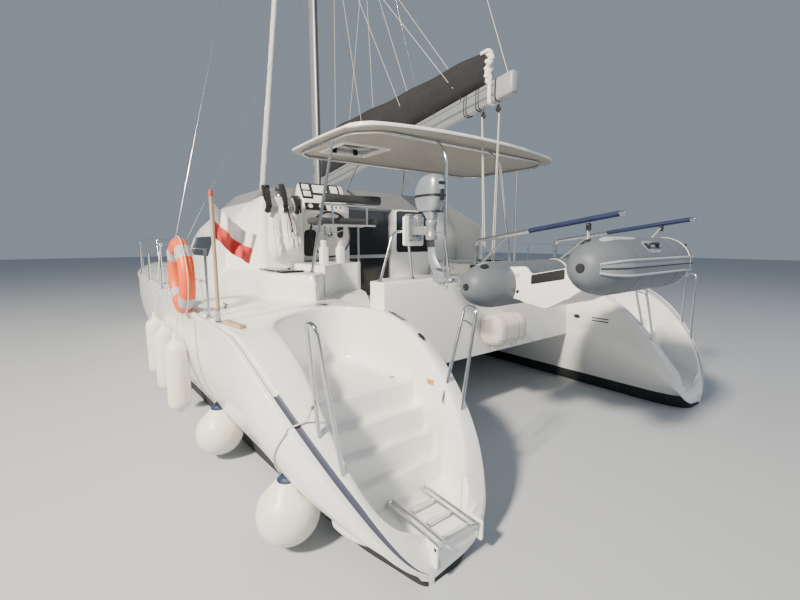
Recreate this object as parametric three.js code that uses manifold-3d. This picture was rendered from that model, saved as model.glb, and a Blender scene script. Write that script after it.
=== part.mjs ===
// A cruising catamaran under furled sail: +Y to the bow, +X to starboard, +Z up, in millimetres,
// with the origin on the centreline, half way along the hulls, on the waterline.
import * as THREE from "three";
import { mergeVertices } from "three/addons/utils/BufferGeometryUtils.js";
import Module from "manifold-3d";

const wasm = await Module();
wasm.setup();

// Driving dimensions
const HALF_LENGTH = 5775;
const HULL_X = 2450;
const HULL_OUT = 800;
const HULL_IN = 750;
const WATER_HALF = 470;
const DECK_Z = 1500;
const BOOT_Z = 170;
const KEEL_Z = -560;
const SCOOP_START = -4300;
const GAP = 0.3;

// Half widths at the waterline on the outer side, as [y, half width] rows
const WATER_OUT = [
  [-HALF_LENGTH, 30], [-5730, 60], [-5540, 110], [-5200, 190], [-4720, 240], [-3160, 360],
  [-1000, WATER_HALF],
];

const TUB = { side: 530, middle: -80, aft: -5690, taperStart: -5050, floor: 980 };
// Front of the stair recess: the apex, and where its two quarter curves start
const TUB_FRONT = { apex: -3800, off: -260, outerStart: -4450, innerStart: -4200 };
const STEPS = { noses: [-4850, -5000, -5110, -5210], treads: [795, 610, 425, 240] };

const BRIDGE = { aft: -4200, front: 2700, bottom: 790, half: 1700 };
const COCKPIT = { aft: -3750, front: -1350, half: 1450, sole: 1150, coaming: 1775 };
const SALOON = { aft: -1300, wall: 50, sole: 1050, roof: 3050 };

const MAST = { y: 600, foot: 2900, top: 16900, wide: 130, deep: 210 };
const BOOM = { pin: [0, 440, 3340], end: [0, -4400, 3980], wide: 130, deep: 250 };
const CHAINPLATE = { x: 3080, y: -450 };
const STAY = { foot: [0, 4640, 1500], head: [0, 690, 13300] };
const BEAM = { y: 4620, z: 1330, radius: 80 };

const COLOURS = {
  gelcoat: [0xf2f2ef, 0.25, 0],
  antifoul: [0x1c1e22, 0.8, 0],
  steel: [0xc9ccd0, 0.2, 1],
  mast: [0xaeb2b5, 0.4, 0.8],
  canvas: [0x2a2b2e, 0.9, 0],
  sail: [0xe8e8e4, 0.8, 0],
  glass: [0x15181c, 0.1, 0],
  rubber: [0x6d7278, 0.6, 0],
  black: [0x18191b, 0.5, 0],
  fender: [0xf0efe8, 0.4, 0],
  orange: [0xe4572a, 0.5, 0],
  flag: [0xd9524f, 0.9, 0],
  wood: [0xa98f70, 0.7, 0],
  bronze: [0xa8814a, 0.35, 1],
  foam: [0x3a3d40, 0.8, 0],
  net: [0xd9d9d4, 0.9, 0],
};

const boat = new THREE.Group();

// Solids and shapes

// A closed three.js geometry as a solid that can be joined and cut.
function solid(geometry) {
  const bare = geometry.index ? geometry.toNonIndexed() : geometry.clone();
  bare.deleteAttribute("normal");
  bare.deleteAttribute("uv");
  const merged = mergeVertices(bare, 1e-3);
  const made = new wasm.Manifold(
    new wasm.Mesh({
      numProp: 3,
      vertProperties: merged.attributes.position.array,
      triVerts: new Uint32Array(merged.index.array),
    }),
  );
  return made;
}

// A solid back as a three.js geometry.
function geometryOf(made) {
  const { vertProperties, triVerts } = made.getMesh();
  const geometry = new THREE.BufferGeometry();
  geometry.setAttribute("position", new THREE.BufferAttribute(vertProperties, 3));
  geometry.setIndex(new THREE.BufferAttribute(triVerts, 1));
  geometry.computeVertexNormals();
  return geometry;
}

function add(name, shape, look) {
  const [color, roughness, metalness] = COLOURS[look];
  const material = new THREE.MeshStandardMaterial({ color, roughness, metalness });
  const geometry = shape.isBufferGeometry ? shape : geometryOf(shape);
  const mesh = new THREE.Mesh(geometry, material);
  mesh.name = name;
  boat.add(mesh);
}

const join = (...parts) => parts.reduce((whole, part) => whole.add(part));

// The largest of the separate bodies a cut leaves
function largest(shape) {
  return shape.decompose().sort((a, b) => b.volume() - a.volume())[0];
}

function box([x0, x1], [y0, y1], [z0, z1]) {
  const geometry = new THREE.BoxGeometry(x1 - x0, y1 - y0, z1 - z0);
  return solid(geometry.translate((x0 + x1) / 2, (y0 + y1) / 2, (z0 + z1) / 2));
}

// A closed skin over rings that all have the same number of points, [x, y, z] each.
function loft(rings) {
  const count = rings[0].length;
  const positions = [];
  const at = (ring, i) => positions.push(...rings[ring][i % count]);
  for (let r = 0; r + 1 < rings.length; r += 1) {
    for (let i = 0; i < count; i += 1) {
      at(r, i);
      at(r, i + 1);
      at(r + 1, i + 1);
      at(r, i);
      at(r + 1, i + 1);
      at(r + 1, i);
    }
  }
  const cap = (ring, forward) => {
    const flat = flatten(rings[ring]);
    const clockwise = THREE.ShapeUtils.isClockWise(flat);
    for (const corners of THREE.ShapeUtils.triangulateShape(flat, [])) {
      const along = THREE.ShapeUtils.isClockWise(corners.map((i) => flat[i])) === clockwise;
      if (along !== forward) corners.reverse();
      for (const i of corners) at(ring, i);
    }
  };
  cap(0, false);
  cap(rings.length - 1, true);
  const geometry = new THREE.BufferGeometry();
  geometry.setAttribute("position", new THREE.Float32BufferAttribute(positions, 3));
  const made = solid(geometry);
  if (made.volume() > 0) return made;
  return solid(turned(geometry));
}

// The ring's points on the plane that it faces most.
function flatten(ring) {
  const normal = ringNormal(ring);
  const [u, v] = spread(normal);
  return ring.map((p) => new THREE.Vector2(p[u], p[v]));
}

function spread(normal) {
  const size = [Math.abs(normal.x), Math.abs(normal.y), Math.abs(normal.z)];
  const most = size.indexOf(Math.max(...size));
  return [(most + 1) % 3, (most + 2) % 3];
}

function ringNormal(ring) {
  const normal = new THREE.Vector3();
  ring.forEach((p, i) => {
    const q = ring[(i + 1) % ring.length];
    normal.add(new THREE.Vector3(...p).cross(new THREE.Vector3(...q)));
  });
  return normal;
}

function turned(geometry) {
  const flipped = geometry.clone();
  const p = flipped.attributes.position;
  for (let i = 0; i < p.count; i += 3) {
    const b = [p.getX(i + 1), p.getY(i + 1), p.getZ(i + 1)];
    p.setXYZ(i + 1, p.getX(i + 2), p.getY(i + 2), p.getZ(i + 2));
    p.setXYZ(i + 2, ...b);
  }
  return flipped;
}

// A plan outline of [x, y] points between two heights.
function slab(outline, bottom, top) {
  const shape = new THREE.Shape(outline.map(([x, y]) => new THREE.Vector2(x, y)));
  const geometry = new THREE.ExtrudeGeometry(shape, { depth: top - bottom, bevelEnabled: false });
  return solid(geometry.translate(0, 0, bottom));
}

// A side outline of [y, z] points between two x values.
function sidePlate(outline, x0, x1) {
  const shape = new THREE.Shape(outline.map(([y, z]) => new THREE.Vector2(y, z)));
  const geometry = new THREE.ExtrudeGeometry(shape, { depth: x1 - x0, bevelEnabled: false });
  geometry.rotateX(Math.PI / 2);
  geometry.rotateZ(Math.PI / 2);
  return solid(geometry.translate(x0, 0, 0));
}

// A route through given points, with a cross-section of the pipe at each of them.
class Route extends THREE.Curve {
  constructor(points) {
    super();
    this.points = points.map((p) => new THREE.Vector3(...p));
  }
  getUtoTmapping(u) {
    return u;
  }
  getPoint(t) {
    const last = this.points.length - 1;
    const i = Math.min(Math.floor(t * last), last - 1);
    return this.points[i].clone().lerp(this.points[i + 1], t * last - i);
  }
}

// The corner points of a bent pipe, each corner rounded by a quadratic arc of three points.
function bent(corners, radius) {
  const points = [corners[0]];
  for (let i = 1; i + 1 < corners.length; i += 1) {
    const before = new THREE.Vector3(...corners[i - 1]);
    const corner = new THREE.Vector3(...corners[i]);
    const after = new THREE.Vector3(...corners[i + 1]);
    const reach = Math.min(radius, before.distanceTo(corner) / 2.2, after.distanceTo(corner) / 2.2);
    const start = corner.clone().add(before.sub(corner).setLength(reach));
    const end = corner.clone().add(after.sub(corner).setLength(reach));
    const curve = new THREE.QuadraticBezierCurve3(start, corner, end);
    for (const p of curve.getPoints(4)) points.push(p.toArray());
  }
  points.push(corners[corners.length - 1]);
  return points;
}

// A pipe of one radius through given points.
function pipeThrough(points, radius, sides = 8) {
  const circle = new THREE.Shape();
  circle.absarc(0, 0, radius, 0, Math.PI * 2);
  const geometry = new THREE.ExtrudeGeometry(circle, {
    steps: points.length - 1,
    curveSegments: sides / 2,
    bevelEnabled: false,
    extrudePath: new Route(points),
  });
  const made = solid(geometry);
  if (made.volume() > 0) return made;
  return solid(turned(geometry.toNonIndexed()));
}

// A pipe whose corners are rounded.
function pipe(corners, radius, sides = 8, bend = 90) {
  return pipeThrough(corners.length > 2 ? bent(corners, bend) : corners, radius, sides);
}

// A turned form about a vertical axis, from [radius, z] points that start and end on the axis.
function turnedForm(profile, sides, [x, y, z] = [0, 0, 0]) {
  const points = profile.map(([r, h]) => new THREE.Vector2(r, h));
  const geometry = new THREE.LatheGeometry(points, sides);
  geometry.rotateX(Math.PI / 2);
  geometry.translate(x, y, z);
  const made = solid(geometry);
  if (made.volume() > 0) return made;
  return solid(turned(geometry.toNonIndexed()));
}

const mirrored = (side, points) => points.map(([x, ...rest]) => [side * x, ...rest]);
const mix = (a, b, t) => a + (b - a) * t;

// A value read off a short table of [place, value] rows, in rising order of place.
function table(rows, place) {
  if (place <= rows[0][0]) return rows[0][1];
  for (let i = 1; i < rows.length; i += 1) {
    const [p0, v0] = rows[i - 1];
    const [p1, v1] = rows[i];
    if (place <= p1) return mix(v0, v1, (place - p0) / (p1 - p0));
  }
  return rows[rows.length - 1][1];
}

// Hull lines, by the distance y along the boat

const ROUND_START = -4600;

const sternShare = (y, start) => Math.min(1, Math.max(0, (start - y) / (HALF_LENGTH + start)));
const roundOff = (share, power) => (1 - share ** power) ** (1 / power);

// Half widths forward, as [y, outer, inner, waterline, keel z] rows
const FORWARD = [
  [0, HULL_OUT + 20, HULL_IN, WATER_HALF, KEEL_Z],
  [1500, 800, 740, 460, -560],
  [3000, 660, 620, 390, -540],
  [4200, 440, 440, 270, -480],
  [5200, 190, 200, 110, -380],
  [5700, 60, 60, 30, -260],
  [HALF_LENGTH, 22, 22, 12, -180],
];

function hullLines(y) {
  const column = (i) => table(FORWARD.map((row) => [row[0], row[i]]), y);
  const share = sternShare(y, ROUND_START);
  const lines = { outer: column(1), inner: column(2), water: column(3), keel: column(4) };
  lines.waterOut = Math.min(lines.water, table(WATER_OUT, y));
  lines.deck = DECK_Z + 100 * Math.max(0, (y - SCOOP_START) / (HALF_LENGTH - SCOOP_START));
  if (y < 0) {
    lines.outer = HULL_OUT + 20 * (1 + y / HALF_LENGTH);
    lines.keel = table([[-HALF_LENGTH, -20], [-5600, -110], [-5000, -290], [-3000, -480], [0, KEEL_Z]], y);
  }
  if (y < ROUND_START) {
    lines.outer = Math.max(25, HULL_OUT * roundOff(share, 2));
    lines.inner = Math.max(25, HULL_IN * roundOff(share, 5));
    lines.water = Math.max(20, WATER_HALF * roundOff(share, 5));
  }
  if (y < SCOOP_START) {
    const along = (SCOOP_START - y) / (HALF_LENGTH + SCOOP_START);
    lines.deck = 80 + (DECK_Z - 80) * Math.max(0, 1 - along ** 2) ** 0.75;
  }
  return lines;
}

function hullRing(side, y) {
  const { outer, inner, water, waterOut, keel, deck } = hullLines(y);
  const boot = Math.min(BOOT_Z, deck * 0.45);
  const waterLevel = Math.min(0, boot);
  const half = [
    [outer, deck],
    [outer * 0.985, mix(boot, deck, 0.62)],
    [mix(waterOut, outer, 0.62), mix(boot, deck, 0.28)],
    [waterOut + Math.min(40, outer - waterOut), boot],
    [waterOut, waterLevel],
    [waterOut * 0.82, keel * 0.5],
    [waterOut * 0.45, keel * 0.86],
    [0, keel],
    [-water * 0.45, keel * 0.86],
    [-water * 0.82, keel * 0.5],
    [-water, waterLevel],
    [-(water + Math.min(50, inner - water)), boot],
    [-inner, mix(boot, deck, 0.52)],
    [-inner, deck],
    [0, deck + 25],
  ];
  return half.map(([off, z]) => [side * (HULL_X + off), y, z]);
}

const HULL_STATIONS = [
  -HALF_LENGTH, -5765, -5740, -5690, -5600, -5460, -5290, -5100, -4880, -4600, SCOOP_START,
  -3000, -1000, 0, 1500, 3000, 4200, 5200, 5700, HALF_LENGTH,
];

// Half width of the stair recess
function tubWall(y) {
  const share = Math.max(0, (TUB.taperStart - y) / (TUB.taperStart - TUB.aft));
  return TUB.side * roundOff(share, 3);
}

// Front of the stair recess from its inner wall to its outer one, as [offset, y] points
function tubFront() {
  const { apex, off, outerStart, innerStart } = TUB_FRONT;
  const points = [];
  for (let i = 1; i < 12; i += 1) {
    const turn = Math.PI - (Math.PI * i) / 12;
    const outer = turn < Math.PI / 2;
    const power = outer ? 1.25 : 1;
    const reach = (outer ? TUB.middle + TUB.side : TUB.side - TUB.middle) + (outer ? -off : off);
    const start = outer ? outerStart : innerStart;
    const across = Math.sign(Math.cos(turn)) * Math.abs(Math.cos(turn)) ** power;
    points.push([off + reach * across, start + (apex - start) * Math.sin(turn) ** power]);
  }
  return points;
}

// Stair recess outline, as offsets from the hull's middle, aft of a given step nose.
function tubOutline(side, nose) {
  const levels = [-5200, -5340, -5460, -5560, -5630, -5670, -5688].filter((y) => y < nose - 5);
  const whole = nose > TUB_FRONT.outerStart;
  const outerStart = Math.min(nose, TUB_FRONT.outerStart);
  const innerStart = Math.min(nose, TUB_FRONT.innerStart);
  const below = (start) => [start, ...[TUB.taperStart].filter((y) => y < start - 5), ...levels];
  const points = below(outerStart).map((y) => [TUB.middle + tubWall(y), y]);
  for (const y of below(innerStart).reverse()) points.push([TUB.middle - tubWall(y), y]);
  if (whole) points.push(...tubFront());
  return points.map(([off, y]) => [side * (HULL_X + off), y]);
}

// Lugs on the stern that carry the swim ladder's pivot
function ladderLugs() {
  const lug = (s) => {
    const x = LADDER.x + s * (LADDER.half + 30);
    const plate = box([x - 8, x + 8], [LADDER.y - 18, -5640], [130, LADDER.z + 18]);
    const bore = pipeThrough([[x - 20, LADDER.y, LADDER.z], [x + 20, LADDER.y, LADDER.z]], LADDER.bore, 16);
    return plate.subtract(bore);
  };
  return join(lug(-1), lug(1));
}

function hull(side) {
  let body = loft(HULL_STATIONS.map((y) => hullRing(side, y)));
  body = body.subtract(slab(tubOutline(side, 0), TUB.floor, 2000));
  STEPS.noses.forEach((nose, i) => {
    body = body.subtract(slab(tubOutline(side, nose), STEPS.treads[i], 2000));
  });
  const notch = STEPS.treads[STEPS.treads.length - 1] - GAP;
  const middle = -side * LADDER.x;
  const ends = [middle - LADDER.half - 35, middle + LADDER.half + 35];
  body = body.subtract(box(ends, [-HALF_LENGTH - 10, -5600], [notch, 1000]));
  return side < 0 ? join(body, ladderLugs()) : body;
}

// A fin section, as [share along the chord from the nose, half thickness] rows
const FIN = [[0, 0], [0.05, 0.55], [0.15, 0.9], [0.35, 1], [0.65, 0.7], [1, 0.06]];

// Cockpit coaming outboard of the bridge: its heights, and its corners as [x, y, x and y shift on top]
const LOCKER = { top: 1815, shoulder: 1715, front: SALOON.aft - GAP };
const LOCKER_PLAN = [
  [BRIDGE.half + GAP, -2935, 0, 10],
  [2050, -3420, -10, 90],
  [2400, -2740, -90, 30],
  [2570, LOCKER.front, -90, 0],
  [BRIDGE.half + GAP, LOCKER.front, 0, 0],
];
// The wing of the aft bulkhead, as [z, y of its aft end, x of its four corners from outer aft round] rows
const WING = [
  [1760, -1960, 2330, 2220, 2220, 2480],
  [2300, -1960, 2330, 2230, 2230, 2400],
  [2460, -1960, 2310, 2240, 2150, 2330],
  [2960, -1340, 1830, 1800, 1790, 1835],
];
const LID = { x: [1930, 2230], y: [-2880, -2080], thick: 25 };
const LADDER = { x: -2230, y: -5800, z: 262, half: 180, length: 560, pin: 8, bore: 8.7 };

const RUDDER = { y: -4750, stock: 25, top: -150, tip: -1050, bore: 25.7 };
const LEG = { y: -3550, hub: -760 };

const hulls = {};
for (const [label, side] of [["port", -1], ["starboard", 1]]) {
  const x = side * HULL_X;
  const whole = hull(side);
  const bore = turnedForm([[0, -700], [RUDDER.bore, -700], [RUDDER.bore, RUDDER.top], [0, RUDDER.top]], 16,
    [x, RUDDER.y, 0]);
  hulls[label] = whole;
  const fittings = side < 0 ? [locker(side)] : [locker(side), wing()];
  add(`hull_${label}`, join(whole.subtract(bore), ...fittings), "gelcoat");
  const below = whole.translate([0, 0, -GAP]);
  add(`keel_${label}`, keel(x).subtract(below), "antifoul");
  add(`saildrive_${label}`, saildrive(x).subtract(below), "mast");
  add(`propeller_${label}`, propeller([x, LEG.y - 190, LEG.hub], 225, 36, 3), "bronze");
  add(`rudder_${label}`, rudder(x), "antifoul");
}

function finRing(x, nose, chord, thick, z) {
  const row = (sign) => FIN.map(([share, half]) => [x + sign * half * thick, nose - share * chord, z]);
  return [...row(1), ...row(-1).slice(1).reverse()];
}

function keel(x) {
  return loft([
    finRing(x, 1150, 2300, 130, -300),
    finRing(x, 900, 1900, 95, -1000),
    finRing(x, 860, 1820, 60, -1150),
  ]);
}

function rudder(x) {
  const blade = loft([
    finRing(x, RUDDER.y + 150, 480, 28, -395),
    finRing(x, RUDDER.y + 115, 380, 20, RUDDER.tip),
  ]);
  const stock = turnedForm(
    [[0, -600], [RUDDER.stock, -600], [RUDDER.stock, RUDDER.top - 10], [0, RUDDER.top - 10]],
    16,
    [x, RUDDER.y, 0],
  );
  return blade.add(stock);
}

function saildrive(x) {
  const strut = loft([
    finRing(x, LEG.y + 150, 320, 45, -250),
    finRing(x, LEG.y + 110, 260, 40, LEG.hub),
  ]);
  const gearbox = pipeAlongY(x, LEG.hub, [
    [LEG.y - 165, 52], [LEG.y - 100, 60], [LEG.y + 80, 56], [LEG.y + 190, 12],
  ]);
  const shaft = pipeAlongY(x, LEG.hub, [[LEG.y - 197, 12], [LEG.y - 150, 12]]);
  return join(strut, gearbox, shaft);
}

// A round form along Y, from [y, radius] rows.
function pipeAlongY(x, z, rows, sides = 12) {
  const ring = ([y, radius]) =>
    Array.from({ length: sides }, (_, i) => {
      const turn = (2 * Math.PI * i) / sides;
      return [x + radius * Math.cos(turn), y, z + radius * Math.sin(turn)];
    });
  return loft(rows.map(ring));
}

// A propeller about an axis along Y, with a bore for its shaft.
function propeller([x, y, z], radius, hub, blades) {
  let whole = pipeAlongY(x, z, [[y - hub, hub * 0.5], [y - hub * 0.5, hub], [y + hub * 0.5, hub]]);
  for (let i = 0; i < blades; i += 1) {
    const turn = (2 * Math.PI * i) / blades;
    const section = (reach, chord, pitch) => {
      const thick = 5;
      const corners = [[-1, -1], [1, -1], [1, 1], [-1, 1]];
      return corners.map(([a, b]) => {
        const across = (a * chord * Math.cos(pitch)) / 2 - b * thick * Math.sin(pitch);
        const along = (a * chord * Math.sin(pitch)) / 2 + b * thick * Math.cos(pitch);
        return [
          x + reach * Math.cos(turn) - across * Math.sin(turn),
          y + along * 0.8,
          z + reach * Math.sin(turn) + across * Math.cos(turn),
        ];
      });
    };
    const blade = loft([
      section(hub * 0.6, hub * 0.9, 0.9),
      section(radius * 0.6, radius * 0.55, 0.6),
      section(radius * 0.9, radius * 0.4, 0.42),
      section(radius, radius * 0.15, 0.36),
    ]);
    whole = whole.add(blade);
  }
  const bore = pipeAlongY(x, z, [[y - hub * 0.3, 13], [y + hub * 2, 13]], 16);
  return whole.subtract(bore);
}

// Bridge deck, cockpit and saloon

// Passages from the side decks into the cockpit, as an [x, y] outline, mirrored to port
const PASSAGE = {
  outline: [[1440, -3840], [1720, -3960], [1720, -2950], [1440, -2640]],
  floor: 1490,
};

function bridgeDeck() {
  const side = BRIDGE.half - GAP;
  const profile = [
    [BRIDGE.aft, BRIDGE.bottom], [2000, BRIDGE.bottom + 60], [2500, 1000], [BRIDGE.front, 1250],
    [BRIDGE.front, DECK_Z + 60], [COCKPIT.front, DECK_Z + 40], [BRIDGE.aft, DECK_Z],
  ];
  let body = sidePlate(profile, -side, side);
  const coaming = box([-side, side], [BRIDGE.aft, COCKPIT.front], [DECK_Z - 200, COCKPIT.coaming]);
  body = body.add(coaming);
  const well = box([-COCKPIT.half, COCKPIT.half], [COCKPIT.aft, COCKPIT.front], [COCKPIT.sole, 3000]);
  const cabin = box([-1600, 1600], [-1250, 2350], [SALOON.sole, 3000]);
  const doorway = box([-400, 560], [COCKPIT.front - 50, -1200], [COCKPIT.sole + 60, 3000]);
  body = body.subtract(well).subtract(cabin).subtract(doorway);
  for (const s of [-1, 1]) {
    body = body.subtract(slab(mirrored(s, PASSAGE.outline), PASSAGE.floor, 3000));
  }
  return body;
}

const HELM = { right: -800, aft: -2400, front: -1360, top: 1880 };
const LONGERON = { half: 130, bottom: BEAM.z + BEAM.radius + GAP, top: 1540 };
const bridge = join(bridgeDeck(), helmBase(), longeron());
add("bridge_deck", bridge, "gelcoat");

// Saloon half sections, as [y, scale of width, shoulder z, roof z] rows
const SALOON_ROWS = [
  [SALOON.aft, 1, 2400, SALOON.roof],
  [200, 1, 2400, SALOON.roof],
  [1250, 0.96, 2250, 2930],
  [1900, 0.88, 1950, 2420],
  [2500, 0.72, 1640, 1760],
];
const SALOON_HALF = 2580;
const SALOON_FOOT = DECK_Z - 10;
const TUMBLEHOME = 150;

function saloonRing([y, width, shoulder, roof], inset) {
  const w = SALOON_HALF * width - inset;
  const foot = inset ? 1000 : SALOON_FOOT;
  const waist = mix(SALOON_FOOT, shoulder, 0.5);
  const half = [
    [w, foot], [w, waist], [w - TUMBLEHOME * width, shoulder - inset], [w * 0.7, roof - 70 - inset],
    [w * 0.4, roof - 15 - inset], [0, roof - inset],
  ];
  const whole = [...half, ...half.slice(0, -1).reverse().map(([x, z]) => [-x, z])];
  return whole.map(([x, z]) => [x, y, z]);
}

const DOOR = { left: -380, right: 540, top: 2760 };
const AFT_WINDOW = { left: 640, right: 1560, bottom: 1980, top: 2740 };
const SIDE_WINDOW = { aft: -900, front: 1100, bottom: 1960, top: 2260 };

function saloon() {
  let shell = loft(SALOON_ROWS.map((row) => saloonRing(row, 0)));
  const rows = SALOON_ROWS.map((row) => [...row]);
  rows[0][0] += SALOON.wall;
  rows[rows.length - 1][0] -= 120;
  shell = shell.subtract(loft(rows.map((row) => saloonRing(row, SALOON.wall))));
  const opening = (x, y, z) => {
    shell = shell.subtract(box(x, y, z));
  };
  opening([DOOR.left, DOOR.right], [SALOON.aft - 50, SALOON.aft + 100], [1400, DOOR.top]);
  opening([AFT_WINDOW.left, AFT_WINDOW.right], [SALOON.aft - 50, SALOON.aft + 100],
    [AFT_WINDOW.bottom, AFT_WINDOW.top]);
  for (const s of [-1, 1]) {
    const [a, b] = [s * 2000, s * 2700].sort((p, q) => p - q);
    opening([a, b], [SIDE_WINDOW.aft, SIDE_WINDOW.front], [SIDE_WINDOW.bottom, SIDE_WINDOW.top]);
  }
  opening([-1300, 1300], [1400, 2350], [1850, 2650]);
  for (const below of [hulls.port, hulls.starboard, bridge]) {
    shell = shell.subtract(below.translate([0, 0, GAP]));
  }
  shell = shell.subtract(hulls.port.translate([GAP, 0, 0])).subtract(hulls.starboard.translate([-GAP, 0, 0]));
  return largest(shell);
}
const saloonShell = saloon();
add("saloon", saloonShell, "gelcoat");

// Panes set into the saloon's windows, cut from a thin inner skin.
function pane(x, y, z) {
  const outer = SALOON_ROWS.map((row) => saloonRing(row, 12));
  const inner = SALOON_ROWS.map((row) => [...row]);
  inner[0][0] += 22;
  inner[inner.length - 1][0] -= 22;
  const skin = loft(outer).subtract(loft(inner.map((row) => saloonRing(row, 22))));
  return skin.intersect(box(x, y, z));
}
const inside = ([low, high]) => [low + GAP, high - GAP];
for (const [label, s] of [["port", -1], ["starboard", 1]]) {
  const [a, b] = [s * 2000, s * 2700].sort((p, q) => p - q);
  add(
    `saloon_glass_${label}`,
    pane([a, b], inside([SIDE_WINDOW.aft, SIDE_WINDOW.front]), inside([SIDE_WINDOW.bottom, SIDE_WINDOW.top])),
    "glass",
  );
}
add("saloon_glass_front", pane(inside([-1300, 1300]), inside([1400, 2350]), inside([1850, 2650])), "glass");
add(
  "saloon_glass_aft",
  box(inside([AFT_WINDOW.left, AFT_WINDOW.right]), [SALOON.aft + 15, SALOON.aft + 25],
    inside([AFT_WINDOW.bottom, AFT_WINDOW.top])),
  "glass",
);
add(
  "saloon_door",
  box([DOOR.left - 20, DOOR.right + 20], [SALOON.aft + SALOON.wall + 5, SALOON.aft + SALOON.wall + 35],
    [SALOON.sole + 2 * GAP, DOOR.top + 20]),
  "glass",
);

// Cockpit furniture

// Raised base of the helm, and the landing beside it that the passage leads to
function helmBase() {
  const round = 100;
  const outline = [[-1690, -2920], [-1300, -2500], [-1200, HELM.aft - 12], [HELM.right - round, HELM.aft]];
  for (let i = 1; i <= 4; i += 1) {
    const turn = (-Math.PI / 2) * (1 - i / 4);
    outline.push([HELM.right - round + round * Math.cos(turn), HELM.aft + round + round * Math.sin(turn)]);
  }
  outline.push([HELM.right, HELM.front], [-1690, HELM.front]);
  const landing = [[-1460, -3590], [-990, -2770], [-860, HELM.aft + 10], [-1310, -2480], [-1460, -2650]];
  const bottom = COCKPIT.sole - 20;
  return slab(outline, bottom, HELM.top).add(slab(landing, bottom, PASSAGE.floor));
}

// Winch block beside the helm: its corners are [x, y], with the outer front corner drawn in with height
const WINCH_BLOCK = {
  left: -2110, right: -1500, aft: -1960, top: 2790,
  outer: [[LOCKER.top + GAP, -2480], [2300, -2400], [2650, -2130], [2790, -2000]],
};
const DRUMS = [[-1980, -1780], [-1720, -1620]];

function winchBlock() {
  const { left, right, aft, top, outer } = WINCH_BLOCK;
  const rings = outer.map(([z, x]) => [[left, aft, z], [right, aft, z], [right, LOCKER.front, z],
    [x, LOCKER.front, z]]);
  const overBase = box([-BRIDGE.half - 5, right + 10], [aft - 10, LOCKER.front + 10], [1800, HELM.top + GAP]);
  const profile = [[0, 0], [62, 0], [62, 25], [42, 45], [42, 110], [60, 130], [55, 165], [0, 170]];
  const drums = DRUMS.map(([x, y]) => turnedForm(profile, 14, [x, y, top - 1]));
  return join(loft(rings).subtract(overBase), ...drums);
}

function helmConsole() {
  const outline = [
    [HELM.front, HELM.top + GAP], [HELM.front, 2900], [-1440, 3060], [-1520, 3070], [-1760, 2640],
    [-1680, 2560], [-1612, HELM.top + GAP],
  ];
  const web = box([WINCH_BLOCK.right - 15, -1375], [HELM.front - 70, HELM.front], [HELM.top + GAP, 2560]);
  return join(sidePlate(outline, -1380, -620), web, winchBlock());
}
add("helm_console", helmConsole(), "gelcoat");

const WHEEL = { centre: [-1000, -1800, 2290], radius: 340 };

function steeringWheel() {
  const [x, y, z] = WHEEL.centre;
  const rim = new THREE.TorusGeometry(WHEEL.radius, 14, 8, 28);
  let whole = solid(rim.rotateX(Math.PI / 2).translate(x, y, z));
  whole = whole.add(pipeAlongY(x, z, [[y - 30, 45], [y + 30, 45]]));
  for (let i = 0; i < 5; i += 1) {
    const turn = Math.PI / 2 + (2 * Math.PI * i) / 5;
    const tip = [x + WHEEL.radius * Math.cos(turn), y, z + WHEEL.radius * Math.sin(turn)];
    whole = whole.add(pipe([[x, y, z], tip], 9, 6));
  }
  return whole.add(pipeAlongY(x, z, [[y, 12], [-1654.6, 12]], 16));
}
add("steering_wheel", steeringWheel(), "steel");

const SEAT = { y: -2400, left: -1610, right: -590, low: 2445, high: 2740 };

function helmSeatFrame() {
  const r = 14;
  const parts = [];
  for (const x of [SEAT.left + 240, SEAT.right - 240]) {
    parts.push(pipe([[x, SEAT.y + 70, HELM.top + GAP], [x, SEAT.y + 70, SEAT.low - 40]], r));
    parts.push(pipe([[x, SEAT.y - 160, SEAT.low - 50], [x, SEAT.y - 160, SEAT.high - 60]], r));
    parts.push(pipe([[x, SEAT.y + 170, SEAT.low - 40], [x, SEAT.y - 170, SEAT.low - 40]], r));
  }
  for (const [dy, z] of [[160, SEAT.low - 40], [-160, SEAT.low - 40], [-160, SEAT.high - 70]]) {
    parts.push(pipe([[SEAT.left + 100, SEAT.y + dy, z], [SEAT.right - 100, SEAT.y + dy, z]], r));
  }
  return join(...parts);
}
add("helm_seat_frame", helmSeatFrame(), "steel");

function pad(x, y, z, deep, tall) {
  const round = Math.min(deep, tall) / 2;
  const ring = (px, k) => {
    const points = [];
    for (let i = 0; i < 10; i += 1) {
      const turn = (2 * Math.PI * i) / 10;
      const sy = Math.cos(turn) * deep * 0.5 * k;
      const sz = Math.sin(turn) * tall * 0.5 * k;
      points.push([px, y + sy, z + sz]);
    }
    return points;
  };
  return loft([ring(x[0], 0.6), ring(x[0] + round * 0.5, 1), ring(x[1] - round * 0.5, 1), ring(x[1], 0.6)]);
}
add("helm_seat_pad", pad([SEAT.left, SEAT.right], SEAT.y + 20, SEAT.low + 17.15, 330, 90), "foam");
const backPad = pad([SEAT.left + 90, SEAT.right], SEAT.y - 160, SEAT.high + 15.63, 110, 150);
add("helm_back_pad", backPad, "foam");

// Starboard wing of the saloon's aft bulkhead
function wing() {
  const front = LOCKER.front;
  return loft(WING.map(([z, aft, a, b, c, d]) => [[a, aft, z], [b, aft, z], [c, front, z], [d, front, z]]));
}

// Rope bag hung on the aft face of the winch block, as [z, depth, half width] rows
const BAG = { x: -1795, rows: [[1930, 110, 170], [2050, 175, 240], [2350, 140, 220], [2700, 50, 230]] };

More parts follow.
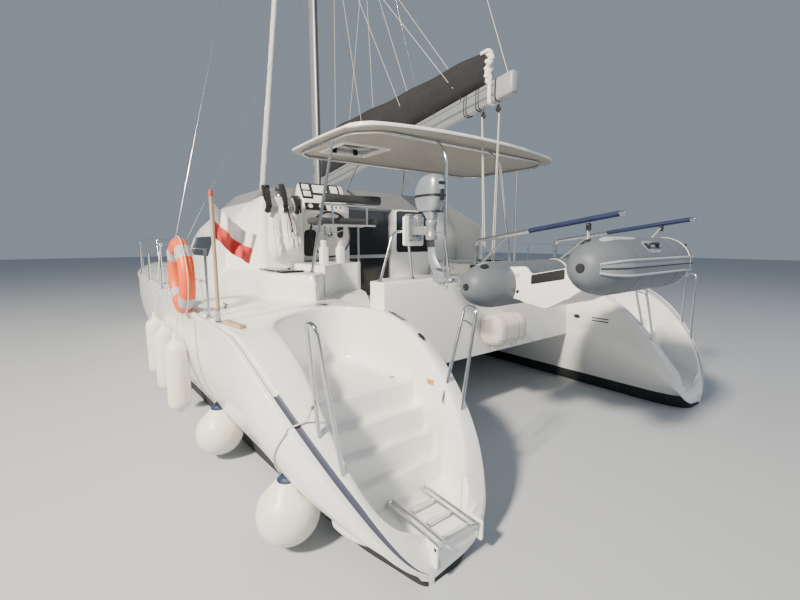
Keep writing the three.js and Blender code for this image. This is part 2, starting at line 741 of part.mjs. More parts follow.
function ropeBag() {
  const y = WINCH_BLOCK.aft - GAP;
  const ring = ([z, deep, half]) => [[BAG.x + half, y, z], [BAG.x + half * 0.8, y - deep, z],
    [BAG.x - half * 0.8, y - deep, z], [BAG.x - half, y, z]];
  return loft(BAG.rows.map(ring));
}
add("rope_bag", ropeBag(), "sail");

// Cockpit coamings over the hulls, with a smoked lid each

function locker(s) {
  const rings = [[DECK_Z - 60, 0], [LOCKER.shoulder, 0], [LOCKER.top, 1]].map(([z, inset]) =>
    LOCKER_PLAN.map(([x, y, dx, dy]) => [s * (x + inset * dx), y + inset * dy, z]));
  return loft(rings);
}

for (const [label, s] of [["port", -1], ["starboard", 1]]) {
  const ends = LID.x.map((x) => s * x).sort((p, q) => p - q);
  const lid = box(ends, LID.y, [LOCKER.top + GAP, LOCKER.top + LID.thick]);
  add(`locker_lid_${label}`, lid, "glass");
}

// Hardtop, laid over its posts

const HARDTOP = {
  half: 1775, aft: -4060, corner: -3750, front: -2040, frontCorner: -2100, z: 3360, thick: 60, camber: 25,
};

function hardtopHeight(x, y) {
  const across = x / HARDTOP.half;
  return HARDTOP.z + HARDTOP.camber * (1 - across * across) - 10 * ((y - HARDTOP.front) / 2000);
}

function hardtop() {
  const stations = [-1, -0.97, -0.88, -0.7, -0.4, 0, 0.4, 0.7, 0.88, 0.97, 1];
  const rings = stations.map((share) => {
    const x = share * HARDTOP.half;
    const bow = Math.sqrt(Math.max(0, 1 - share ** 2));
    const corner = 150 * Math.max(0, (Math.abs(share) - 0.88) / 0.12) ** 2;
    const aft = mix(HARDTOP.corner, HARDTOP.aft, bow) + corner;
    const front = mix(HARDTOP.frontCorner, HARDTOP.front, bow) - corner;
    const edge = HARDTOP.thick / 2;
    const row = (y, lift) => [x, y, hardtopHeight(x, y) + lift];
    return [
      row(aft, 0), row(aft + 25, edge), row((aft + front) / 2, edge + 10), row(front - 25, edge),
      row(front, 0), row(front - 25, -edge), row((aft + front) / 2, -edge + 10), row(aft + 25, -edge),
    ];
  });
  return loft(rings);
}
const hardtopShell = hardtop();
const SKYLIGHT = { x: [-1500, -780], y: [-3100, -2450] };
const skylightCut = box(SKYLIGHT.x, SKYLIGHT.y, [3000, 3700]);
add("hardtop", hardtopShell.subtract(skylightCut), "gelcoat");
add(
  "hardtop_skylight",
  hardtopShell.intersect(box(inside(SKYLIGHT.x), inside(SKYLIGHT.y), [3000, 3700])),
  "glass",
);

// Posts under the hardtop, as lists of corners; a corner without a height meets the hardtop's underside
const POSTS = [
  [[-1916, -3030, LOCKER.top + GAP], [-1690, -3190]],
  [[1916, -3030, LOCKER.top + GAP], [1690, -3190]],
  [[-645, -3960, COCKPIT.coaming + GAP], [-645, -3960, 3180], [-645, -3800]],
  [[620, -3960, COCKPIT.coaming + GAP], [300, -3960, 3180], [270, -3800]],
  [[-400, -1260, 3020], [-710, -2150]],
  [[800, -1260, 3014], [155, -2150]],
];
const LOOP = [[1500, -2150], [1690, -2330], [1690, -3560], [1420, -3800]];

function hardtopFrame() {
  const r = 19;
  const under = (x, y) => hardtopHeight(x, y) - HARDTOP.thick / 2 - 12;
  const placed = ([x, y, z]) => [x, y, z ?? under(x, y)];
  const loop = [...LOOP, ...mirrored(-1, LOOP).reverse()].map(placed);
  const parts = [pipe(loop, r, 8, 120), pipe([placed([-1500, -2150]), placed([1500, -2150])], r)];
  for (const corners of POSTS) parts.push(pipe(corners.map(placed), r, 8, 120));
  const roof = saloonShell.translate([0, 0, GAP]);
  const lockers = box([-2000, 2000], [-3100, -2950], [LOCKER.top - 100, LOCKER.top + GAP]);
  const coaming = box([-700, 700], [-4000, -3900], [COCKPIT.coaming - 50, COCKPIT.coaming + GAP]);
  const above = hardtopShell.translate([0, 0, -GAP]);
  return largest(join(...parts).subtract(roof).subtract(lockers).subtract(coaming).subtract(above));
}

add("hardtop_frame", hardtopFrame(), "steel");

// Foredeck: crossbeam, longeron and nets

function crossbeam() {
  const reach = HULL_X;
  let beam = pipeThrough([[-reach, BEAM.y, BEAM.z], [reach, BEAM.y, BEAM.z]], BEAM.radius, 16);
  beam = beam.subtract(hulls.port.translate([GAP, 0, 0])).subtract(hulls.starboard.translate([-GAP, 0, 0]));
  return beam;
}
add("crossbeam", crossbeam(), "mast");

function longeron() {
  const y1 = BEAM.y + 420;
  const outline = [[BRIDGE.front - 40, 1300], [BEAM.y - 200, LONGERON.bottom], [y1, LONGERON.bottom],
    [y1, LONGERON.top], [BRIDGE.front - 40, LONGERON.top]];
  const body = sidePlate(outline, -LONGERON.half, LONGERON.half);
  const roller = join(
    box([-60, -48], [y1 - 60, y1 + 130], [LONGERON.top - 60, LONGERON.top + 40]),
    box([48, 60], [y1 - 60, y1 + 130], [LONGERON.top - 60, LONGERON.top + 40]),
    box([-55, 55], [y1 + 60, y1 + 110], [LONGERON.top - 30, LONGERON.top + 20]),
  );
  return body.add(roller);
}

for (const [label, s] of [["port", -1], ["starboard", 1]]) {
  const inner = LONGERON.half + 6;
  const rows = [2760, 3000, 4200, BEAM.y - BEAM.radius - 5];
  const outer = rows.map((y) => [HULL_X - hullLines(y).inner - 0.5, y]);
  const outline = [[inner, rows[0]], ...outer, [inner, rows[rows.length - 1]]];
  add(`trampoline_${label}`, slab(mirrored(s, outline), 1480, 1492), "net");
}

// Rig

function oval(wide, deep, x, y, z, count = 12) {
  return Array.from({ length: count }, (_, i) => {
    const turn = (2 * Math.PI * i) / count;
    return [x + (wide / 2) * Math.cos(turn), y + (deep / 2) * Math.sin(turn), z];
  });
}

const SPREADERS = [{ z: 7300, reach: 950 }, { z: 10600, reach: 800 }];

function mast() {
  const levels = [MAST.foot, MAST.top - 500, MAST.top];
  const sizes = [1, 1, 0.8];
  let pole = loft(levels.map((z, i) => oval(MAST.wide * sizes[i], MAST.deep * sizes[i], 0, MAST.y, z)));
  for (const { z, reach } of SPREADERS) {
    for (const s of [-1, 1]) {
      const tip = [s * reach, MAST.y - reach * 0.32, z + 60];
      pole = pole.add(pipe([[0, MAST.y, z], tip], 20, 6));
    }
  }
  const truck = box([-25, 25], [MAST.y - 330, MAST.y + 190], [MAST.top - 60, MAST.top + 20]);
  const lug = (z) => box([-32, 32], [BOOM.pin[1] - 32, MAST.y - 90], [z, z + 14]);
  const pin = turnedForm([[0, 3270], [12, 3270], [12, 3420], [0, 3420]], 16, [0, BOOM.pin[1], 0]);
  const whole = join(pole, truck, lug(3290), lug(3386), pin);
  return largest(whole.subtract(saloonShell.translate([0, 0, GAP])));
}
add("mast", mast(), "mast");

// Height of the boom's underside at a distance y along the boat
function boomLow(y) {
  const along = (BOOM.pin[1] - y) / (BOOM.pin[1] - BOOM.end[1]);
  return mix(BOOM.pin[2], BOOM.end[2], along) - BOOM.deep / 2;
}

function boom() {
  const section = (y) => {
    const w = BOOM.wide / 2;
    const z = boomLow(y);
    const d = BOOM.deep;
    return [[w * 0.7, z], [w, z + 35], [w, z + d - 35], [w * 0.7, z + d], [-w * 0.7, z + d], [-w, z + d - 35],
      [-w, z + 35], [-w * 0.7, z]].map(([x, h]) => [x, y, h]);
  };
  const start = BOOM.pin[1] - 60;
  const spar = loft([section(start), section(BOOM.end[1])]);
  const tongue = box([-22, 22], [BOOM.pin[1] - 100, BOOM.pin[1] + 24], [3312, 3378]);
  const bore = turnedForm([[0, 3200], [13, 3200], [13, 3500], [0, 3500]], 16, [0, BOOM.pin[1], 0]);
  return spar.add(tongue).subtract(bore);
}
add("boom", boom(), "mast");

// Sail cover on the boom, as [y, half width, top z] rows
const COVER = [
  [330, 60, 3760],
  [100, 130, 4290],
  [-600, 165, 4380],
  [-2300, 155, 4410],
  [-3700, 120, 4460],
  [-3980, 90, 4460],
];

function sailCover() {
  const ring = ([y, half, top]) => {
    const z = boomLow(y) + BOOM.deep + GAP;
    const tall = top - z;
    const side = [[0.35, 0], [1, 0.14], [1, 0.4], [0.55, 0.8], [0.12, 1]];
    const whole = [...side, ...mirrored(-1, side).reverse()];
    return whole.map(([wide, share]) => [half * wide, y, z + tall * share]);
  };
  return loft(COVER.map(ring));
}
add("sail_cover", sailCover(), "canvas");

function furledSail() {
  const foot = new THREE.Vector3(...STAY.foot);
  const head = new THREE.Vector3(...STAY.head);
  const along = (share) => foot.clone().lerp(head, share).toArray();
  const roll = (a, b, radius) => pipeThrough([along(a), along(b)], radius, 8);
  return join(
    roll(0, 0.99, 12),
    pipeThrough([along(0.035), along(0.05)], 95, 12),
    roll(0.06, 0.35, 75),
    roll(0.34, 0.7, 60),
    roll(0.69, 0.93, 40),
  );
}
const belowBow = box([-300, 300], [4000, 5200], [1000, LONGERON.top + GAP]);
add("furled_headsail", largest(furledSail().subtract(mastCore()).subtract(belowBow)), "sail");

function shrouds(s) {
  const foot = [s * CHAINPLATE.x, CHAINPLATE.y, DECK_Z + 58];
  const plate = box([foot[0] - 50, foot[0] + 50], [foot[1] - 60, foot[1] + 60], [foot[2], foot[2] + 60]);
  const side = MAST.wide / 2 - 4;
  const upper = [s * side, MAST.y - 40, 13300];
  const lower = [s * side, MAST.y - 40, 7200];
  const wires = [
    pipe([[foot[0], foot[1] - 20, foot[2] + 20], upper], 6, 6),
    pipe([[foot[0], foot[1] + 20, foot[2] + 20], lower], 5, 6),
  ];
  return join(plate, ...wires).subtract(mastCore());
}

function mastCore() {
  const grown = (z) => oval(MAST.wide + 2 * GAP, MAST.deep + 2 * GAP, 0, MAST.y, z);
  return loft([grown(3000), grown(17000)]);
}

for (const [label, s] of [["port", -1], ["starboard", 1]]) add(`shrouds_${label}`, shrouds(s), "steel");

// Rails

const RAIL = { height: 620, mid: 320 };
const STANCHIONS = [-3600, -2400, -1000, 400, 1900, 3300];

function railPoint(s, y, z) {
  return [s * (HULL_X + hullLines(y).outer - 60), y, z];
}

function guardRail(s) {
  const deck = (y) => hullLines(y).deck;
  const parts = [];
  for (const y of [...STANCHIONS, 4500]) {
    const foot = railPoint(s, y, deck(y) + GAP + 2);
    parts.push(pipe([foot, [foot[0], y, deck(y) + RAIL.height]], 13));
  }
  for (const lift of [RAIL.height - 8, RAIL.mid]) {
    const line = [...STANCHIONS, 4500].map((y) => railPoint(s, y, deck(y) + lift));
    parts.push(pipeThrough(line, 4, 6));
  }
  const top = deck(4500) + RAIL.height;
  const tip = 5430;
  const inner = s * (HULL_X - hullLines(4500).inner + 60);
  const outer = railPoint(s, 4500, 0)[0];
  parts.push(
    pipe([
      [outer, 4500, top],
      [s * (HULL_X + 120), tip - 60, top + 20],
      [s * (HULL_X - 60), tip - 60, top + 20],
      [inner, 4500, top],
    ], 14, 8, 160),
    pipe([[inner, 4500, deck(4500) + 25], [inner, 4500, top]], 14),
    pipe([[s * HULL_X, 5200, deck(5200) + 30], [s * HULL_X, tip - 60, top + 20]], 14),
  );
  return join(...parts);
}
for (const [label, s] of [["port", -1], ["starboard", 1]]) {
  const rail = guardRail(s).subtract(hulls[label].translate([0, 0, GAP]));
  add(`guard_rail_${label}`, rail, "steel");
}

// Stern hoops, as corners [offset from the hull's middle, y, z]
const HOOPS = {
  inner: [
    [-640, -5238, 880], [-582, -5238, 912], [-880, -5180, 1660], [-880, -5310, 1660], [-582, -5400, 630],
    [-640, -5400, 600],
  ],
  outer: [[520, -5300, 900], [585, -5290, 1715], [585, -5410, 1715], [440, -5460, 690]],
};

for (const [label, s] of [["port", -1], ["starboard", 1]]) {
  for (const [place, corners] of Object.entries(HOOPS)) {
    const hoop = pipe(corners.map(([off, y, z]) => [s * (HULL_X + off), y, z]), 14, 8, 60);
    add(`hoop_${label}_${place}`, largest(hoop.subtract(hulls[label].translate([0, 0, GAP]))), "steel");
  }
}

// Aft rail with its board for the motor
const MOTOR = { x: -1237, y: -4380, gear: -4500, propeller: 1810 };
const AFT_RAIL = { y: -4060, feet: [-1650, -1220, -660], heads: [-1480, -1290, -750], top: 2290 };

function aftRail() {
  const foot = COCKPIT.coaming - 10;
  const { y, feet, heads, top } = AFT_RAIL;
  const ends = [[feet[0], y, foot], [heads[0], y, top], [heads[2], y, top], [feet[2], y, foot]];
  const hoop = pipe(ends, 14, 8, 90);
  const post = pipe([[feet[1], y, foot], [heads[1], y, top]], 14);
  const board = box([MOTOR.x - 130, MOTOR.x + 130], [y - 50, y - 12], [2140, 2450]);
  return join(hoop, post, board, motorMount()).subtract(bridge.translate([0, 0, GAP]));
}
add("aft_rail", aftRail(), "steel");

// Outboard motor stowed on the board

function motorMount() {
  const { x, y } = MOTOR;
  const near = AFT_RAIL.y;
  const clamp = box([x - 90, x + 90], [near - 75, near - 45], [2190, 2460]);
  const arms = box([x - 40, x + 40], [y + 50, near - 60], [2250, 2340]);
  const sleeve = [[28.9, 2200], [58, 2200], [58, 2400], [28.9, 2400], [28.9, 2200]];
  const hook = box([x - 90, x + 90], [near - 75, near - 8], [2454, 2470]);
  return join(clamp, arms, turnedForm(sleeve, 16, [x, y, 0]), hook);
}

// Cowl sections, as [z, half width, front and aft of the steering axis] rows
const COWL = [
  [2480, 80, 115, -30],
  [2550, 105, 150, -80],
  [2700, 110, 155, -95],
  [2800, 95, 130, -75],
  [2845, 60, 80, -35],
];

function motor() {
  const { x, y, gear, propeller: z } = MOTOR;
  const cowl = loft(COWL.map(([h, wide, front, aft]) => [
    [x - wide, y + front, h], [x - wide * 0.7, y + front + 40, h], [x + wide * 0.7, y + front + 40, h],
    [x + wide, y + front, h], [x + wide, y + aft, h], [x + wide * 0.6, y + aft - 50, h],
    [x - wide * 0.6, y + aft - 50, h], [x - wide, y + aft, h],
  ]));
  const stem = turnedForm([[0, 2080], [28, 2080], [28, 2500], [0, 2500]], 16, [x, y, 0]);
  const leg = loft([finRing(x, y + 60, 150, 38, 2160), finRing(x, gear + 50, 140, 30, z)]);
  const hub = pipeAlongY(x, z, [[gear - 130, 26], [gear - 90, 38], [gear + 40, 36], [gear + 90, 8]]);
  const shaft = pipeAlongY(x, z, [[gear - 165, 8], [gear - 120, 8]]);
  const plate = box([x - 60, x + 60], [gear - 190, gear + 20], [z + 115, z + 125]);
  return join(cowl, stem, leg, hub, shaft, plate);
}
add("outboard_motor", motor(), "mast");
add("outboard_propeller", smallPropeller(), "black");

function smallPropeller() {
  const { x, gear: y, propeller: z } = MOTOR;
  let whole = pipeAlongY(x, z, [[y - 190, 12], [y - 175, 26], [y - 132, 26]]);
  for (let i = 0; i < 3; i += 1) {
    const turn = (2 * Math.PI * i) / 3;
    const section = (reach, chord, pitch) =>
      [[-1, -1], [1, -1], [1, 1], [-1, 1]].map(([a, b]) => {
        const across = (a * chord * Math.cos(pitch)) / 2 - b * 2.5 * Math.sin(pitch);
        const along = (a * chord * Math.sin(pitch)) / 2 + b * 2.5 * Math.cos(pitch);
        return [x + reach * Math.cos(turn) - across * Math.sin(turn), y - 155 + along * 0.5,
          z + reach * Math.sin(turn) + across * Math.cos(turn)];
      });
    whole = whole.add(loft([section(16, 30, 0.7), section(60, 60, 0.5), section(95, 30, 0.4)]));
  }
  return whole.subtract(pipeAlongY(x, z, [[y - 168, 9], [y - 100, 9]], 16));
}

// Davits and the inflatable under them
const DAVITS = {
  x: [-230, 1480], base: -4080, tip: -5800, low: 2190, high: 2440, tube: 24, brace: 14, fall: -5480,
};

// The tender lies across the boat, heeled: the middles of its aft and fore tubes are [y, z]
const DINGHY = {
  stern: -1340, transom: -900, bow: 880, bend: -90, radius: 215,
  aftTube: [-6030, 2005], foreTube: [-4970, 1780],
};
const DINGHY_MIDDLE = (DINGHY.aftTube[0] + DINGHY.foreTube[0]) / 2;

// Height of the tender's tubes at a distance y along the boat
function heeled(y) {
  const [[y0, z0], [y1, z1]] = [DINGHY.aftTube, DINGHY.foreTube];
  return mix(z0, z1, (y - y0) / (y1 - y0));
}

// Tube from stern to stern round the bow, as rings on a route of [x, y, scale of radius] points
function dinghyTubes() {
  const { stern, bow, bend, radius, aftTube, foreTube } = DINGHY;
  const half = (foreTube[0] - aftTube[0]) / 2;
  const cone = [[stern, 0.2], [stern + 50, 0.55], [stern + 150, 0.85], [stern + 300, 1]];
  const route = cone.map(([x, k]) => [x, aftTube[0], k]);
  for (let i = 0; i <= 8; i += 1) {
    const turn = -Math.PI / 2 + (Math.PI * i) / 8;
    route.push([bend + (bow - radius - bend) * Math.cos(turn), DINGHY_MIDDLE + half * Math.sin(turn), 1]);
  }
  route.push(...[...cone].reverse().map(([x, k]) => [x, foreTube[0], k]));
  const rings = route.map(([px, py, k], i) => {
    const before = new THREE.Vector3(...route[Math.max(0, i - 1)].slice(0, 2), 0);
    const after = new THREE.Vector3(...route[Math.min(route.length - 1, i + 1)].slice(0, 2), 0);
    const ahead = after.sub(before).normalize();
    const out = new THREE.Vector3(ahead.y, -ahead.x, 0);
    return Array.from({ length: 12 }, (_, j) => {
      const turn = (2 * Math.PI * j) / 12;
      const c = Math.cos(turn) * radius * k;
      const s = Math.sin(turn) * radius * k;
      return [px + out.x * c, py + out.y * c, heeled(py) + s];
    });
  });
  return loft(rings);
}
const tubes = dinghyTubes();
add("dinghy_tubes", tubes, "rubber");

function dinghyHull() {
  const middle = DINGHY_MIDDLE;
  const section = (x, wide, drop, lift) => [
    [-wide, lift], [0, -drop], [wide, lift], [wide, lift + 40], [0, 60 - drop], [-wide, lift + 40],
  ].map(([across, z]) => [x, middle + across, heeled(middle + across) + z]);
  const floor = loft([
    section(DINGHY.transom, 420, 280, -120),
    section(DINGHY.bend, 420, 280, -110),
    section(DINGHY.bow - 330, 150, 110, 20),
  ]);
  const notched = [
    [-450, -130], [0, -265], [450, -130], [450, 150], [230, 120], [170, 40], [-170, 40], [-230, 120],
    [-450, 150],
  ];
  const outline = notched.map(([across, z]) => [middle + across, heeled(middle + across) + z]);
  const transom = sidePlate(outline, DINGHY.transom, DINGHY.transom + 40);
  return join(floor, transom).subtract(grownTubes());
}

function grownTubes() {
  const g = GAP * 2;
  const shifts = [[0, 0, -g], [0, 0, g], [0, g, 0], [0, -g, 0], [g, 0, 0], [-g, 0, 0]];
  return shifts.reduce((whole, shift) => whole.add(tubes.translate(shift)), tubes);
}
const dinghy = dinghyHull();
add("dinghy_hull", dinghy, "gelcoat");

// Davits with the falls that hold the tender: one to its floor, one to its bow
DAVITS.x.forEach((x, i) => {
  const foot = COCKPIT.coaming + GAP;
  const { base, tip, low, high, tube, brace, fall } = DAVITS;
  const armZ = (y) => mix(low, high, (base - y) / (base - tip));
  const hook = i ? [DINGHY.bow - 170, fall, heeled(fall) + 100] : [x, fall, heeled(fall) - 260];
  const davit = join(
    pipe([[x, base, foot], [x, base, low], [x, tip, high]], tube, 8, 60),
    pipe([[x, base, foot + 60], [x, base - 480, armZ(base - 480)]], brace),
    box([x - 90, x + 90], [base - 90, base + 90], [foot, foot + 12]),
    pipe([[x, fall, armZ(fall)], hook], 9, 6),
  );
  const hung = davit.subtract(dinghy.translate([0, 0, GAP])).subtract(tubes.translate([0, 0, GAP]));
  add(`davit_${i ? "starboard" : "port"}`, largest(hung), "steel");
});

// Life raft on the aft face of the bridge
const RAFT = { x: -20, y: -4200, z: 1120, wide: 600, deep: 330, tall: 390 };

function lifeRaft() {
  const { x, y, z, wide, deep, tall } = RAFT;
  const ring = (px, k) =>
    Array.from({ length: 12 }, (_, i) => {
      const turn = (2 * Math.PI * i) / 12;
      const c = Math.sign(Math.cos(turn)) * Math.abs(Math.cos(turn)) ** 0.6;
      const s = Math.sign(Math.sin(turn)) * Math.abs(Math.sin(turn)) ** 0.6;
      return [px, y - GAP - deep / 2 + (c * deep * k) / 2, z + (s * tall * k) / 2];
    });
  const [left, right] = [x - wide / 2, x + wide / 2];
  return loft([ring(left, 0.75), ring(left + 60, 1), ring(right - 60, 1), ring(right, 0.75)]);
}
add("life_raft", lifeRaft(), "fender");

// Swim ladder folded on the port scoop's platform

function swimLadder() {
  const { x, y, z, half, length, pin } = LADDER;
  const sideTube = (s) => pipe([[x + s * half, y, z], [x + s * half, y + length, z]], 13);
  const reach = half + 36;
  const parts = [sideTube(-1), sideTube(1), pipeThrough([[x - reach, y, z], [x + reach, y, z]], pin, 16)];
  for (const share of [0, 0.5, 1]) {
    parts.push(pipe([[x - half, y + length * share, z], [x + half, y + length * share, z]], 13));
  }
  return join(...parts);
}

add("swim_ladder", swimLadder(), "steel");

// Fenders on the port side, hung from the rail
const BALLS = [[-3040, -4900], [-3100, -3290]];
const BALL = { radius: 225, z: 280 };
BALLS.forEach(([x, y], i) => {
  const r = BALL.radius;
  const profile = [[0, -r]];
  for (let k = 1; k < 10; k += 1) {
    const turn = -Math.PI / 2 + (Math.PI * k) / 11;
    profile.push([r * Math.cos(turn), r * Math.sin(turn)]);
  }
  profile.push([70, r * 1.12], [45, r * 1.3], [0, r * 1.32]);
  const ball = turnedForm(profile, 16, [x, y, BALL.z]).subtract(hulls.port.translate([-GAP, 0, 0]));
  add(`ball_fender_${i + 1}`, ball, "fender");
});

const LONG_FENDERS = [-2700, -1900, -1100];
LONG_FENDERS.forEach((y, i) => {
  const r = 115;
  const z = 760;
  const profile = [[0, -400], [40, -400], [r, -320], [r, 320], [45, 400], [20, 470], [0, 470]];
  const fender = turnedForm(profile, 12, [-HULL_X - HULL_OUT + 14 - r, y, z]);
  add(`long_fender_${i + 1}`, fender.subtract(hulls.port.translate([-GAP, 0, 0])), "fender");
});

// Lifebuoy and flagstaff at the port quarter
function lifebuoy() {
  const ring = new THREE.TorusGeometry(300, 75, 10, 24);
  ring.rotateY(Math.PI / 2);
  return solid(ring.translate(-3300, -3000, 1850)).subtract(hulls.port.translate([-GAP, 0, GAP]));
}
add("lifebuoy", lifebuoy(), "orange");

const STAFF = { x: -3190, y: -3900, foot: 1400, head: 2600, radius: 16 };
const staff = pipe([[STAFF.x, STAFF.y, STAFF.foot], [STAFF.x, STAFF.y, STAFF.head]], STAFF.radius);
add("flagstaff", staff.subtract(hulls.port.translate([0, 0, GAP])), "wood");

// The flag hangs in still air: its corners from the top of the hoist round, as [out from the staff, z]
const FLAG = [[STAFF.radius + GAP, 2500], [350, 2240], [285, 1990], [STAFF.radius + GAP, 2210]];
const flagFace = (y) => FLAG.map(([out, z]) => [STAFF.x + out, y, z]);
add("flag", loft([flagFace(STAFF.y - 2), flagFace(STAFF.y + 2)]), "flag");

export default boat;
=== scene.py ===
"""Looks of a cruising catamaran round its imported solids: metres, +Y to the bow, +X to starboard, waterline at 0."""

import math
import random

import bmesh
import bpy
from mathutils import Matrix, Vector
from mathutils.bvhtree import BVHTree


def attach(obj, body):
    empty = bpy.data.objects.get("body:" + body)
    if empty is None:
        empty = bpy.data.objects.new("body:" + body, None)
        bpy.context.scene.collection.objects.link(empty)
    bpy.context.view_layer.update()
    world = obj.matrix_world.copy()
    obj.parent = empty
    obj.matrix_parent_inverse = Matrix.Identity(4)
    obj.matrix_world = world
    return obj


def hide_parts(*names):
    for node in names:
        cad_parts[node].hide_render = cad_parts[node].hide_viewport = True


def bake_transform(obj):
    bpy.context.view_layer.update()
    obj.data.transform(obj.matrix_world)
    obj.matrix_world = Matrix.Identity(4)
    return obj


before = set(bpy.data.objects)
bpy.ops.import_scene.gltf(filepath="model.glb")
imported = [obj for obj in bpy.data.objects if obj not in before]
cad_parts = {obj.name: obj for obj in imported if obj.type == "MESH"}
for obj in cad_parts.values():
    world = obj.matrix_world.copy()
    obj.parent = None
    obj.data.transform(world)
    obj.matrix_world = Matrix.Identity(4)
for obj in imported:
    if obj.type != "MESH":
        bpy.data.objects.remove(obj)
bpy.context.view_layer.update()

SIDES = (("port", -1), ("starboard", 1))


# Finishes


def linear(code):
    """An sRGB hex colour as linear RGBA."""
    parts = [int(code[i : i + 2], 16) / 255 for i in (0, 2, 4)]
    return [c / 12.92 if c <= 0.04045 else ((c + 0.055) / 1.055) ** 2.4 for c in parts] + [1]


def node(tree, kind, inputs=(), **settings):
    """A shader node with its settings; a socket among its inputs is linked, anything else is set."""
    made = tree.nodes.new("ShaderNode" + kind)
    for name, value in settings.items():
        setattr(made, name, value)
    for name, value in dict(inputs).items():
        if isinstance(value, bpy.types.NodeSocket):
            tree.links.new(value, made.inputs[name])
        else:
            made.inputs[name].default_value = value
    return made


def finish(name, **values):
    """A named material with one surface shader; returns the material, its tree, shader and place in metres."""
    material = bpy.data.materials.new(name)
    material.use_nodes = True
    tree = material.node_tree
    surface = tree.nodes["Principled BSDF"]
    for key, value in values.items():
        surface.inputs[key.replace("_", " ")].default_value = value
    place = node(tree, "TexCoord").outputs["Object"]
    return material, tree, surface, place


def patterned(name, pattern, colours, dull=None, bump=None, **values):
    """A finish from one (kind, settings) pattern in metres, which runs between two hex colours.

    The pattern may also set the roughness between two values, and a bump of (its own pattern, or None for the
    same one, depth in metres, strength) may lift the surface.
    """
    material, tree, surface, place = finish(name, **values)

    def drawn(kind, settings):
        """The pattern's value at each place, drawn out along an axis where a stretch is given."""
        at = place
        if "stretch" in settings:
            at = node(tree, "Mapping", {"Vector": place, "Scale": settings["stretch"]}).outputs["Vector"]
        sockets = {key: value for key, value in settings.items() if key != "stretch"}
        return node(tree, kind, {"Vector": at, **sockets}).outputs["Distance" if kind == "TexVoronoi" else "Fac"]

    share = drawn(*pattern)
    if colours:
        mixed = node(tree, "MixRGB", {"Fac": share, "Color1": linear(colours[0]), "Color2": linear(colours[1])})
        tree.links.new(mixed.outputs["Color"], surface.inputs["Base Color"])
    if dull:
        spread = node(tree, "MapRange", {"Value": share, "To Min": dull[0], "To Max": dull[1]})
        tree.links.new(spread.outputs["Result"], surface.inputs["Roughness"])
    if bump:
        grain, depth, strength = bump
        height = drawn(*grain) if grain else share
        lifted = node(tree, "Bump", {"Height": height, "Distance": depth, "Strength": strength})
        tree.links.new(lifted.outputs["Normal"], surface.inputs["Normal"])
    return material


def woven(name, first, second, pitch, roughness, creases=0.004, sheen=0.2):
    """Woven cloth: two crossing thread waves at a pitch in metres, under broad creases."""
    material, tree, surface, place = finish(name, Roughness=roughness, Sheen_Weight=sheen)
    wave = {"Vector": place, "Scale": 1 / pitch / 6.283, "Distortion": 0.6, "Detail": 1.0}
    threads = [node(tree, "TexWave", wave, bands_direction=way).outputs["Fac"] for way in ("DIAGONAL", "Z")]
    cloth = node(tree, "MixRGB", {"Fac": 0.5, "Color1": threads[0], "Color2": threads[1]}).outputs["Color"]
    folds = node(tree, "TexNoise", {"Vector": place, "Scale": 5.0, "Detail": 6.0, "Distortion": 0.8}).outputs["Fac"]
    mixed = node(tree, "MixRGB", {"Fac": folds, "Color1": linear(first), "Color2": linear(second)})
    tree.links.new(mixed.outputs["Color"], surface.inputs["Base Color"])
    weave = node(tree, "Bump", {"Height": cloth, "Distance": pitch * 0.3, "Strength": 0.35}).outputs["Normal"]
    crumple = node(tree, "Bump", {"Height": folds, "Distance": creases, "Normal": weave})
    tree.links.new(crumple.outputs["Normal"], surface.inputs["Normal"])
    return material


def satin_paint(name, first, second):
    """Sprayed satin paint over a moulding: an even half-gloss with faint clouds and the skin's fine orange peel."""
    clouds = ("TexNoise", {"Scale": 1.8, "Detail": 5.0, "Roughness": 0.6})
    peel = (("TexNoise", {"Scale": 90.0, "Detail": 2.0}), 0.0008, 0.3)
    return patterned(name, clouds, (first, second), (0.34, 0.52), peel, IOR=1.48, Coat_Weight=0.1, Coat_Roughness=0.3)


def coated_fabric(name, first, second):
    """Welded PVC boat fabric: smooth and slightly dull, a faint weave under the coat and scuffs on top."""
    scuffs = ("TexNoise", {"Scale": 11.0, "Detail": 9.0, "Roughness": 0.65})
    weave = (("TexNoise", {"Scale": 380.0, "Detail": 1.0}), 0.0008, 0.35)
    return patterned(name, scuffs, (first, second), (0.38, 0.6), weave, IOR=1.5, Specular_IOR_Level=0.45)


def braid(name, first, second, pitch=0.006):
    """Braided polyester line: strands wound both ways, drawn 6 mm long so that they show."""
    strands = ("TexVoronoi", {"Scale": 1 / pitch, "Randomness": 0.3})
    return patterned(name, strands, (first, second), bump=(None, 0.002, 0.6), Roughness=0.75, Sheen_Weight=0.3)


# Moulded polyester gelcoat, waxed: a hard white gloss with faint chalky clouds and a very slight waviness
GELCOAT = patterned(
    "gelcoat_moulded",
    ("TexNoise", {"Scale": 1.3, "Detail": 5.0, "Roughness": 0.6}),
    ("F8F8F5", "EDEEEB"),
    dull=(0.16, 0.36),
    bump=(("TexNoise", {"Scale": 6.0, "Detail": 2.0}), 0.0015, 0.25),
    IOR=1.5,
    Coat_Weight=0.35,
    Coat_Roughness=0.06,
)
# Moulded non-skid gelcoat: the same white, dulled by small round studs about 9 mm apart
TREAD = patterned(
    "gelcoat_non_skid",
    ("TexNoise", {"Scale": 4.0, "Detail": 8.0, "Roughness": 0.7}),
    ("F1F1ED", "DEDFDB"),
    dull=(0.42, 0.62),
    bump=(("TexVoronoi", {"Scale": 110.0, "Randomness": 0.0}), 0.004, 0.5),
    IOR=1.5,
)
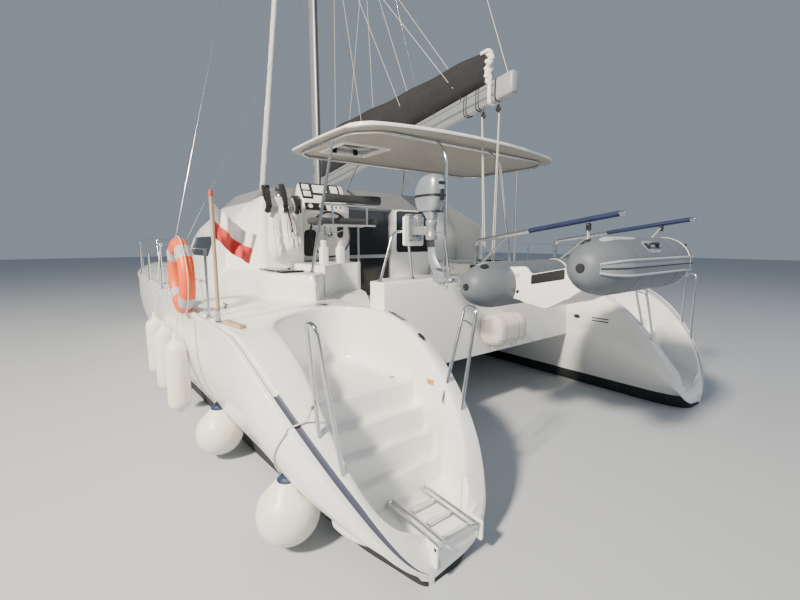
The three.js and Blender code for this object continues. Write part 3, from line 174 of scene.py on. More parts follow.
# Rolled antifouling paint: matt black-blue, blotched where it has worn and grown slime
ANTIFOUL = patterned(
    "antifouling_paint",
    ("TexNoise", {"Scale": 5.0, "Detail": 8.0, "Roughness": 0.7}),
    ("15181C", "34383A"),
    bump=(("TexNoise", {"Scale": 220.0, "Detail": 2.0}), 0.002, 0.4),
    Roughness=0.85,
)
# Polished stainless tube: a mirror with faint polishing haze
STEEL = patterned(
    "stainless_polished",
    ("TexNoise", {"Scale": 24.0, "Detail": 4.0}),
    colours=None,
    dull=(0.08, 0.26),
    Base_Color=linear("D6D8DA"),
    Metallic=1.0,
)
# Clear-anodised aluminium extrusion: satin grey, drawn lines along it and dull patches
ALLOY = patterned(
    "aluminium_anodised",
    ("TexNoise", {"stretch": (60.0, 1.2, 60.0), "Scale": 3.0, "Detail": 3.0}),
    ("A6ABB0", "868C91"),
    dull=(0.3, 0.5),
    Metallic=0.45,
)
# Cast manganese bronze, gone brown in salt water
BRONZE = patterned(
    "bronze_cast",
    ("TexNoise", {"Scale": 14.0, "Detail": 6.0}),
    ("B98E52", "6E5334"),
    bump=(None, 0.001, 0.4),
    Metallic=1.0,
    Roughness=0.42,
)
# Cast smoked acrylic window: near black, glossy, with wipe marks that show in the gloss
ACRYLIC = patterned(
    "acrylic_smoked",
    ("TexNoise", {"Scale": 7.0, "Detail": 3.0, "Distortion": 1.5}),
    ("14181C", "262B30"),
    dull=(0.03, 0.14),
    IOR=1.49,
    Transmission_Weight=0.25,
)
# Closed-cell foam in charcoal vinyl: soft leather grain about 2 mm across
PADDING = patterned(
    "vinyl_padding",
    ("TexNoise", {"Scale": 9.0, "Detail": 5.0}),
    ("2E3033", "484B4E"),
    dull=(0.5, 0.7),
    bump=(("TexVoronoi", {"Scale": 420.0}), 0.0008, 0.5),
    IOR=1.48,
)
# Silver metallic paint under clear coat on a cast cowl, with a fine flake
PAINT = patterned(
    "paint_silver_metallic",
    ("TexVoronoi", {"Scale": 900.0}),
    ("B9C2CA", "8C97A1"),
    Metallic=0.55,
    Roughness=0.3,
    Coat_Weight=0.6,
    Coat_Roughness=0.08,
)
# Moulded black nylon and rubber: satin, with a fine spark-eroded grain
BLACK = patterned(
    "nylon_black_moulded",
    ("TexNoise", {"Scale": 600.0, "Detail": 2.0}),
    ("121315", "26282B"),
    dull=(0.38, 0.6),
    bump=(None, 0.0005, 0.4),
    IOR=1.5,
)
# Inflated fender vinyl: soft gloss, yellowed in clouds
FENDER = patterned(
    "vinyl_inflated",
    ("TexNoise", {"Scale": 6.0, "Detail": 7.0, "Roughness": 0.6}),
    ("F4F2EA", "DAD6C8"),
    dull=(0.25, 0.5),
    IOR=1.5,
    Subsurface_Weight=0.05,
)
# Orange polyethylene shell of a lifebuoy: waxy, sun-faded in clouds
ORANGE = patterned(
    "polyethylene_orange",
    ("TexNoise", {"Scale": 8.0, "Detail": 5.0}),
    ("E94E16", "F2703A"),
    dull=(0.35, 0.55),
    IOR=1.51,
)
# Weathered ash pole: pale grey-brown with the grain running along it
WOOD = patterned(
    "ash_weathered",
    ("TexNoise", {"stretch": (90.0, 90.0, 5.0), "Scale": 1.0, "Detail": 4.0}),
    ("C9B594", "8F7A5F"),
    dull=(0.55, 0.8),
    bump=(None, 0.001, 0.4),
)
# Canvas, sailcloth, netting, bunting and webbing, each with its own thread pitch
BAG = woven("canvas_white", "F0EEE8", "D9D6CC", 0.003, 0.85)
COVER_CLOTH = woven("acrylic_canvas_charcoal", "131416", "232528", 0.003, 0.9, 0.02, 0.05)
SAIL = woven("sailcloth_laminated", "EDEDE8", "D6D7D2", 0.004, 0.6, 0.006)
NET = woven("netting_knotted", "E2E1DB", "C4C3BC", 0.006, 0.85)
FLAG_WHITE = woven("bunting_white", "EFEAE2", "DDD6CC", 0.002, 0.8)
FLAG_RED = woven("bunting_red", "D9423A", "B9302C", 0.002, 0.8)
WEBBING = woven("webbing_polyester_white", "E9E7E0", "CFCCC2", 0.002, 0.8)
# Tender, raft and trim in coated fabric or vinyl, and the blue-grey of painted shade in the gunwale groove
GREY_FABRIC = coated_fabric("pvc_fabric_grey", "6B737B", "585F66")
PALE_FABRIC = coated_fabric("pvc_fabric_pale_grey", "B4BBC0", "9EA6AC")
STRAKE = coated_fabric("pvc_fabric_mid_grey", "8E969C", "7C848B")
RAFT_COVER = coated_fabric("pvc_fabric_white", "F0EDE2", "DCD7C8")
NAVY = coated_fabric("vinyl_navy", "18233F", "26335A")
# Painted shade: the blue-grey of the shadow in the gunwale's groove, aft of its start
GROOVE_SHADE = coated_fabric("gelcoat_groove_painted_shade", "565B6C", "474C5D")
AMBER = coated_fabric("vinyl_amber_patch", "E0A030", "C98420")
TAPE = coated_fabric("reflective_tape_grey", "B9BDC0", "A2A7AB")
ROPE_WHITE = braid("braid_white", "EFEBDD", "B8B19C")
ROPE_BLACK = braid("braid_black", "2A2B2D", "101112")
ROPE_GREY = braid("braid_grey", "A9ACAD", "6F7375")
# Satin-painted finishes: the hardtop's lining, the boom's end cap and the cabin top's grey, the first and last with
# painted shade in their colour
# Grey-beige lining under the hardtop, darkened further as painted shade
LINING_AND_SHADE = satin_paint("gelcoat_lining_with_painted_shade", "ABA8A0", "98958D")
CAP = satin_paint("alloy_cap_painted", "A0A5AA", "8B9096")
# Painted shade: the grey that the hardtop's shade lays over the cabin top above its band
CABIN_TOP_SHADE = satin_paint("gelcoat_cabin_painted_shade", "8A8D90", "7C7F83")


# Making of forms


def put_in_scene(name, data):
    """A new object of a mesh or another kind of data, linked to the scene."""
    made = bpy.data.objects.new(name, data)
    bpy.context.scene.collection.objects.link(made)
    return made


def full_turn(count):
    """Evenly spaced angles round a circle."""
    return [2 * math.pi * i / count for i in range(count)]


def axis_order(axis):
    """The function that puts a pair across an axis and a height along it into x, y, z order."""
    return {"X": lambda a, b, h: (h, a, b), "Y": lambda a, b, h: (a, h, b), "Z": lambda a, b, h: (a, b, h)}[axis]


class Form:
    """Points and faces of one piece, put together from simple shapes; each face keeps its finish."""

    def __init__(self):
        self.points, self.faces, self.looks = [], [], []

    def add(self, points, faces, look=0):
        """Points with faces between them, numbered from the first of these points."""
        start = len(self.points)
        self.points += [tuple(p) for p in points]
        self.faces += [[start + i for i in face] for face in faces]
        self.looks += [look] * len(faces)
        return self

    def grid(self, rows, look=0, round_rows=False, round_columns=False):
        """A skin over rows of points, all of one count."""
        high, wide = len(rows), len(rows[0])
        faces = []
        for i in range(high if round_rows else high - 1):
            for j in range(wide if round_columns else wide - 1):
                k, m = (i + 1) % high, (j + 1) % wide
                faces.append([i * wide + j, i * wide + m, k * wide + m, k * wide + j])
        return self.add([p for row in rows for p in row], faces, look)

    def tube(self, line, radius, sides=12, look=0, loop=False):
        """A round tube along a line; radius is a number or one for each point."""
        line = [Vector(p) for p in line]
        radii = radius if hasattr(radius, "__len__") else [radius] * len(line)
        rows, side = [], None
        for i, p in enumerate(line):
            back = line[i - 1] if i or loop else p
            on = line[(i + 1) % len(line)] if i + 1 < len(line) or loop else p
            ahead = (on - back).normalized()
            if side is None:
                side = ahead.cross(Vector((0, 0, 1) if abs(ahead.z) < 0.9 else (1, 0, 0))).normalized()
            side = (side - ahead * side.dot(ahead)).normalized()
            up = ahead.cross(side)
            rows.append([p + (side * math.cos(t) + up * math.sin(t)) * radii[i] for t in full_turn(sides)])
        return self.grid(rows, look, round_rows=True, round_columns=True) if loop else self.closed(rows, look)

    def closed(self, rings, look=0):
        """A closed form through rings of one count, its two ends capped."""
        self.grid(rings, look, round_columns=True)
        self.add(rings[0], [list(range(len(rings[0])))[::-1]], look)
        return self.add(rings[-1], [list(range(len(rings[-1])))], look)

    def block(self, low, high, look=0):
        """A box between two corners."""
        corners = [(x, y, z) for z in (low[2], high[2]) for y in (low[1], high[1]) for x in (low[0], high[0])]
        faces = [[0, 2, 3, 1], [4, 5, 7, 6], [0, 1, 5, 4], [2, 6, 7, 3], [0, 4, 6, 2], [1, 3, 7, 5]]
        return self.add(corners, faces, look)

    def turned(self, profile, centre, axis="Z", sides=24, look=0):
        """A turned form about an axis through a centre, from (radius, height) pairs."""
        place, middle = axis_order(axis), Vector(centre)
        rows = []
        for radius, height in profile:
            ring = [place(radius * math.cos(t), radius * math.sin(t), height) for t in full_turn(sides)]
            rows.append([middle + Vector(p) for p in ring])
        return self.grid(rows, look, round_columns=True)

    def plate(self, outline, low, high, axis="Z", look=0):
        """An outline of pairs, swept from one height to another along an axis."""
        place = axis_order(axis)
        count = len(outline)
        points = [place(a, b, h) for h in (low, high) for a, b in outline]
        faces = [list(range(count))[::-1], list(range(count, 2 * count))]
        faces += [[i, (i + 1) % count, count + (i + 1) % count, count + i] for i in range(count)]
        return self.add(points, faces, look)

    def stack(self, levels, corner=0.02, edge=0.006, axis="Z", look=0, under=0.0, steps=4):
        """A closed block through (height, outline) levels of one count, with rounded corners and end edges."""
        place = axis_order(axis)
        levels = [(h, rounded(outline, corner, steps)) for h, outline in levels]
        turns = [math.radians(a) for a in (0, 22.5, 45, 67.5, 90)]
        rows = []
        if under:
            (h0, first), (h1, _) = levels[:2]
            up = 1 if h1 > h0 else -1
            rows += [
                (h0 + up * under * (1 - math.sin(t)), inset(first, under * (1 - math.cos(t)))) for t in turns[::-1]
            ]
            levels = levels[1:]
        rows += levels[:-1]
        (h0, before), (h1, last) = (rows[-1], levels[-1])
        up = 1 if h1 > h0 else -1
        share = 1 - edge / max(abs(h1 - h0), edge * 1.001)
        near = [a.lerp(b, share) for a, b in zip(before, last)]
        rows += [(h1 - up * edge * (1 - math.sin(t)), inset(near, edge * (1 - math.cos(t)))) for t in turns]
        return self.closed([[place(p.x, p.y, h) for p in outline] for h, outline in rows], look)

    def slab(self, outline, low, high, corner=0.02, edge=0.006, axis="Z", look=0, under=0.0, steps=4):
        """A plate of one outline between two heights, with rounded corners and edges."""
        return self.stack([(low, outline), (high, outline)], corner, edge, axis, look, under, steps)

    def moved(self, place, start=0):
        """The points from one on, put through a placing function."""
        self.points[start:] = [tuple(place(*p)) for p in self.points[start:]]
        return self

    def piece(self, name, finishes, body="hull", stands_for=(), sharp=38):
        """The finished object, riding on its body if it has one."""
        mesh = bpy.data.meshes.new(name)
        mesh.from_pydata(self.points, [], self.faces)
        work = bmesh.new()
        work.from_mesh(mesh)
        for face, look in zip(work.faces, self.looks):
            face.material_index = look
        bmesh.ops.remove_doubles(work, verts=work.verts, dist=1e-5)
        bmesh.ops.dissolve_degenerate(work, edges=work.edges, dist=1e-6)
        bmesh.ops.recalc_face_normals(work, faces=work.faces)
        work.to_mesh(mesh)
        work.free()
        for material in finishes if isinstance(finishes, (list, tuple)) else [finishes]:
            mesh.materials.append(material)
        made = put_in_scene(name, mesh)
        shade(made, sharp)
        if body:
            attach(made, body)
        if stands_for:
            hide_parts(*stands_for)
        return made


def shade(made, sharp=38):
    """Smooth shading that keeps edges sharper than an angle in degrees."""
    made.data.polygons.foreach_set("use_smooth", [True] * len(made.data.polygons))
    made.data.set_sharp_from_angle(angle=math.radians(sharp))


def mix(a, b, share):
    """The value a share of the way from one to another."""
    return a + (b - a) * share


def corner_arc(before, corner, after, radius, steps):
    """The points that round a corner, from a radius before it, or less where there is no room, to one after."""
    reach = min(radius, (before - corner).length / 2.1, (after - corner).length / 2.1)
    start = corner + (before - corner).normalized() * reach
    end = corner + (after - corner).normalized() * reach
    shares = [i / steps for i in range(steps + 1)]
    return [start * (1 - t) ** 2 + corner * 2 * t * (1 - t) + end * t**2 for t in shares]


def bent(corners, radius, steps=7):
    """A line through corners, each rounded by an arc that starts a radius before it."""
    corners = [Vector(c) for c in corners]
    line = [corners[0]]
    for before, corner, after in zip(corners, corners[1:], corners[2:]):
        line += corner_arc(before, corner, after, radius, steps)
    return line + [corners[-1]]


def curve_through(rows, place):
    """A smooth value read off (place, value) rows in rising order, with no overshoot between equal values."""
    if place <= rows[0][0]:
        return rows[0][1]
    if place >= rows[-1][0]:
        return rows[-1][1]
    slopes = [(b[1] - a[1]) / (b[0] - a[0]) for a, b in zip(rows, rows[1:])]
    ends = [slopes[0]] + [0 if p * q <= 0 else 2 * p * q / (p + q) for p, q in zip(slopes, slopes[1:])]
    ends.append(slopes[-1])
    for i, (a, b) in enumerate(zip(rows, rows[1:])):
        if place <= b[0]:
            h = b[0] - a[0]
            t = (place - a[0]) / h
            return (
                (2 * t**3 - 3 * t**2 + 1) * a[1]
                + (t**3 - 2 * t**2 + t) * h * ends[i]
                + (3 * t**2 - 2 * t**3) * b[1]
                + (t**3 - t**2) * h * ends[i + 1]
            )
    return rows[-1][1]


def rounded(outline, radius, steps=4):
    """A closed plan outline with every corner rounded."""
    corners = [Vector(p) for p in outline]
    made = []
    for i, corner in enumerate(corners):
        made += corner_arc(corners[i - 1], corner, corners[(i + 1) % len(corners)], radius, steps)
    return made


def inset(outline, distance):
    """A closed outline moved in by a distance."""
    area = sum(a.x * b.y - b.x * a.y for a, b in zip(outline, outline[1:] + outline[:1]))
    turn = 1 if area > 0 else -1
    made = []
    for i, corner in enumerate(outline):
        before = (corner - outline[i - 1]).normalized()
        after = (outline[(i + 1) % len(outline)] - corner).normalized()
        inward = Vector((-(before.y + after.y), before.x + after.x)).normalized() * turn
        across = max(0.6, abs(inward.dot(Vector((-before.y, before.x)))))
        made.append(corner + inward * distance / across)
    return made


def ellipse(centre, half, count=20):
    """A closed outline round a centre, from its two half widths."""
    return [(centre[0] + half[0] * math.cos(t), centre[1] + half[1] * math.sin(t)) for t in full_turn(count)]


def oblong(low, high):
    """The four corners of a plan rectangle."""
    return [(low[0], low[1]), (high[0], low[1]), (high[0], high[1]), (low[0], high[1])]


# Camera, floor and light

CAMERA_PLACE = (-4.04, -7.51, 2.19)
CAMERA_TURN = 37.52
CAMERA_DIP = 8.2
LENS = 18.41


def set_camera():
    """The camera that took the view: low behind the port quarter."""
    camera = bpy.data.objects.new("camera", bpy.data.cameras.new("camera"))
    camera.data.sensor_width = 36
    camera.data.lens = LENS
    camera.data.clip_start, camera.data.clip_end = 0.05, 200
    camera.location = CAMERA_PLACE
    camera.rotation_euler = (math.radians(90 - CAMERA_DIP), 0, -math.radians(CAMERA_TURN))
    bpy.context.scene.collection.objects.link(camera)
    bpy.context.scene.camera = camera


def set_floor():
    """A plain pale floor at the waterline."""
    reach = 60
    mesh = bpy.data.meshes.new("floor")
    corners = [(-reach, -reach, 0), (reach, -reach, 0), (reach, reach, 0), (-reach, reach, 0)]
    mesh.from_pydata(corners, [], [[0, 1, 2, 3]])
    floor = bpy.data.objects.new("floor", mesh)
    clouds = ("TexNoise", {"Scale": 0.4, "Detail": 2.0})
    mesh.materials.append(patterned("floor_paper", clouds, ("B9BEC4", "AEB4BA"), Roughness=0.9))
    bpy.context.scene.collection.objects.link(floor)


def set_light():
    """A warm key high on the port side, a broad weak fill from astern and a plain sky."""
    world = bpy.data.worlds.new("studio")
    world.use_nodes = True
    world.node_tree.nodes["Background"].inputs["Color"].default_value = linear("C9D6E6")
    world.node_tree.nodes["Background"].inputs["Strength"].default_value = 0.42
    bpy.context.scene.world = world
    for name, place, aim, size, power, tint in (
        ("key", (-15, -8, 12), (0, -2, 1.0), 1.6, 8200, "FFF1DE"),
        ("fill", (10, -16, 9), (0, -2, 1.5), 12.0, 700, "E6EEFA"),
    ):
        lamp = bpy.data.lights.new(name, "AREA")
        lamp.size = size
        lamp.energy = power
        lamp.color = linear(tint)[:3]
        made = bpy.data.objects.new(name, lamp)
        made.location = place
        made.rotation_euler = (Vector(aim) - Vector(place)).to_track_quat("-Z", "Y").to_euler()
        bpy.context.scene.collection.objects.link(made)


set_camera()
set_floor()
set_light()


# Hulls

HALF_LENGTH = 5.775
HULL_X = 2.45
HULL_OUT, HULL_IN = 0.8, 0.75
WATER_HALF = 0.47
DECK_Z, BOOT_Z = 1.5, 0.17
SCOOP_START, ROUND_START = -4.3, -4.6
TUB = {"side": 0.53, "middle": -0.08, "aft": -5.69, "taper": -5.05, "floor": 0.98}
TUB_FRONT = {"apex": -3.8, "off": -0.26, "outer": -4.45, "inner": -4.2}
STEPS = ((-4.85, 0.795), (-5.0, 0.61), (-5.11, 0.425), (-5.21, 0.24))
LADDER = {"x": -2.23, "y": -5.8, "z": 0.262, "half": 0.18, "length": 0.56}
GAP = 0.0003
# The gunwale's groove is coloured blue-grey aft from here: painted shade in the groove
GROOVE_SHADE_START = -5.08

# Half widths forward, as (y, outer, inner, waterline, keel z) rows
FORWARD = (
    (0, 0.82, 0.75, 0.47, -0.56),
    (1.5, 0.80, 0.74, 0.46, -0.56),
    (3.0, 0.66, 0.62, 0.39, -0.54),
    (4.2, 0.44, 0.44, 0.27, -0.48),
    (5.2, 0.19, 0.20, 0.11, -0.38),
    (5.7, 0.06, 0.06, 0.03, -0.26),
    (HALF_LENGTH, 0.022, 0.022, 0.012, -0.18),
)
# Half widths of the outer waterline aft, as (y, half width) rows
WATER_OUT = (
    (-HALF_LENGTH, 0.03),
    (-5.73, 0.06),
    (-5.54, 0.11),
    (-5.2, 0.19),
    (-4.72, 0.24),
    (-3.16, 0.36),
    (-1.0, 0.47),
)
# Top and front end of the cockpit coamings, which hold the side lockers
LOCKER_TOP, LOCKER_FRONT = 1.815, -1.3003
# Cockpit coaming over the hull, as (x, y, shift of x and y on top) corners, and its heights
COAMING_PLAN = (
    (1.7003, -2.935, 0, 0.01),
    (2.05, -3.42, -0.01, 0.09),
    (2.4, -2.74, -0.09, 0.03),
    (2.57, LOCKER_FRONT, -0.09, 0),
    (1.7003, LOCKER_FRONT, 0, 0),
)
COAMING_LEVELS = ((1.46, 0), (1.715, 0), (LOCKER_TOP, 1))
# Starboard wing of the aft bulkhead, as (z, y of its aft end, x of its four corners) rows
WING = (
    (1.76, -1.96, 2.33, 2.22, 2.22, 2.48),
    (2.3, -1.96, 2.33, 2.23, 2.23, 2.4),
    (2.46, -1.96, 2.31, 2.24, 2.15, 2.33),
    (2.96, -1.34, 1.83, 1.8, 1.79, 1.835),
)


def round_off(share, power):
    """Falls from 1 to 0 along a share, the more suddenly the higher the power."""
    return max(0.0, 1 - share**power) ** (1 / power)


def hull_lines(y):
    """Half widths out, in and at the waterline (in, out), keel depth and gunwale height at a distance along."""
    outer, inner, water, keel = (curve_through([(row[0], row[i]) for row in FORWARD], y) for i in range(1, 5))
    gunwale = DECK_Z + 0.1 * max(0, (y - SCOOP_START) / (HALF_LENGTH - SCOOP_START))
    if y < 0:
        outer = HULL_OUT + 0.02 * (1 + y / HALF_LENGTH)
        keel = curve_through([(-HALF_LENGTH, -0.02), (-5.6, -0.11), (-5.0, -0.29), (-3.0, -0.48), (0, -0.56)], y)
    water_out = min(water, curve_through(WATER_OUT, y))
    if y < ROUND_START:
        share = min(1.0, (ROUND_START - y) / (HALF_LENGTH + ROUND_START))
        outer = max(0.025, HULL_OUT * round_off(share, 2))
        inner = max(0.025, HULL_IN * round_off(share, 5))
        water = max(0.02, WATER_HALF * round_off(share, 5))
    if y < SCOOP_START:
        along = (SCOOP_START - y) / (HALF_LENGTH + SCOOP_START)
        gunwale = 0.08 + (DECK_Z - 0.08) * max(0, 1 - along**2) ** 0.75
    return outer, inner, water, min(water_out, outer - 0.002), keel, gunwale


def tub_edges(y, grow):
    """Offsets of the stair recess's outer and inner wall at y, its outline moved out by grow; None past its ends."""
    apex, middle = TUB_FRONT["apex"] + grow, TUB["middle"]
    side = TUB["side"] + grow
    share = max(0.0, (TUB["taper"] - y) / (TUB["taper"] - TUB["aft"] + grow))
    if y >= apex or share >= 1:
        return None
    edges = []
    for sign, start, power in ((1, TUB_FRONT["outer"], 1.25), (-1, TUB_FRONT["inner"], 1.0)):
        if y <= start:
            edges.append(middle + sign * side * round_off(share, 3))
        else:
            rise = ((y - start) / (apex - start)) ** (1 / power)
            reach = side + sign * (middle - TUB_FRONT["off"])
            edges.append(TUB_FRONT["off"] + sign * reach * math.sqrt(max(0.0, 1 - rise**2)) ** power)
    return edges


def tub_middle(y):
    """Offset of the line on which the recess closes."""
    share = (y - TUB_FRONT["outer"]) / (TUB_FRONT["apex"] - TUB_FRONT["outer"])
    return mix(TUB["middle"], TUB_FRONT["off"], min(1.0, max(0.0, share)))


def tub_distance(y):
    """How far the middle line at y lies outside the recess, below 0 inside it."""
    return max(y - TUB_FRONT["apex"], TUB["aft"] - y)


RIM_RADIUS, WALL_DRAFT, FLOOR_RADIUS = 0.03, 0.025, 0.06
# Recess wall, as (outline moved out by, part of the wall, share of that part) rows
WALL = [(RIM_RADIUS, "rim", 0)]
WALL += [(RIM_RADIUS * (1 - math.sin(math.radians(a))), "rim", 1 - math.cos(math.radians(a))) for a in (30, 60, 90)]
WALL += [(-WALL_DRAFT * t, "wall", t) for t in (0.33, 0.66, 1)]
WALL += [
    (-WALL_DRAFT - FLOOR_RADIUS * (1 - math.cos(math.radians(a))), "floor", 1 - math.sin(math.radians(a)))
    for a in (25, 50, 70, 90)
]


def wall_height(kind, share, rim, floor):
    """Height on the recess wall; where rim and floor come close the radii shrink with it."""
    drop = max(0.0, rim - floor)
    top = min(RIM_RADIUS, drop * 0.4)
    low = min(FLOOR_RADIUS, drop * 0.5)
    if kind == "rim":
        return rim - top * share
    if kind == "wall":
        return mix(rim - top, floor + low, share)
    return floor + low * share


def tub_height(distance, rim, floor):
    """Height of the recess surface at a distance outside its outline."""
    if distance >= WALL[0][0]:
        return rim
    for (far, kind, share), (near, next_kind, next_share) in zip(WALL, WALL[1:]):
        if distance >= near:
            high = wall_height(kind, share, rim, floor)
            low = wall_height(next_kind, next_share, rim, floor)
            return mix(low, high, (distance - near) / (far - near))
    return floor


def stair_line():
    """(y, floor height) along the recess from front to stern, with rounded noses and risers that lean."""
    lean, nose, foot = 0.022, 0.016, 0.022
    line = []
    level = TUB["floor"]
    for y, tread in STEPS:
        drop = level - tread
        line += [(y + nose * (1 - s), level - nose * c) for s, c in ((0, 0), (0.5, 0.134), (0.87, 0.5), (1.0, 1.0))]
        line += [(y - lean * t - 1e-4, level - nose - (drop - nose - foot) * t) for t in (0.5, 1)]
        line += [(y - lean - foot * s - 2e-4, tread + foot * c) for s, c in ((0.134, 0.5), (0.5, 0.134), (1.0, 0))]
        level = tread
    return line


def stations():
    """(y, floor height) of every section of the hull, dense where the recess turns."""
    floor = TUB["floor"]
    apex = TUB_FRONT["apex"] + RIM_RADIUS
    found = [(y, floor) for y in (-4.77, -4.7, -4.63, -4.56)]
    found += [(apex - 0.7 * (t / 34) ** 1.8, floor) for t in range(35)]
    found += [(y, floor) for y in (-3.7, -3.6, -3.4, -3.2, -3.0, -2.6, -2.2, -1.8, -1.4, -1.0, -0.5)]
    found += [(0.35 * i, floor) for i in range(14)]
    found += [(y, floor) for y in (4.85, 5.1, 5.3, 5.45, 5.57, 5.65, 5.71, 5.75, HALF_LENGTH)]
    stairs = stair_line()
    found += stairs
    last = stairs[-1]
    aft_edge = TUB["aft"] - RIM_RADIUS
    found += [(mix(last[0], aft_edge, 1 - (1 - t / 18) ** 2), last[1]) for t in range(1, 19)]
    found += [(mix(aft_edge, -HALF_LENGTH, t / 5), last[1]) for t in range(1, 6)]
    return sorted(found)


def spaced(points, steps):
    """Smooth points through a short row of (offset, height) points, ends kept."""
    made = []
    for i in range(len(points) - 1):
        a, b, c = points[max(0, i - 1)], points[i], points[i + 1]
        d = points[min(len(points) - 1, i + 2)]
        for k in range(steps):
            t = k / steps
            weights = (
                -0.5 * t + t**2 - 0.5 * t**3,
                1 - 2.5 * t**2 + 1.5 * t**3,
                0.5 * t + 2 * t**2 - 1.5 * t**3,
                -0.5 * t**2 + 0.5 * t**3,
            )
            made.append(tuple(sum(w * p[n] for w, p in zip(weights, (a, b, c, d))) for n in (0, 1)))
    return made + [points[-1]]


def coaming_top(y, rim):
    """Deck from the outer gunwale, with its lip and groove, over the recess to the inner gunwale, with finishes."""
    outer, inner, *_ = hull_lines(y)
    lip = min(0.014, outer * 0.2)
    groove = min(0.055, outer * 0.12)
    deep = min(0.045, rim * 0.15)
    crown = 0.02 * min(1.0, outer / HULL_OUT)
    top = [(outer, rim - deep, 0), (outer + lip, rim - deep * 0.85, 0), (outer + lip, rim - 0.008, 0)]
    top += [(outer + lip * 0.4, rim, 0), (outer - groove * 0.3, rim + 0.002, 0)]
    # Look 1 is the groove's floor, which takes the blue-grey of painted shade aft of its start
    top += [(outer - groove * 0.45, rim - 0.012, 1), (outer - groove * 0.95, rim - 0.012, 1)]
    top += [(outer - groove * 1.1, rim + 0.004, 0)]
    edge = outer - groove * 1.1
    closed = tub_middle(y)
    floor_at = FLOOR_AT[y]
    shores = []
    for grow, kind, share in WALL:
        edges = tub_edges(y, grow)
        if edges:
            shores.append((*edges, wall_height(kind, share, rim + crown, floor_at)))
        else:
            shores.append((closed, closed, tub_height(tub_distance(y), rim + crown, floor_at)))
    outside = min(edge - 0.004, shores[0][0])
    inside = max(-inner + 0.03, shores[0][1])
    height = shores[0][2]
    top += [(mix(edge, outside, t), mix(rim + 0.004, height, min(1, t * 2.2)), 0) for t in (0.08, 0.3, 0.6, 0.85)]
    top += [(min(edge - 0.002, out), z, 0) for out, _, z in shores]
    out, back, z = shores[-1]
    top += [(mix(back, out, t), z, 2 if 0.1 < t < 0.9 else 0) for t in (0.93, 0.75, 0.5, 0.25, 0.07)]
    top += [(max(-inner + 0.028, back), z, 0) for _, back, z in reversed(shores)]
    top += [(mix(-inner + 0.02, inside, t), mix(rim, height, min(1, t * 2.2)), 0) for t in (0.85, 0.6, 0.3, 0.08)]
    return top + [(-inner + 0.012, rim, 0), (-inner + 0.003, rim - 0.004, 0), (-inner, rim - 0.013, 0)]


def hull_section(y):
    """One section from the outer gunwale over the deck to the inner one and round the bottom, with its finishes."""
    outer, inner, water, water_out, keel, rim = hull_lines(y)
    boot = min(BOOT_Z, rim * 0.45)
    level = min(0, boot)
    deep = min(0.045, rim * 0.15)
    boot_in = -(water + min(0.05, inner - water))
    boot_out = water_out + min(0.04, outer - water_out)
    inner_side = spaced([(-inner, rim - 0.013), (-inner, mix(boot, rim, 0.52)), (boot_in, boot)], 6)
    outer_side = spaced(
        [
            (boot_out, boot),
            (mix(water_out, outer, 0.62), mix(boot, rim, 0.28)),
            (outer * 0.985, mix(boot, rim, 0.62)),
            (outer, rim - deep),
        ],
        5,
    )
    bottom = ((0.45, 0.86), (0.82, 0.5))
    under = [(boot_in, boot), (-water, level)]
    under += [(-water * wide, keel * depth) for wide, depth in bottom[::-1]] + [(0, keel)]
    under += [(water_out * wide, keel * depth) for wide, depth in bottom] + [(water_out, level), (boot_out, boot)]
    section = coaming_top(y, rim) + [(x, z, 0) for x, z in inner_side[1:-1]]
    return section + [(x, z, 3) for x, z in spaced(under, 3)[:-1]] + [(x, z, 0) for x, z in outer_side[:-1]]


def notch(x, y, z):
    """Lowers the stern rim behind the swim ladder, so that it folds out over it."""
    half = LADDER["half"] + 0.035
    if y < -5.6 and abs(x - abs(LADDER["x"])) < half:
        return min(z, 0.2397)
    return z


def ladder_lugs(form):
    """Stainless-bolted lugs of the hull moulding that carry the swim ladder's pin."""
    for sign in (-1, 1):
        x = LADDER["x"] + sign * (LADDER["half"] + 0.03)
        outline = [(-5.818, 0.13), (-5.64, 0.13), (-5.64, 0.24), (-5.7, 0.28), (-5.818, 0.28)]
        form.slab(outline, x - 0.008, x + 0.008, corner=0.02, edge=0.002, axis="X", under=0.002)


def hull(label, side):
    """One hull with its stair recess, painted shade in blue-grey along its gunwale groove, coaming and, to port, the
    ladder's lugs.
    """
    form = Form()
    rows, looks = [], []
    for y in FLOOR_AT:
        section = hull_section(y)
        rows.append([(side * (HULL_X + off), y, notch(HULL_X + off, y, z)) for off, z, _ in section])
        # The groove's painted shade shows only aft of its start; forward the groove stays white
        looks.append([look if look != 1 or y < GROOVE_SHADE_START else 0 for *_, look in section])
    form.grid(rows, round_columns=True)
    form.looks = []
    for i in range(len(rows) - 1):
        for j, look in enumerate(looks[i]):
            flat = abs(rows[i][j][2] - rows[i + 1][j][2]) < 0.01 or rows[i][0][1] > -4.8
            form.looks.append(look if look != 2 or flat and rows[i][0][1] < TUB_FRONT["apex"] - 0.1 else 0)
    for row in (rows[0], rows[-1]):
        form.add(row, [list(range(len(row)))])
    form.stack(
        [(z, [(side * (x + t * dx), y + t * dy) for x, y, dx, dy in COAMING_PLAN]) for z, t in COAMING_LEVELS],
        corner=0.09,
        edge=0.035,
    )
    if side < 0:
        ladder_lugs(form)
    else:
        levels = [(z, [(a, aft), (b, aft), (c, LOCKER_FRONT), (d, LOCKER_FRONT)]) for z, aft, a, b, c, d in WING]
        form.stack(levels, corner=0.02, edge=0.012)
    return form.piece(
        f"hull_moulding_{label}",
        [GELCOAT, GROOVE_SHADE, TREAD, ANTIFOUL],
        stands_for=[f"hull_{label}"],
        sharp=32,
    )


FLOOR_AT = dict(stations())
for label, side in SIDES:
    hull(label, side)


# Tube work

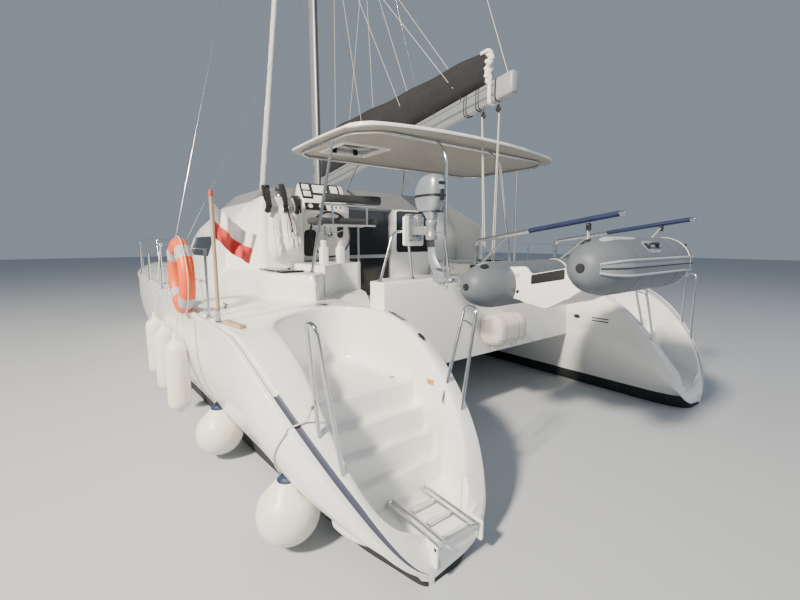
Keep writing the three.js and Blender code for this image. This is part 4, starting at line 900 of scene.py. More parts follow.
BRIDGE = {"aft": -4.2, "half": 1.7, "bottom": 0.79, "coaming": 1.775, "floor": 1.49, "sole": 1.15}
HELM_TOP = 1.88


def tube_work(name, runs, stands_for, bend=0.09, feet=()):
    """Bent and welded tube: runs are (corners, radius) pairs; feet are the places of round base flanges."""
    form = Form()
    for corners, radius in runs:
        form.tube(bent(corners, bend) if len(corners) > 2 else corners, radius, 16)
    for x, y, z in feet:
        form.turned([(0, 0), (0.036, 0), (0.036, 0.004), (0.022, 0.008), (0.021, 0.03), (0, 0.03)], (x, y, z), sides=20)
    return form.piece(name, STEEL, stands_for=stands_for, sharp=50)


# Stern hoops, as corners (offset from the hull's middle, y, z)
HOOPS = {
    "inner": [
        (-0.64, -5.238, 0.88),
        (-0.582, -5.238, 0.912),
        (-0.88, -5.18, 1.66),
        (-0.88, -5.31, 1.66),
        (-0.582, -5.4, 0.63),
        (-0.64, -5.4, 0.6),
    ],
    "outer": [(0.52, -5.3, 0.9), (0.585, -5.29, 1.715), (0.585, -5.41, 1.715), (0.44, -5.46, 0.69)],
}
for label, side in SIDES:
    for place, corners in HOOPS.items():
        line = [(side * (HULL_X + off), y, z) for off, y, z in corners]
        runs = [(line, 0.014)]
        if place == "inner":
            low, high, aft_high, aft_low = (Vector(line[i]) for i in (1, 2, 3, 4))
            runs.append(
                (
                    [
                        low.lerp(high, 0.1),
                        low.lerp(high, 0.86),
                        aft_low.lerp(aft_high, 0.86),
                        aft_low.lerp(aft_high, 0.4),
                    ],
                    0.009,
                )
            )
        tube_work(f"hoop_tube_{label}_{place}", runs, [f"hoop_{label}_{place}"], bend=0.06)

HARDTOP = {"half": 1.775, "aft": -4.06, "corner": -3.75, "front": -2.04, "front_corner": -2.1, "z": 3.36}
HARDTOP_CAMBER, HARDTOP_HALF_THICK = 0.025, 0.03


def hardtop_height(x, y):
    """Height of the hardtop's middle layer: cambered across, rising slightly aft."""
    across = x / HARDTOP["half"]
    return HARDTOP["z"] + HARDTOP_CAMBER * (1 - across * across) - 0.01 * ((y - HARDTOP["front"]) / 2)


def under_hardtop(x, y, z=None):
    """A point of the posts' frame: under the hardtop where no height is given."""
    return (x, y, hardtop_height(x, y) - 0.042 if z is None else z)


POSTS = (
    ((-1.916, -3.03, LOCKER_TOP), (-1.69, -3.19)),
    ((1.916, -3.03, LOCKER_TOP), (1.69, -3.19)),
    ((-0.645, -3.96, BRIDGE["coaming"]), (-0.645, -3.96, 3.18), (-0.645, -3.8)),
    ((0.62, -3.96, BRIDGE["coaming"]), (0.3, -3.96, 3.18), (0.27, -3.8)),
    ((-0.4, -1.26, 3.03), (-0.71, -2.15)),
    ((0.8, -1.26, 3.025), (0.155, -2.15)),
)
LOOP = ((1.5, -2.15), (1.69, -2.33), (1.69, -3.56), (1.42, -3.8))
ring = [*LOOP, *[(-x, y) for x, y in LOOP[::-1]]]
runs = [
    ([under_hardtop(x, y) for x, y in ring], 0.018), ([under_hardtop(-1.5, -2.15), under_hardtop(1.5, -2.15)], 0.018)
]
runs += [([under_hardtop(*c) for c in corners], 0.018) for corners in POSTS]
tube_work(
    "hardtop_posts",
    runs,
    ["hardtop_frame"],
    bend=0.12,
    feet=[corners[0] for corners in POSTS[:4]],
)

RAIL_HEIGHT, RAIL_MIDDLE = 0.62, 0.32
STANCHIONS = (-3.6, -2.4, -1.0, 0.4, 1.9, 3.3)


def rail_point(side, y, lift):
    """A point above the gunwale, 60 mm in from it."""
    outer, *_, gunwale = hull_lines(y)
    return (side * (HULL_X + outer - 0.06), y, gunwale + lift)


for label, side in SIDES:
    runs = [([rail_point(side, y, 0.0), rail_point(side, y, RAIL_HEIGHT)], 0.0125) for y in (*STANCHIONS, 4.5)]
    for lift in (RAIL_HEIGHT - 0.008, RAIL_MIDDLE):
        runs.append(([rail_point(side, y, lift) for y in (*STANCHIONS, 4.5)], 0.0035))
    *_, bow_deck = hull_lines(4.5)
    _, bow_inner, *_ = hull_lines(4.5)
    top, tip = bow_deck + RAIL_HEIGHT, 5.37
    inner = side * (HULL_X - bow_inner + 0.06)
    pulpit = [rail_point(side, 4.5, RAIL_HEIGHT), (side * (HULL_X + 0.12), tip, top + 0.02)]
    pulpit += [(side * (HULL_X - 0.06), tip, top + 0.02), (inner, 4.5, top)]
    runs += [(pulpit, 0.0135), ([(inner, 4.5, bow_deck + 0.02), (inner, 4.5, top)], 0.0135)]
    runs += [([(side * HULL_X, 5.2, hull_lines(5.2)[-1] + 0.02), (side * HULL_X, tip, top + 0.02)], 0.0135)]
    sockets = [rail_point(side, y, 0.001) for y in (*STANCHIONS, 4.5)]
    tube_work(f"guard_rail_tube_{label}", runs, [f"guard_rail_{label}"], bend=0.16, feet=sockets)

SEAT = {"y": -2.4, "left": -1.61, "right": -0.59, "low": 2.445, "high": 2.74}
runs = []
for x in (SEAT["left"] + 0.24, SEAT["right"] - 0.24):
    runs.append(([(x, SEAT["y"] + 0.07, HELM_TOP), (x, SEAT["y"] + 0.07, SEAT["low"] - 0.04)], 0.014))
    runs.append(([(x, SEAT["y"] - 0.16, SEAT["low"] - 0.05), (x, SEAT["y"] - 0.16, SEAT["high"] - 0.06)], 0.014))
    runs.append(([(x, SEAT["y"] + 0.17, SEAT["low"] - 0.04), (x, SEAT["y"] - 0.17, SEAT["low"] - 0.04)], 0.012))
for dy, z in ((0.16, SEAT["low"] - 0.04), (-0.16, SEAT["low"] - 0.04), (-0.16, SEAT["high"] - 0.07)):
    runs.append(([(SEAT["left"] + 0.1, SEAT["y"] + dy, z), (SEAT["right"] - 0.1, SEAT["y"] + dy, z)], 0.014))
tube_work(
    "helm_seat_tube",
    runs,
    ["helm_seat_frame"],
    feet=[(x, SEAT["y"] + 0.07, HELM_TOP + GAP) for x in (SEAT["left"] + 0.24, SEAT["right"] - 0.24)],
)

DAVITS = {"x": (-0.23, 1.48), "base": -4.08, "tip": -5.8, "low": 2.19, "high": 2.44, "fall": -5.48}
DINGHY = {"stern": -1.34, "transom": -0.9, "bow": 0.88, "bend": -0.09, "radius": 0.215}
AFT_TUBE, FORE_TUBE = (-6.03, 2.005), (-4.97, 1.78)
DINGHY_MIDDLE = (AFT_TUBE[0] + FORE_TUBE[0]) / 2


def heeled(y):
    """Height of the tender's tubes at a distance along the boat."""
    return mix(AFT_TUBE[1], FORE_TUBE[1], (y - AFT_TUBE[0]) / (FORE_TUBE[0] - AFT_TUBE[0]))


def davit_height(y):
    """Height of the davits' rising arms at a distance along the boat."""
    return mix(DAVITS["low"], DAVITS["high"], (DAVITS["base"] - y) / (DAVITS["base"] - DAVITS["tip"]))


for place, x in zip(("port", "starboard"), DAVITS["x"]):
    base, tip, fall = DAVITS["base"], DAVITS["tip"], DAVITS["fall"]
    form = Form()
    form.tube(bent([(x, base, 1.776), (x, base, DAVITS["low"]), (x, tip, DAVITS["high"])], 0.07), 0.024, 20)
    form.tube([(x, base, 1.86), (x, base - 0.48, davit_height(base - 0.48))], 0.014, 14)
    form.slab(oblong((x - 0.09, base - 0.09), (x + 0.09, base + 0.09)), 1.7753, 1.785, 0.03, 0.003)
    form.slab(oblong((x - 0.055, base - 0.055), (x + 0.055, base + 0.055)), 1.785, 1.9, 0.02, 0.008, look=1)
    arm = [(x, y, davit_height(y)) for y in (base - 0.75, base - 1.68)]
    form.tube(arm, 0.0262, 20, look=2)
    form.turned(
        [(0, 0), (0.0255, 0), (0.027, 0.008), (0.024, 0.016), (0, 0.016)], (x, tip - 0.012, davit_height(tip)), "Y", 18
    )
    hook = (DINGHY["bow"] - 0.17, fall, heeled(fall) + 0.1) if place == "starboard" else (x, fall, heeled(fall) - 0.25)
    head = Vector((x, fall, davit_height(fall) - 0.03))
    aim = (Vector(hook) - head).normalized()
    for shift in (-0.013, 0.013):
        form.tube([head + Vector((shift, 0, 0)), Vector(hook) + Vector((shift * 0.4, 0, 0))], 0.0042, 8, look=3)
    for at in (0.03, (Vector(hook) - head).length - 0.16):
        middle = head + aim * at
        form.turned([(0, -0.012), (0.026, -0.012), (0.032, 0), (0.026, 0.012), (0, 0.012)], middle, "Y", 18, look=1)
        form.block(middle - Vector((0.018, 0.017, 0.045)), middle + Vector((0.018, 0.017, 0.02)), look=1)
    form.piece(
        f"davit_arm_{place}",
        [STEEL, BLACK, NAVY, ROPE_WHITE],
        stands_for=[f"davit_{place}"],
        sharp=40,
    )


# Helm

POD = [(-1.36, 1.8803), (-1.36, 2.9), (-1.44, 3.06), (-1.52, 3.07), (-1.76, 2.64), (-1.68, 2.56), (-1.612, 1.8803)]
POD_X = (-1.38, -0.62)
# Displays on the pod's sloping face, as (x from, x to, down it from, down it to, covers side by side down it)
DISPLAYS = ((-1.37, -1.215, 0.02, 0.27, 2), (-1.2, -0.93, 0.02, 0.2, 1), (-0.9, -0.735, 0.02, 0.2, 1))
GAUGES = ((-1.29, 0.415), (-1.115, 0.415))


def on_pod(x, down, out):
    """A point on the pod's sloping face: x, distance down it from its top edge, distance off it."""
    return (x, -1.52 - 0.4874 * down - 0.8732 * out, 3.07 - 0.8732 * down + 0.4874 * out)


def on_pod_foot(x, z, out):
    """A point off the pod's upright aft face."""
    return (x, -1.612 - 0.1 * (z - 1.88) - out, z)


def helm_pod():
    """Helm console with its displays, gauges, switches, pockets and throttle."""
    form = Form()
    form.slab(POD, *POD_X, corner=0.07, edge=0.04, axis="X", under=0.04)
    for x0, x1, low, high, covers in DISPLAYS:
        start = len(form.points)
        form.slab(oblong((x0 - 0.008, low - 0.008), (x1 + 0.008, high + 0.008)), -0.004, 0.016, 0.02, 0.006, look=1)
        tall = (high - low - 0.012) / covers
        for i in range(covers):
            top = low + 0.012 + i * tall
            form.slab(
                oblong((x0 + 0.018, top + 0.006), (x1 - 0.018, top + tall - 0.018)), 0.014, 0.02, 0.01, 0.004, look=0
            )
        form.moved(on_pod, start)
    start = len(form.points)
    form.slab(oblong((-1.375, 0.355), (-1.03, 0.476)), -0.004, 0.008, 0.012, 0.003, look=1)
    for x, down in GAUGES:
        form.turned([(0, 0.009), (0.034, 0.009), (0.036, 0.014), (0.043, 0.014), (0.044, 0.008)], (x, down, 0), look=2)
        form.turned([(0, 0.0095), (0.034, 0.0095)], (x, down, 0), look=3)
        form.plate([(x - 0.002, down), (x + 0.002, down), (x + 0.014, down - 0.024)], 0.0097, 0.011, look=4)
    for x in (-0.94, -0.86, -0.78):
        form.turned([(0, 0), (0.014, 0), (0.014, 0.01), (0.009, 0.014), (0, 0.014)], (x, 0.42, 0), sides=16, look=1)
    form.moved(on_pod, start)
    start = len(form.points)
    form.slab(oblong((-1.37, 1.96), (-1.17, 2.36)), -0.004, 0.007, 0.07, 0.004, look=1)
    form.slab(oblong((-0.81, 2.24), (-0.705, 2.6)), -0.004, 0.022, 0.05, 0.01, look=1)
    form.slab(oblong((-0.775, 2.4), (-0.74, 2.55)), 0.02, 0.075, 0.015, 0.012, look=1)
    form.moved(on_pod_foot, start)
    return form.piece(
        "helm_pod", [GELCOAT, BLACK, STEEL, FLAG_WHITE, ORANGE], stands_for=["helm_console"], sharp=42
    )


BLOCK = {"left": -2.11, "right": -1.5, "aft": -1.96, "top": 2.79, "foot": 1.8153}
BLOCK_OUTER = ((1.8153, -2.48), (2.3, -2.4), (2.65, -2.13), (2.79, -2.0))
WINCHES = ((-1.98, -1.78), (-1.72, -1.62))
WINCH_FORM = ((0, 0), (0.062, 0), (0.062, 0.02), (0.056, 0.026), (0.044, 0.04), (0.042, 0.075), (0.046, 0.108))
WINCH_TOP = ((0.046, 0.108), (0.06, 0.116), (0.06, 0.128), (0.052, 0.134), (0.058, 0.142), (0.055, 0.162), (0, 0.168))


def winch_block():
    """Fairing beside the helm with two winches on top, and the web that ties it to the pod."""
    form = Form()
    left, right, aft, top = (BLOCK[k] for k in ("left", "right", "aft", "top"))
    front = LOCKER_FRONT
    levels = [(z, [(left, aft), (right, aft), (right, front), (x, front)]) for z, x in BLOCK_OUTER]
    form.stack(levels, corner=0.07, edge=0.035, steps=5)
    form.slab(oblong((right - 0.015, -1.43), (-1.375, -1.36)), HELM_TOP + GAP, 2.56, corner=0.012, edge=0.012)
    for x, y in WINCHES:
        form.turned(WINCH_FORM, (x, y, top - 0.001), sides=36, look=1)
        form.turned(WINCH_TOP, (x, y, top - 0.001), sides=36, look=2)
        form.turned([(0.015, 0.166), (0.013, 0.169), (0, 0.1695)], (x, y, top - 0.001), look=1)
    return form.piece("winch_block", [GELCOAT, STEEL, BLACK], stands_for=["helm_console"], sharp=42)


BAG_BACK = BLOCK["aft"] - 0.0006
BAG_LEFT = ((0, -2.03), (0.3, -2.015), (0.75, -2.035), (1, -1.99))
BAG_RIGHT = ((0, -1.575), (0.4, -1.6), (0.75, -1.56), (1, -1.61))
BAG_DEPTH = ((0, 0.0), (0.12, 0.045), (0.5, 0.1), (0.8, 0.165), (0.93, 0.125), (1, 0.0))
BAG_FOOT = ((0, 1.95), (0.15, 1.915), (0.28, 1.93), (0.37, 2.05), (0.5, 2.01), (0.75, 1.985), (1, 2.03))
BAG_TIES = ((0.02, -2.03, 2.93, 2.56), (0.52, -1.8, 2.98, 2.58), (0.95, -1.62, 2.82, 2.58))


def rope_bag():
    """Canvas bag for the tails of the lines: gathered at its ties, pleated below them, sagging in two lobes."""
    form = Form()
    wide, high = 110, 44
    rows, back = [], []
    for i in range(high + 1):
        v = i / high
        left, right, depth = (curve_through(rows_of, v) for rows_of in (BAG_LEFT, BAG_RIGHT, BAG_DEPTH))
        row = []
        for j in range(wide + 1):
            u = j / wide
            near = min(abs(u - tie[0]) for tie in BAG_TIES)
            top = 2.7 - 0.05 * min(1.0, near / 0.22) ** 0.7
            z = mix(top, curve_through(BAG_FOOT, u), v)
            lobes = 1 - 0.6 * math.exp(-(((u - 0.36) / 0.07) ** 2)) * min(1, v * 1.6)
            pleats = 0
            for at, *_ in BAG_TIES:
                spread = 0.05 + 0.75 * v
                falloff = math.exp(-(((u - at) / (0.16 + 0.3 * v)) ** 2))
                pleats += falloff * math.cos(26 * (u - at) / spread + 5 * v) * 0.55
                pleats += falloff * math.cos(61 * (u - at) / spread + 2.0) * 0.25
            swell = math.sin(math.pi * u) ** 0.45 if 0 < u < 1 else 0
            fade = min(1, v * 9) * min(1, (1 - v) * 8) * min(1, u * 12) * min(1, (1 - u) * 12)
            out = depth * lobes * swell + fade * (0.006 + 0.011 * (1 + pleats)) * min(1, 0.4 + v)
            row.append((mix(left, right, u), BAG_BACK - max(0.0, out), z))
        rows.append(row)
        back.append([(x, BAG_BACK, z) for x, _, z in row])
    form.grid(rows)
    form.grid(back)
    chance = random.Random(4)
    for _, x, top, foot in BAG_TIES:
        for strand in range(6):
            shift = (strand - 2.5) * 0.014 + chance.uniform(-0.006, 0.006)
            lean = chance.uniform(-0.02, 0.02)
            end = foot + chance.uniform(-0.02, 0.07)
            line = [
                (x + shift * 0.7, -1.9 + chance.uniform(-0.02, 0.02), top - chance.uniform(0, 0.04)),
                (x + shift * 1.2, -1.955, mix(top, 2.8, 0.6)),
                (x + shift * 1.1 + lean, -2.0, 2.78),
                (x + shift * 0.6, -2.035, mix(2.75, end, 0.45)),
                (x + shift + lean, -2.03, end),
            ]
            form.tube(bent(line, 0.06, 5), 0.012 + chance.uniform(0, 0.005), 10, look=1)
        form.tube(
            [(x - 0.035, -2.03, foot + 0.1), (x, -2.058, foot + 0.095), (x + 0.035, -2.03, foot + 0.1)],
            0.012,
            10,
            look=1,
        )
    strap = [(-1.79, -2.06, 2.6), (-1.765, -2.085, 2.5), (-1.755, -2.11, 2.38), (-1.75, -2.115, 2.31)]
    form.tube(bent(strap, 0.05), 0.011, 10, look=1)
    return form.piece("rope_bag_canvas", [BAG, COVER_CLOTH], stands_for=["rope_bag"], sharp=70)


WHEEL, WHEEL_RADIUS, WHEEL_SHAFT = (-1.0, -1.8, 2.29), 0.34, -1.6546


def steering_wheel():
    """Five-spoke wheel whose black rim stands for one sewn in leather."""
    form = Form()
    x, y, z = WHEEL
    rim = [(x + WHEEL_RADIUS * math.cos(t), y, z + WHEEL_RADIUS * math.sin(t)) for t in full_turn(72)]
    form.tube(rim, 0.0165, 14, loop=True)
    for i in range(5):
        turn = math.pi / 2 + 2 * math.pi * i / 5
        across = Vector((math.cos(turn), 0, math.sin(turn)))
        form.tube([Vector(WHEEL) + across * 0.03, Vector(WHEEL) + across * 0.326], [0.011, 0.008], 12, look=1)
    form.turned(
        [(0, -0.034), (0.03, -0.03), (0.045, -0.012), (0.046, 0.02), (0.03, 0.032), (0.012, 0.034)],
        WHEEL,
        "Y",
        32,
        look=1,
    )
    form.tube([(x, y + 0.03, z), (x, WHEEL_SHAFT, z)], 0.012, 16, look=1)
    form.turned([(0, -0.037), (0.018, -0.036), (0.018, -0.03)], WHEEL, "Y", 24, look=0)
    return form.piece(
        "steering_wheel_rim", [BLACK, STEEL], body="wheel_body", stands_for=["steering_wheel"], sharp=40
    )


helm_pod()
winch_block()
rope_bag()
steering_wheel()


# Padded pieces


def swollen(made, cap, voxel=0.008, pressure=4.0):
    """Remeshes a closed form and lets its cover swell under pressure, each point by no more than the cap."""
    scene = bpy.context.scene
    remesh = made.modifiers.new("remesh", "REMESH")
    remesh.mode, remesh.voxel_size = "VOXEL", voxel
    bake(made)
    first = [v.co.copy() for v in made.data.vertices]
    cloth = made.modifiers.new("cloth", "CLOTH")
    cloth.settings.use_pressure = True
    cloth.settings.uniform_pressure_force = pressure
    cloth.settings.effector_weights.gravity = 0
    cloth.settings.quality = 5
    cloth.collision_settings.use_collision = False
    for number in range(1, 21):
        scene.frame_set(number)
        bpy.context.view_layer.update()
    bake(made)
    scene.frame_set(1)
    for v, start in zip(made.data.vertices, first):
        moved = v.co - start
        if moved.length > cap:
            v.co = start + moved.normalized() * cap
    smooth = made.modifiers.new("rounding", "SUBSURF")
    smooth.levels = smooth.render_levels = 1
    bake(made)
    made.data.polygons.foreach_set("use_smooth", [True] * len(made.data.polygons))


def bake(made):
    """Puts the object's modifiers into its mesh."""
    seen = made.evaluated_get(bpy.context.evaluated_depsgraph_get())
    mesh = bpy.data.meshes.new_from_object(seen)
    made.modifiers.clear()
    made.data = mesh


def welt(name, made, centre, axis, places, radius, material, body="hull"):
    """Piping sewn round a padded piece: loops on its surface in planes across an axis."""
    form = Form()
    tree = BVHTree.FromObject(made, bpy.context.evaluated_depsgraph_get())
    for place in places:
        loop = []
        for turn in full_turn(72):
            across = {"X": (0, math.cos(turn), math.sin(turn)), "Z": (math.cos(turn), math.sin(turn), 0)}[axis]
            start = Vector((place, centre[1], centre[2]) if axis == "X" else (centre[0], centre[1], place))
            hit = tree.ray_cast(start, Vector(across))[0]
            if hit:
                loop.append(hit)
        if len(loop) > 60:
            form.tube(loop, radius, 8, loop=True)
    if form.points:
        form.piece(name, material, body=body)


def pad(name, low, high, corner, edge, cap, node_name):
    """A foam pad in sewn vinyl, its long sides crowned."""
    form = Form()
    x0, y0, z0 = low
    x1, y1, z1 = high
    form.slab(oblong((y0, z0), (y1, z1)), x0, x1, corner, edge, axis="X", under=edge, steps=6)
    made = form.piece(name, PADDING, stands_for=[node_name], sharp=180)
    swollen(made, cap)
    middle = [(a + b) / 2 for a, b in zip(low, high)]
    welt(f"{name}_piping", made, middle, "X", (x0 + 0.035, x1 - 0.035), 0.0026, BLACK)
    return made


pad("helm_seat_cushion", (-1.603, -2.536, 2.424), (-0.597, -2.224, 2.498), 0.034, 0.028, 0.008, "helm_seat_pad")
pad("helm_back_bolster", (-1.513, -2.607, 2.694), (-0.597, -2.513, 2.817), 0.05, 0.04, 0.008, "helm_back_pad")


# Outboard motor and the rail that carries it

AFT_RAIL = {"y": -4.06, "feet": (-1.65, -1.22, -0.66), "heads": (-1.48, -1.29, -0.75), "top": 2.29}
MOTOR = {"x": -1.237, "y": -4.38, "gear": -4.5, "shaft": 1.81}
# Cowl, as (z, half width, reach forward and aft of the steering axis) rows
COWL = (
    (2.482, 0.07, 0.13, 0.07),
    (2.49, 0.084, 0.155, 0.09),
    (2.54, 0.1, 0.184, 0.12),
    (2.6, 0.108, 0.195, 0.138),
    (2.622, 0.109, 0.196, 0.14),
)
COWL_TOP = (
    (2.646, 0.11, 0.196, 0.142),
    (2.7, 0.109, 0.19, 0.145),
    (2.75, 0.104, 0.168, 0.143),
    (2.79, 0.095, 0.138, 0.134),
    (2.818, 0.082, 0.102, 0.118),
    (2.836, 0.062, 0.066, 0.096),
    (2.845, 0.034, 0.03, 0.066),
)
BAND = ((2.622, 0.0), (2.6235, 0.004), (2.6445, 0.004), (2.646, 0.0))
FIN = ((0, 0), (0.02, 0.36), (0.08, 0.7), (0.18, 0.93), (0.35, 1), (0.65, 0.7), (1, 0.05))


def squared(turn, power):
    """Cosine and sine of a turn, pushed out towards the corners of a square by a power below 1."""
    return [math.copysign(abs(f(turn)) ** power, f(turn)) for f in (math.cos, math.sin)]


def super_oval(low, high, power=3.0, count=44):
    """A closed outline between two corners, squarer than an ellipse where the power is above 2."""
    middle = [(a + b) / 2 for a, b in zip(low, high)]
    half = [(b - a) / 2 for a, b in zip(low, high)]
    made = []
    for turn in full_turn(count):
        reach = squared(turn, 2 / power)
        made.append((middle[0] + half[0] * reach[0], middle[1] + half[1] * reach[1]))
    return made


def fin_ring(x, nose, chord, half, z):
    """A level section of a fin, from its leading edge aft."""
    shares = [s**1.6 for s in (i / 11 for i in range(12))]
    right = [(x + half * curve_through(FIN, s), nose - s * chord, z) for s in shares]
    left = [(x - half * curve_through(FIN, s), nose - s * chord, z) for s in shares]
    return right + left[:0:-1]


def screw_blades(form, centre, hub, radius, count, chord, thick, lean, look=0):
    """Propeller blades about an axis along Y, broad and twisted, as closed skins."""
    for turn in full_turn(count):
        rings = []
        for share in (0, 0.2, 0.4, 0.6, 0.78, 0.9, 0.97, 1):
            reach = mix(hub * 0.8, radius, share)
            wide = chord * (0.55 + 0.9 * share) * math.sqrt(max(0.02, 1 - share**3.2))
            pitch = mix(lean[0], lean[1], share)
            ring = []
            for t in full_turn(16):
                a, b = math.cos(t) * wide / 2, math.sin(t) * thick * (1.1 - 0.8 * share)
                side = a * math.cos(pitch) - b * math.sin(pitch)
                along = a * math.sin(pitch) + b * math.cos(pitch)
                ring.append(
                    (
                        centre[0] + reach * math.cos(turn) - side * math.sin(turn),
                        centre[1] + along,
                        centre[2] + reach * math.sin(turn) + side * math.cos(turn),
                    )
                )
            rings.append(ring)
        form.closed(rings, look)


def aft_rail():
    """Welded rail with the motor's white board, clamp, swivel bracket and sleeve."""
    y, feet, heads, top = (AFT_RAIL[k] for k in ("y", "feet", "heads", "top"))
    base = BRIDGE["coaming"]
    form = Form()
    hoop = [(feet[0], y, base), (heads[0], y, top), (heads[2], y, top), (feet[2], y, base)]
    form.tube(bent(hoop, 0.09), 0.014, 16).tube([(feet[1], y, base), (heads[1], y, top)], 0.014, 16)
    for x in feet:
        form.turned([(0, 0), (0.036, 0), (0.036, 0.004), (0.022, 0.008), (0.021, 0.03)], (x, y, base + GAP), sides=20)
    x = MOTOR["x"]
    form.slab(
        oblong((x - 0.13, 2.14), (x + 0.13, 2.45)), y - 0.05, y - 0.012, 0.025, 0.006, axis="Y", look=1, under=0.006
    )
    for side in (-1, 1):
        jaw = oblong((x + side * 0.062 - 0.028, 2.19), (x + side * 0.062 + 0.028, 2.455))
        form.slab(jaw, y - 0.075, y - 0.05, 0.02, 0.006, axis="Y", look=2)
        hook = [
            (y - 0.075, 2.4545),
            (y - 0.008, 2.4545),
            (y - 0.008, 2.3),
            (y + 0.004, 2.3),
            (y + 0.006, 2.47),
            (y - 0.075, 2.47),
        ]
        form.slab(hook, x + side * 0.062 - 0.026, x + side * 0.062 + 0.026, 0.01, 0.003, axis="X", look=2, under=0.003)
        for z in (2.24, 2.4):
            form.turned([(0, 0), (0.009, 0), (0.008, 0.008), (0, 0.009)], (x + side * 0.062, y - 0.083, z), "Y", 12)
        form.tube([(x + side * 0.062, y - 0.01, 2.34), (x + side * 0.062, y + 0.05, 2.34)], 0.008, 12)
        form.tube([(x + side * 0.062 - 0.03, y + 0.05, 2.33), (x + side * 0.062 + 0.03, y + 0.05, 2.35)], 0.006, 12)
    form.slab(oblong((x - 0.085, 2.2), (x + 0.085, 2.235)), y - 0.088, y - 0.06, 0.012, 0.005, axis="Y", look=2)
    form.slab(
        oblong((x - 0.04, MOTOR["y"] + 0.045), (x + 0.04, y - 0.065)), 2.25, 2.34, 0.02, 0.012, look=2, under=0.012
    )
    sleeve = [(0.0289, 2.2), (0.05, 2.2), (0.058, 2.212), (0.058, 2.25), (0.05, 2.262), (0.05, 2.338), (0.058, 2.35)]
    sleeve += [(0.058, 2.388), (0.05, 2.4), (0.0289, 2.4), (0.0289, 2.2)]
    form.turned(sleeve, (x, MOTOR["y"], 0), sides=32, look=2)
    form.piece("aft_rail_tube", [STEEL, GELCOAT, ALLOY], stands_for=["aft_rail"], sharp=44)


def outboard():
    """Small outboard motor: painted cowl with a rubber seam, tucked-in tray, stem, leg, plate and gearcase."""
    x, y, gear, low = (MOTOR[k] for k in ("x", "y", "gear", "shaft"))
    form = Form()

    def cowl(rows, grow=0.0):
        """Level rings of the cowl through its rows."""
        return [
            [(a, b, z) for a, b in super_oval((x - w - grow, y - aft - grow), (x + w + grow, y + front + grow), 2.9)]
            for z, w, front, aft in rows
        ]

    form.closed(cowl(COWL))
    form.closed(cowl(COWL_TOP))
    level = COWL[-1]
    form.grid([cowl([(z, *level[1:])], grow)[0] for z, grow in BAND], 1, round_columns=True)
    form.slab(oblong((x - 0.017, 2.585), (x + 0.017, 2.69)), y - 0.163, y - 0.13, 0.008, 0.005, axis="Y", look=1)
    form.slab(oblong((x - 0.04, 2.735), (x + 0.04, 2.765)), y - 0.151, y - 0.12, 0.012, 0.004, axis="Y", look=1)
    form.slab(oblong((x - 0.045, y - 0.1), (x + 0.045, y + 0.17)), 2.474, 2.492, 0.03, 0.006, look=1)
    neck = ((2.404, 0.044, 0.046, 0.05), (2.43, 0.05, 0.06, 0.056), (2.48, 0.062, 0.1, 0.068))
    form.closed(cowl(neck))
    form.tube([(x, y, 2.1), (x, y, 2.48)], 0.028, 28, look=2)
    legs = (
        (2.185, 0.04, 0.085, 0.03), (2.1, 0.036, 0.09, 0.029), (2.03, 0.034, 0.1, 0.028), (1.97, 0.02, 0.135, 0.029)
    )
    legs += ((1.93, -0.005, 0.145, 0.029), (1.87, -0.045, 0.14, 0.027), (1.805, -0.07, 0.14, 0.026))
    form.closed([fin_ring(x, y + nose, chord, half, z) for z, nose, chord, half in legs])
    cuff = ((2.192, 0.05, 0.1, 0.036), (2.13, 0.048, 0.1, 0.036))
    form.closed([fin_ring(x, y + nose, chord, half, z) for z, nose, chord, half in cuff], 1)
    torpedo = [
        (0, -0.13), (0.026, -0.128), (0.035, -0.09), (0.0375, -0.04), (0.036, 0.03), (0.027, 0.065), (0.012, 0.085)
    ]
    form.turned([*torpedo, (0, 0.09)], (x, gear, low), "Y", 32)
    form.tube([(x, gear - 0.165, low), (x, gear - 0.12, low)], 0.008, 14, look=2)
    # Anti-ventilation plate, as (z, half width) rows
    plate = ((1.924, 0.056), (1.927, 0.06), (1.933, 0.06), (1.936, 0.056))
    form.closed([[(*p, z) for p in super_oval((x - w, gear - 0.19), (x + w, gear + 0.04), 2.6)] for z, w in plate])
    skeg = [(gear - 0.1, 1.785), (gear + 0.04, 1.785), (gear - 0.01, 1.748), (gear - 0.075, 1.738)]
    form.slab(skeg, x - 0.005, x + 0.005, 0.01, 0.002, axis="X", under=0.002)
    form.piece(
        "outboard_cowl_and_leg",
        [PAINT, BLACK, ALLOY],
        body="motor_body",
        stands_for=["outboard_motor"],
        sharp=36,
    )
    form = Form()
    hub = [
        (0, -0.19),
        (0.014, -0.189),
        (0.024, -0.176),
        (0.026, -0.15),
        (0.026, -0.134),
        (0.0095, -0.133),
        (0.0095, -0.16),
        (0, -0.16),
    ]
    form.turned(hub, (x, gear, low), "Y", 28)
    screw_blades(form, (x, gear - 0.156, low), 0.026, 0.095, 3, 0.058, 0.0032, (0.95, 0.5))
    form.piece(
        "outboard_screw",
        ALLOY,
        body="motor_propeller_body",
        stands_for=["outboard_propeller"],
        sharp=40,
    )


aft_rail()
outboard()

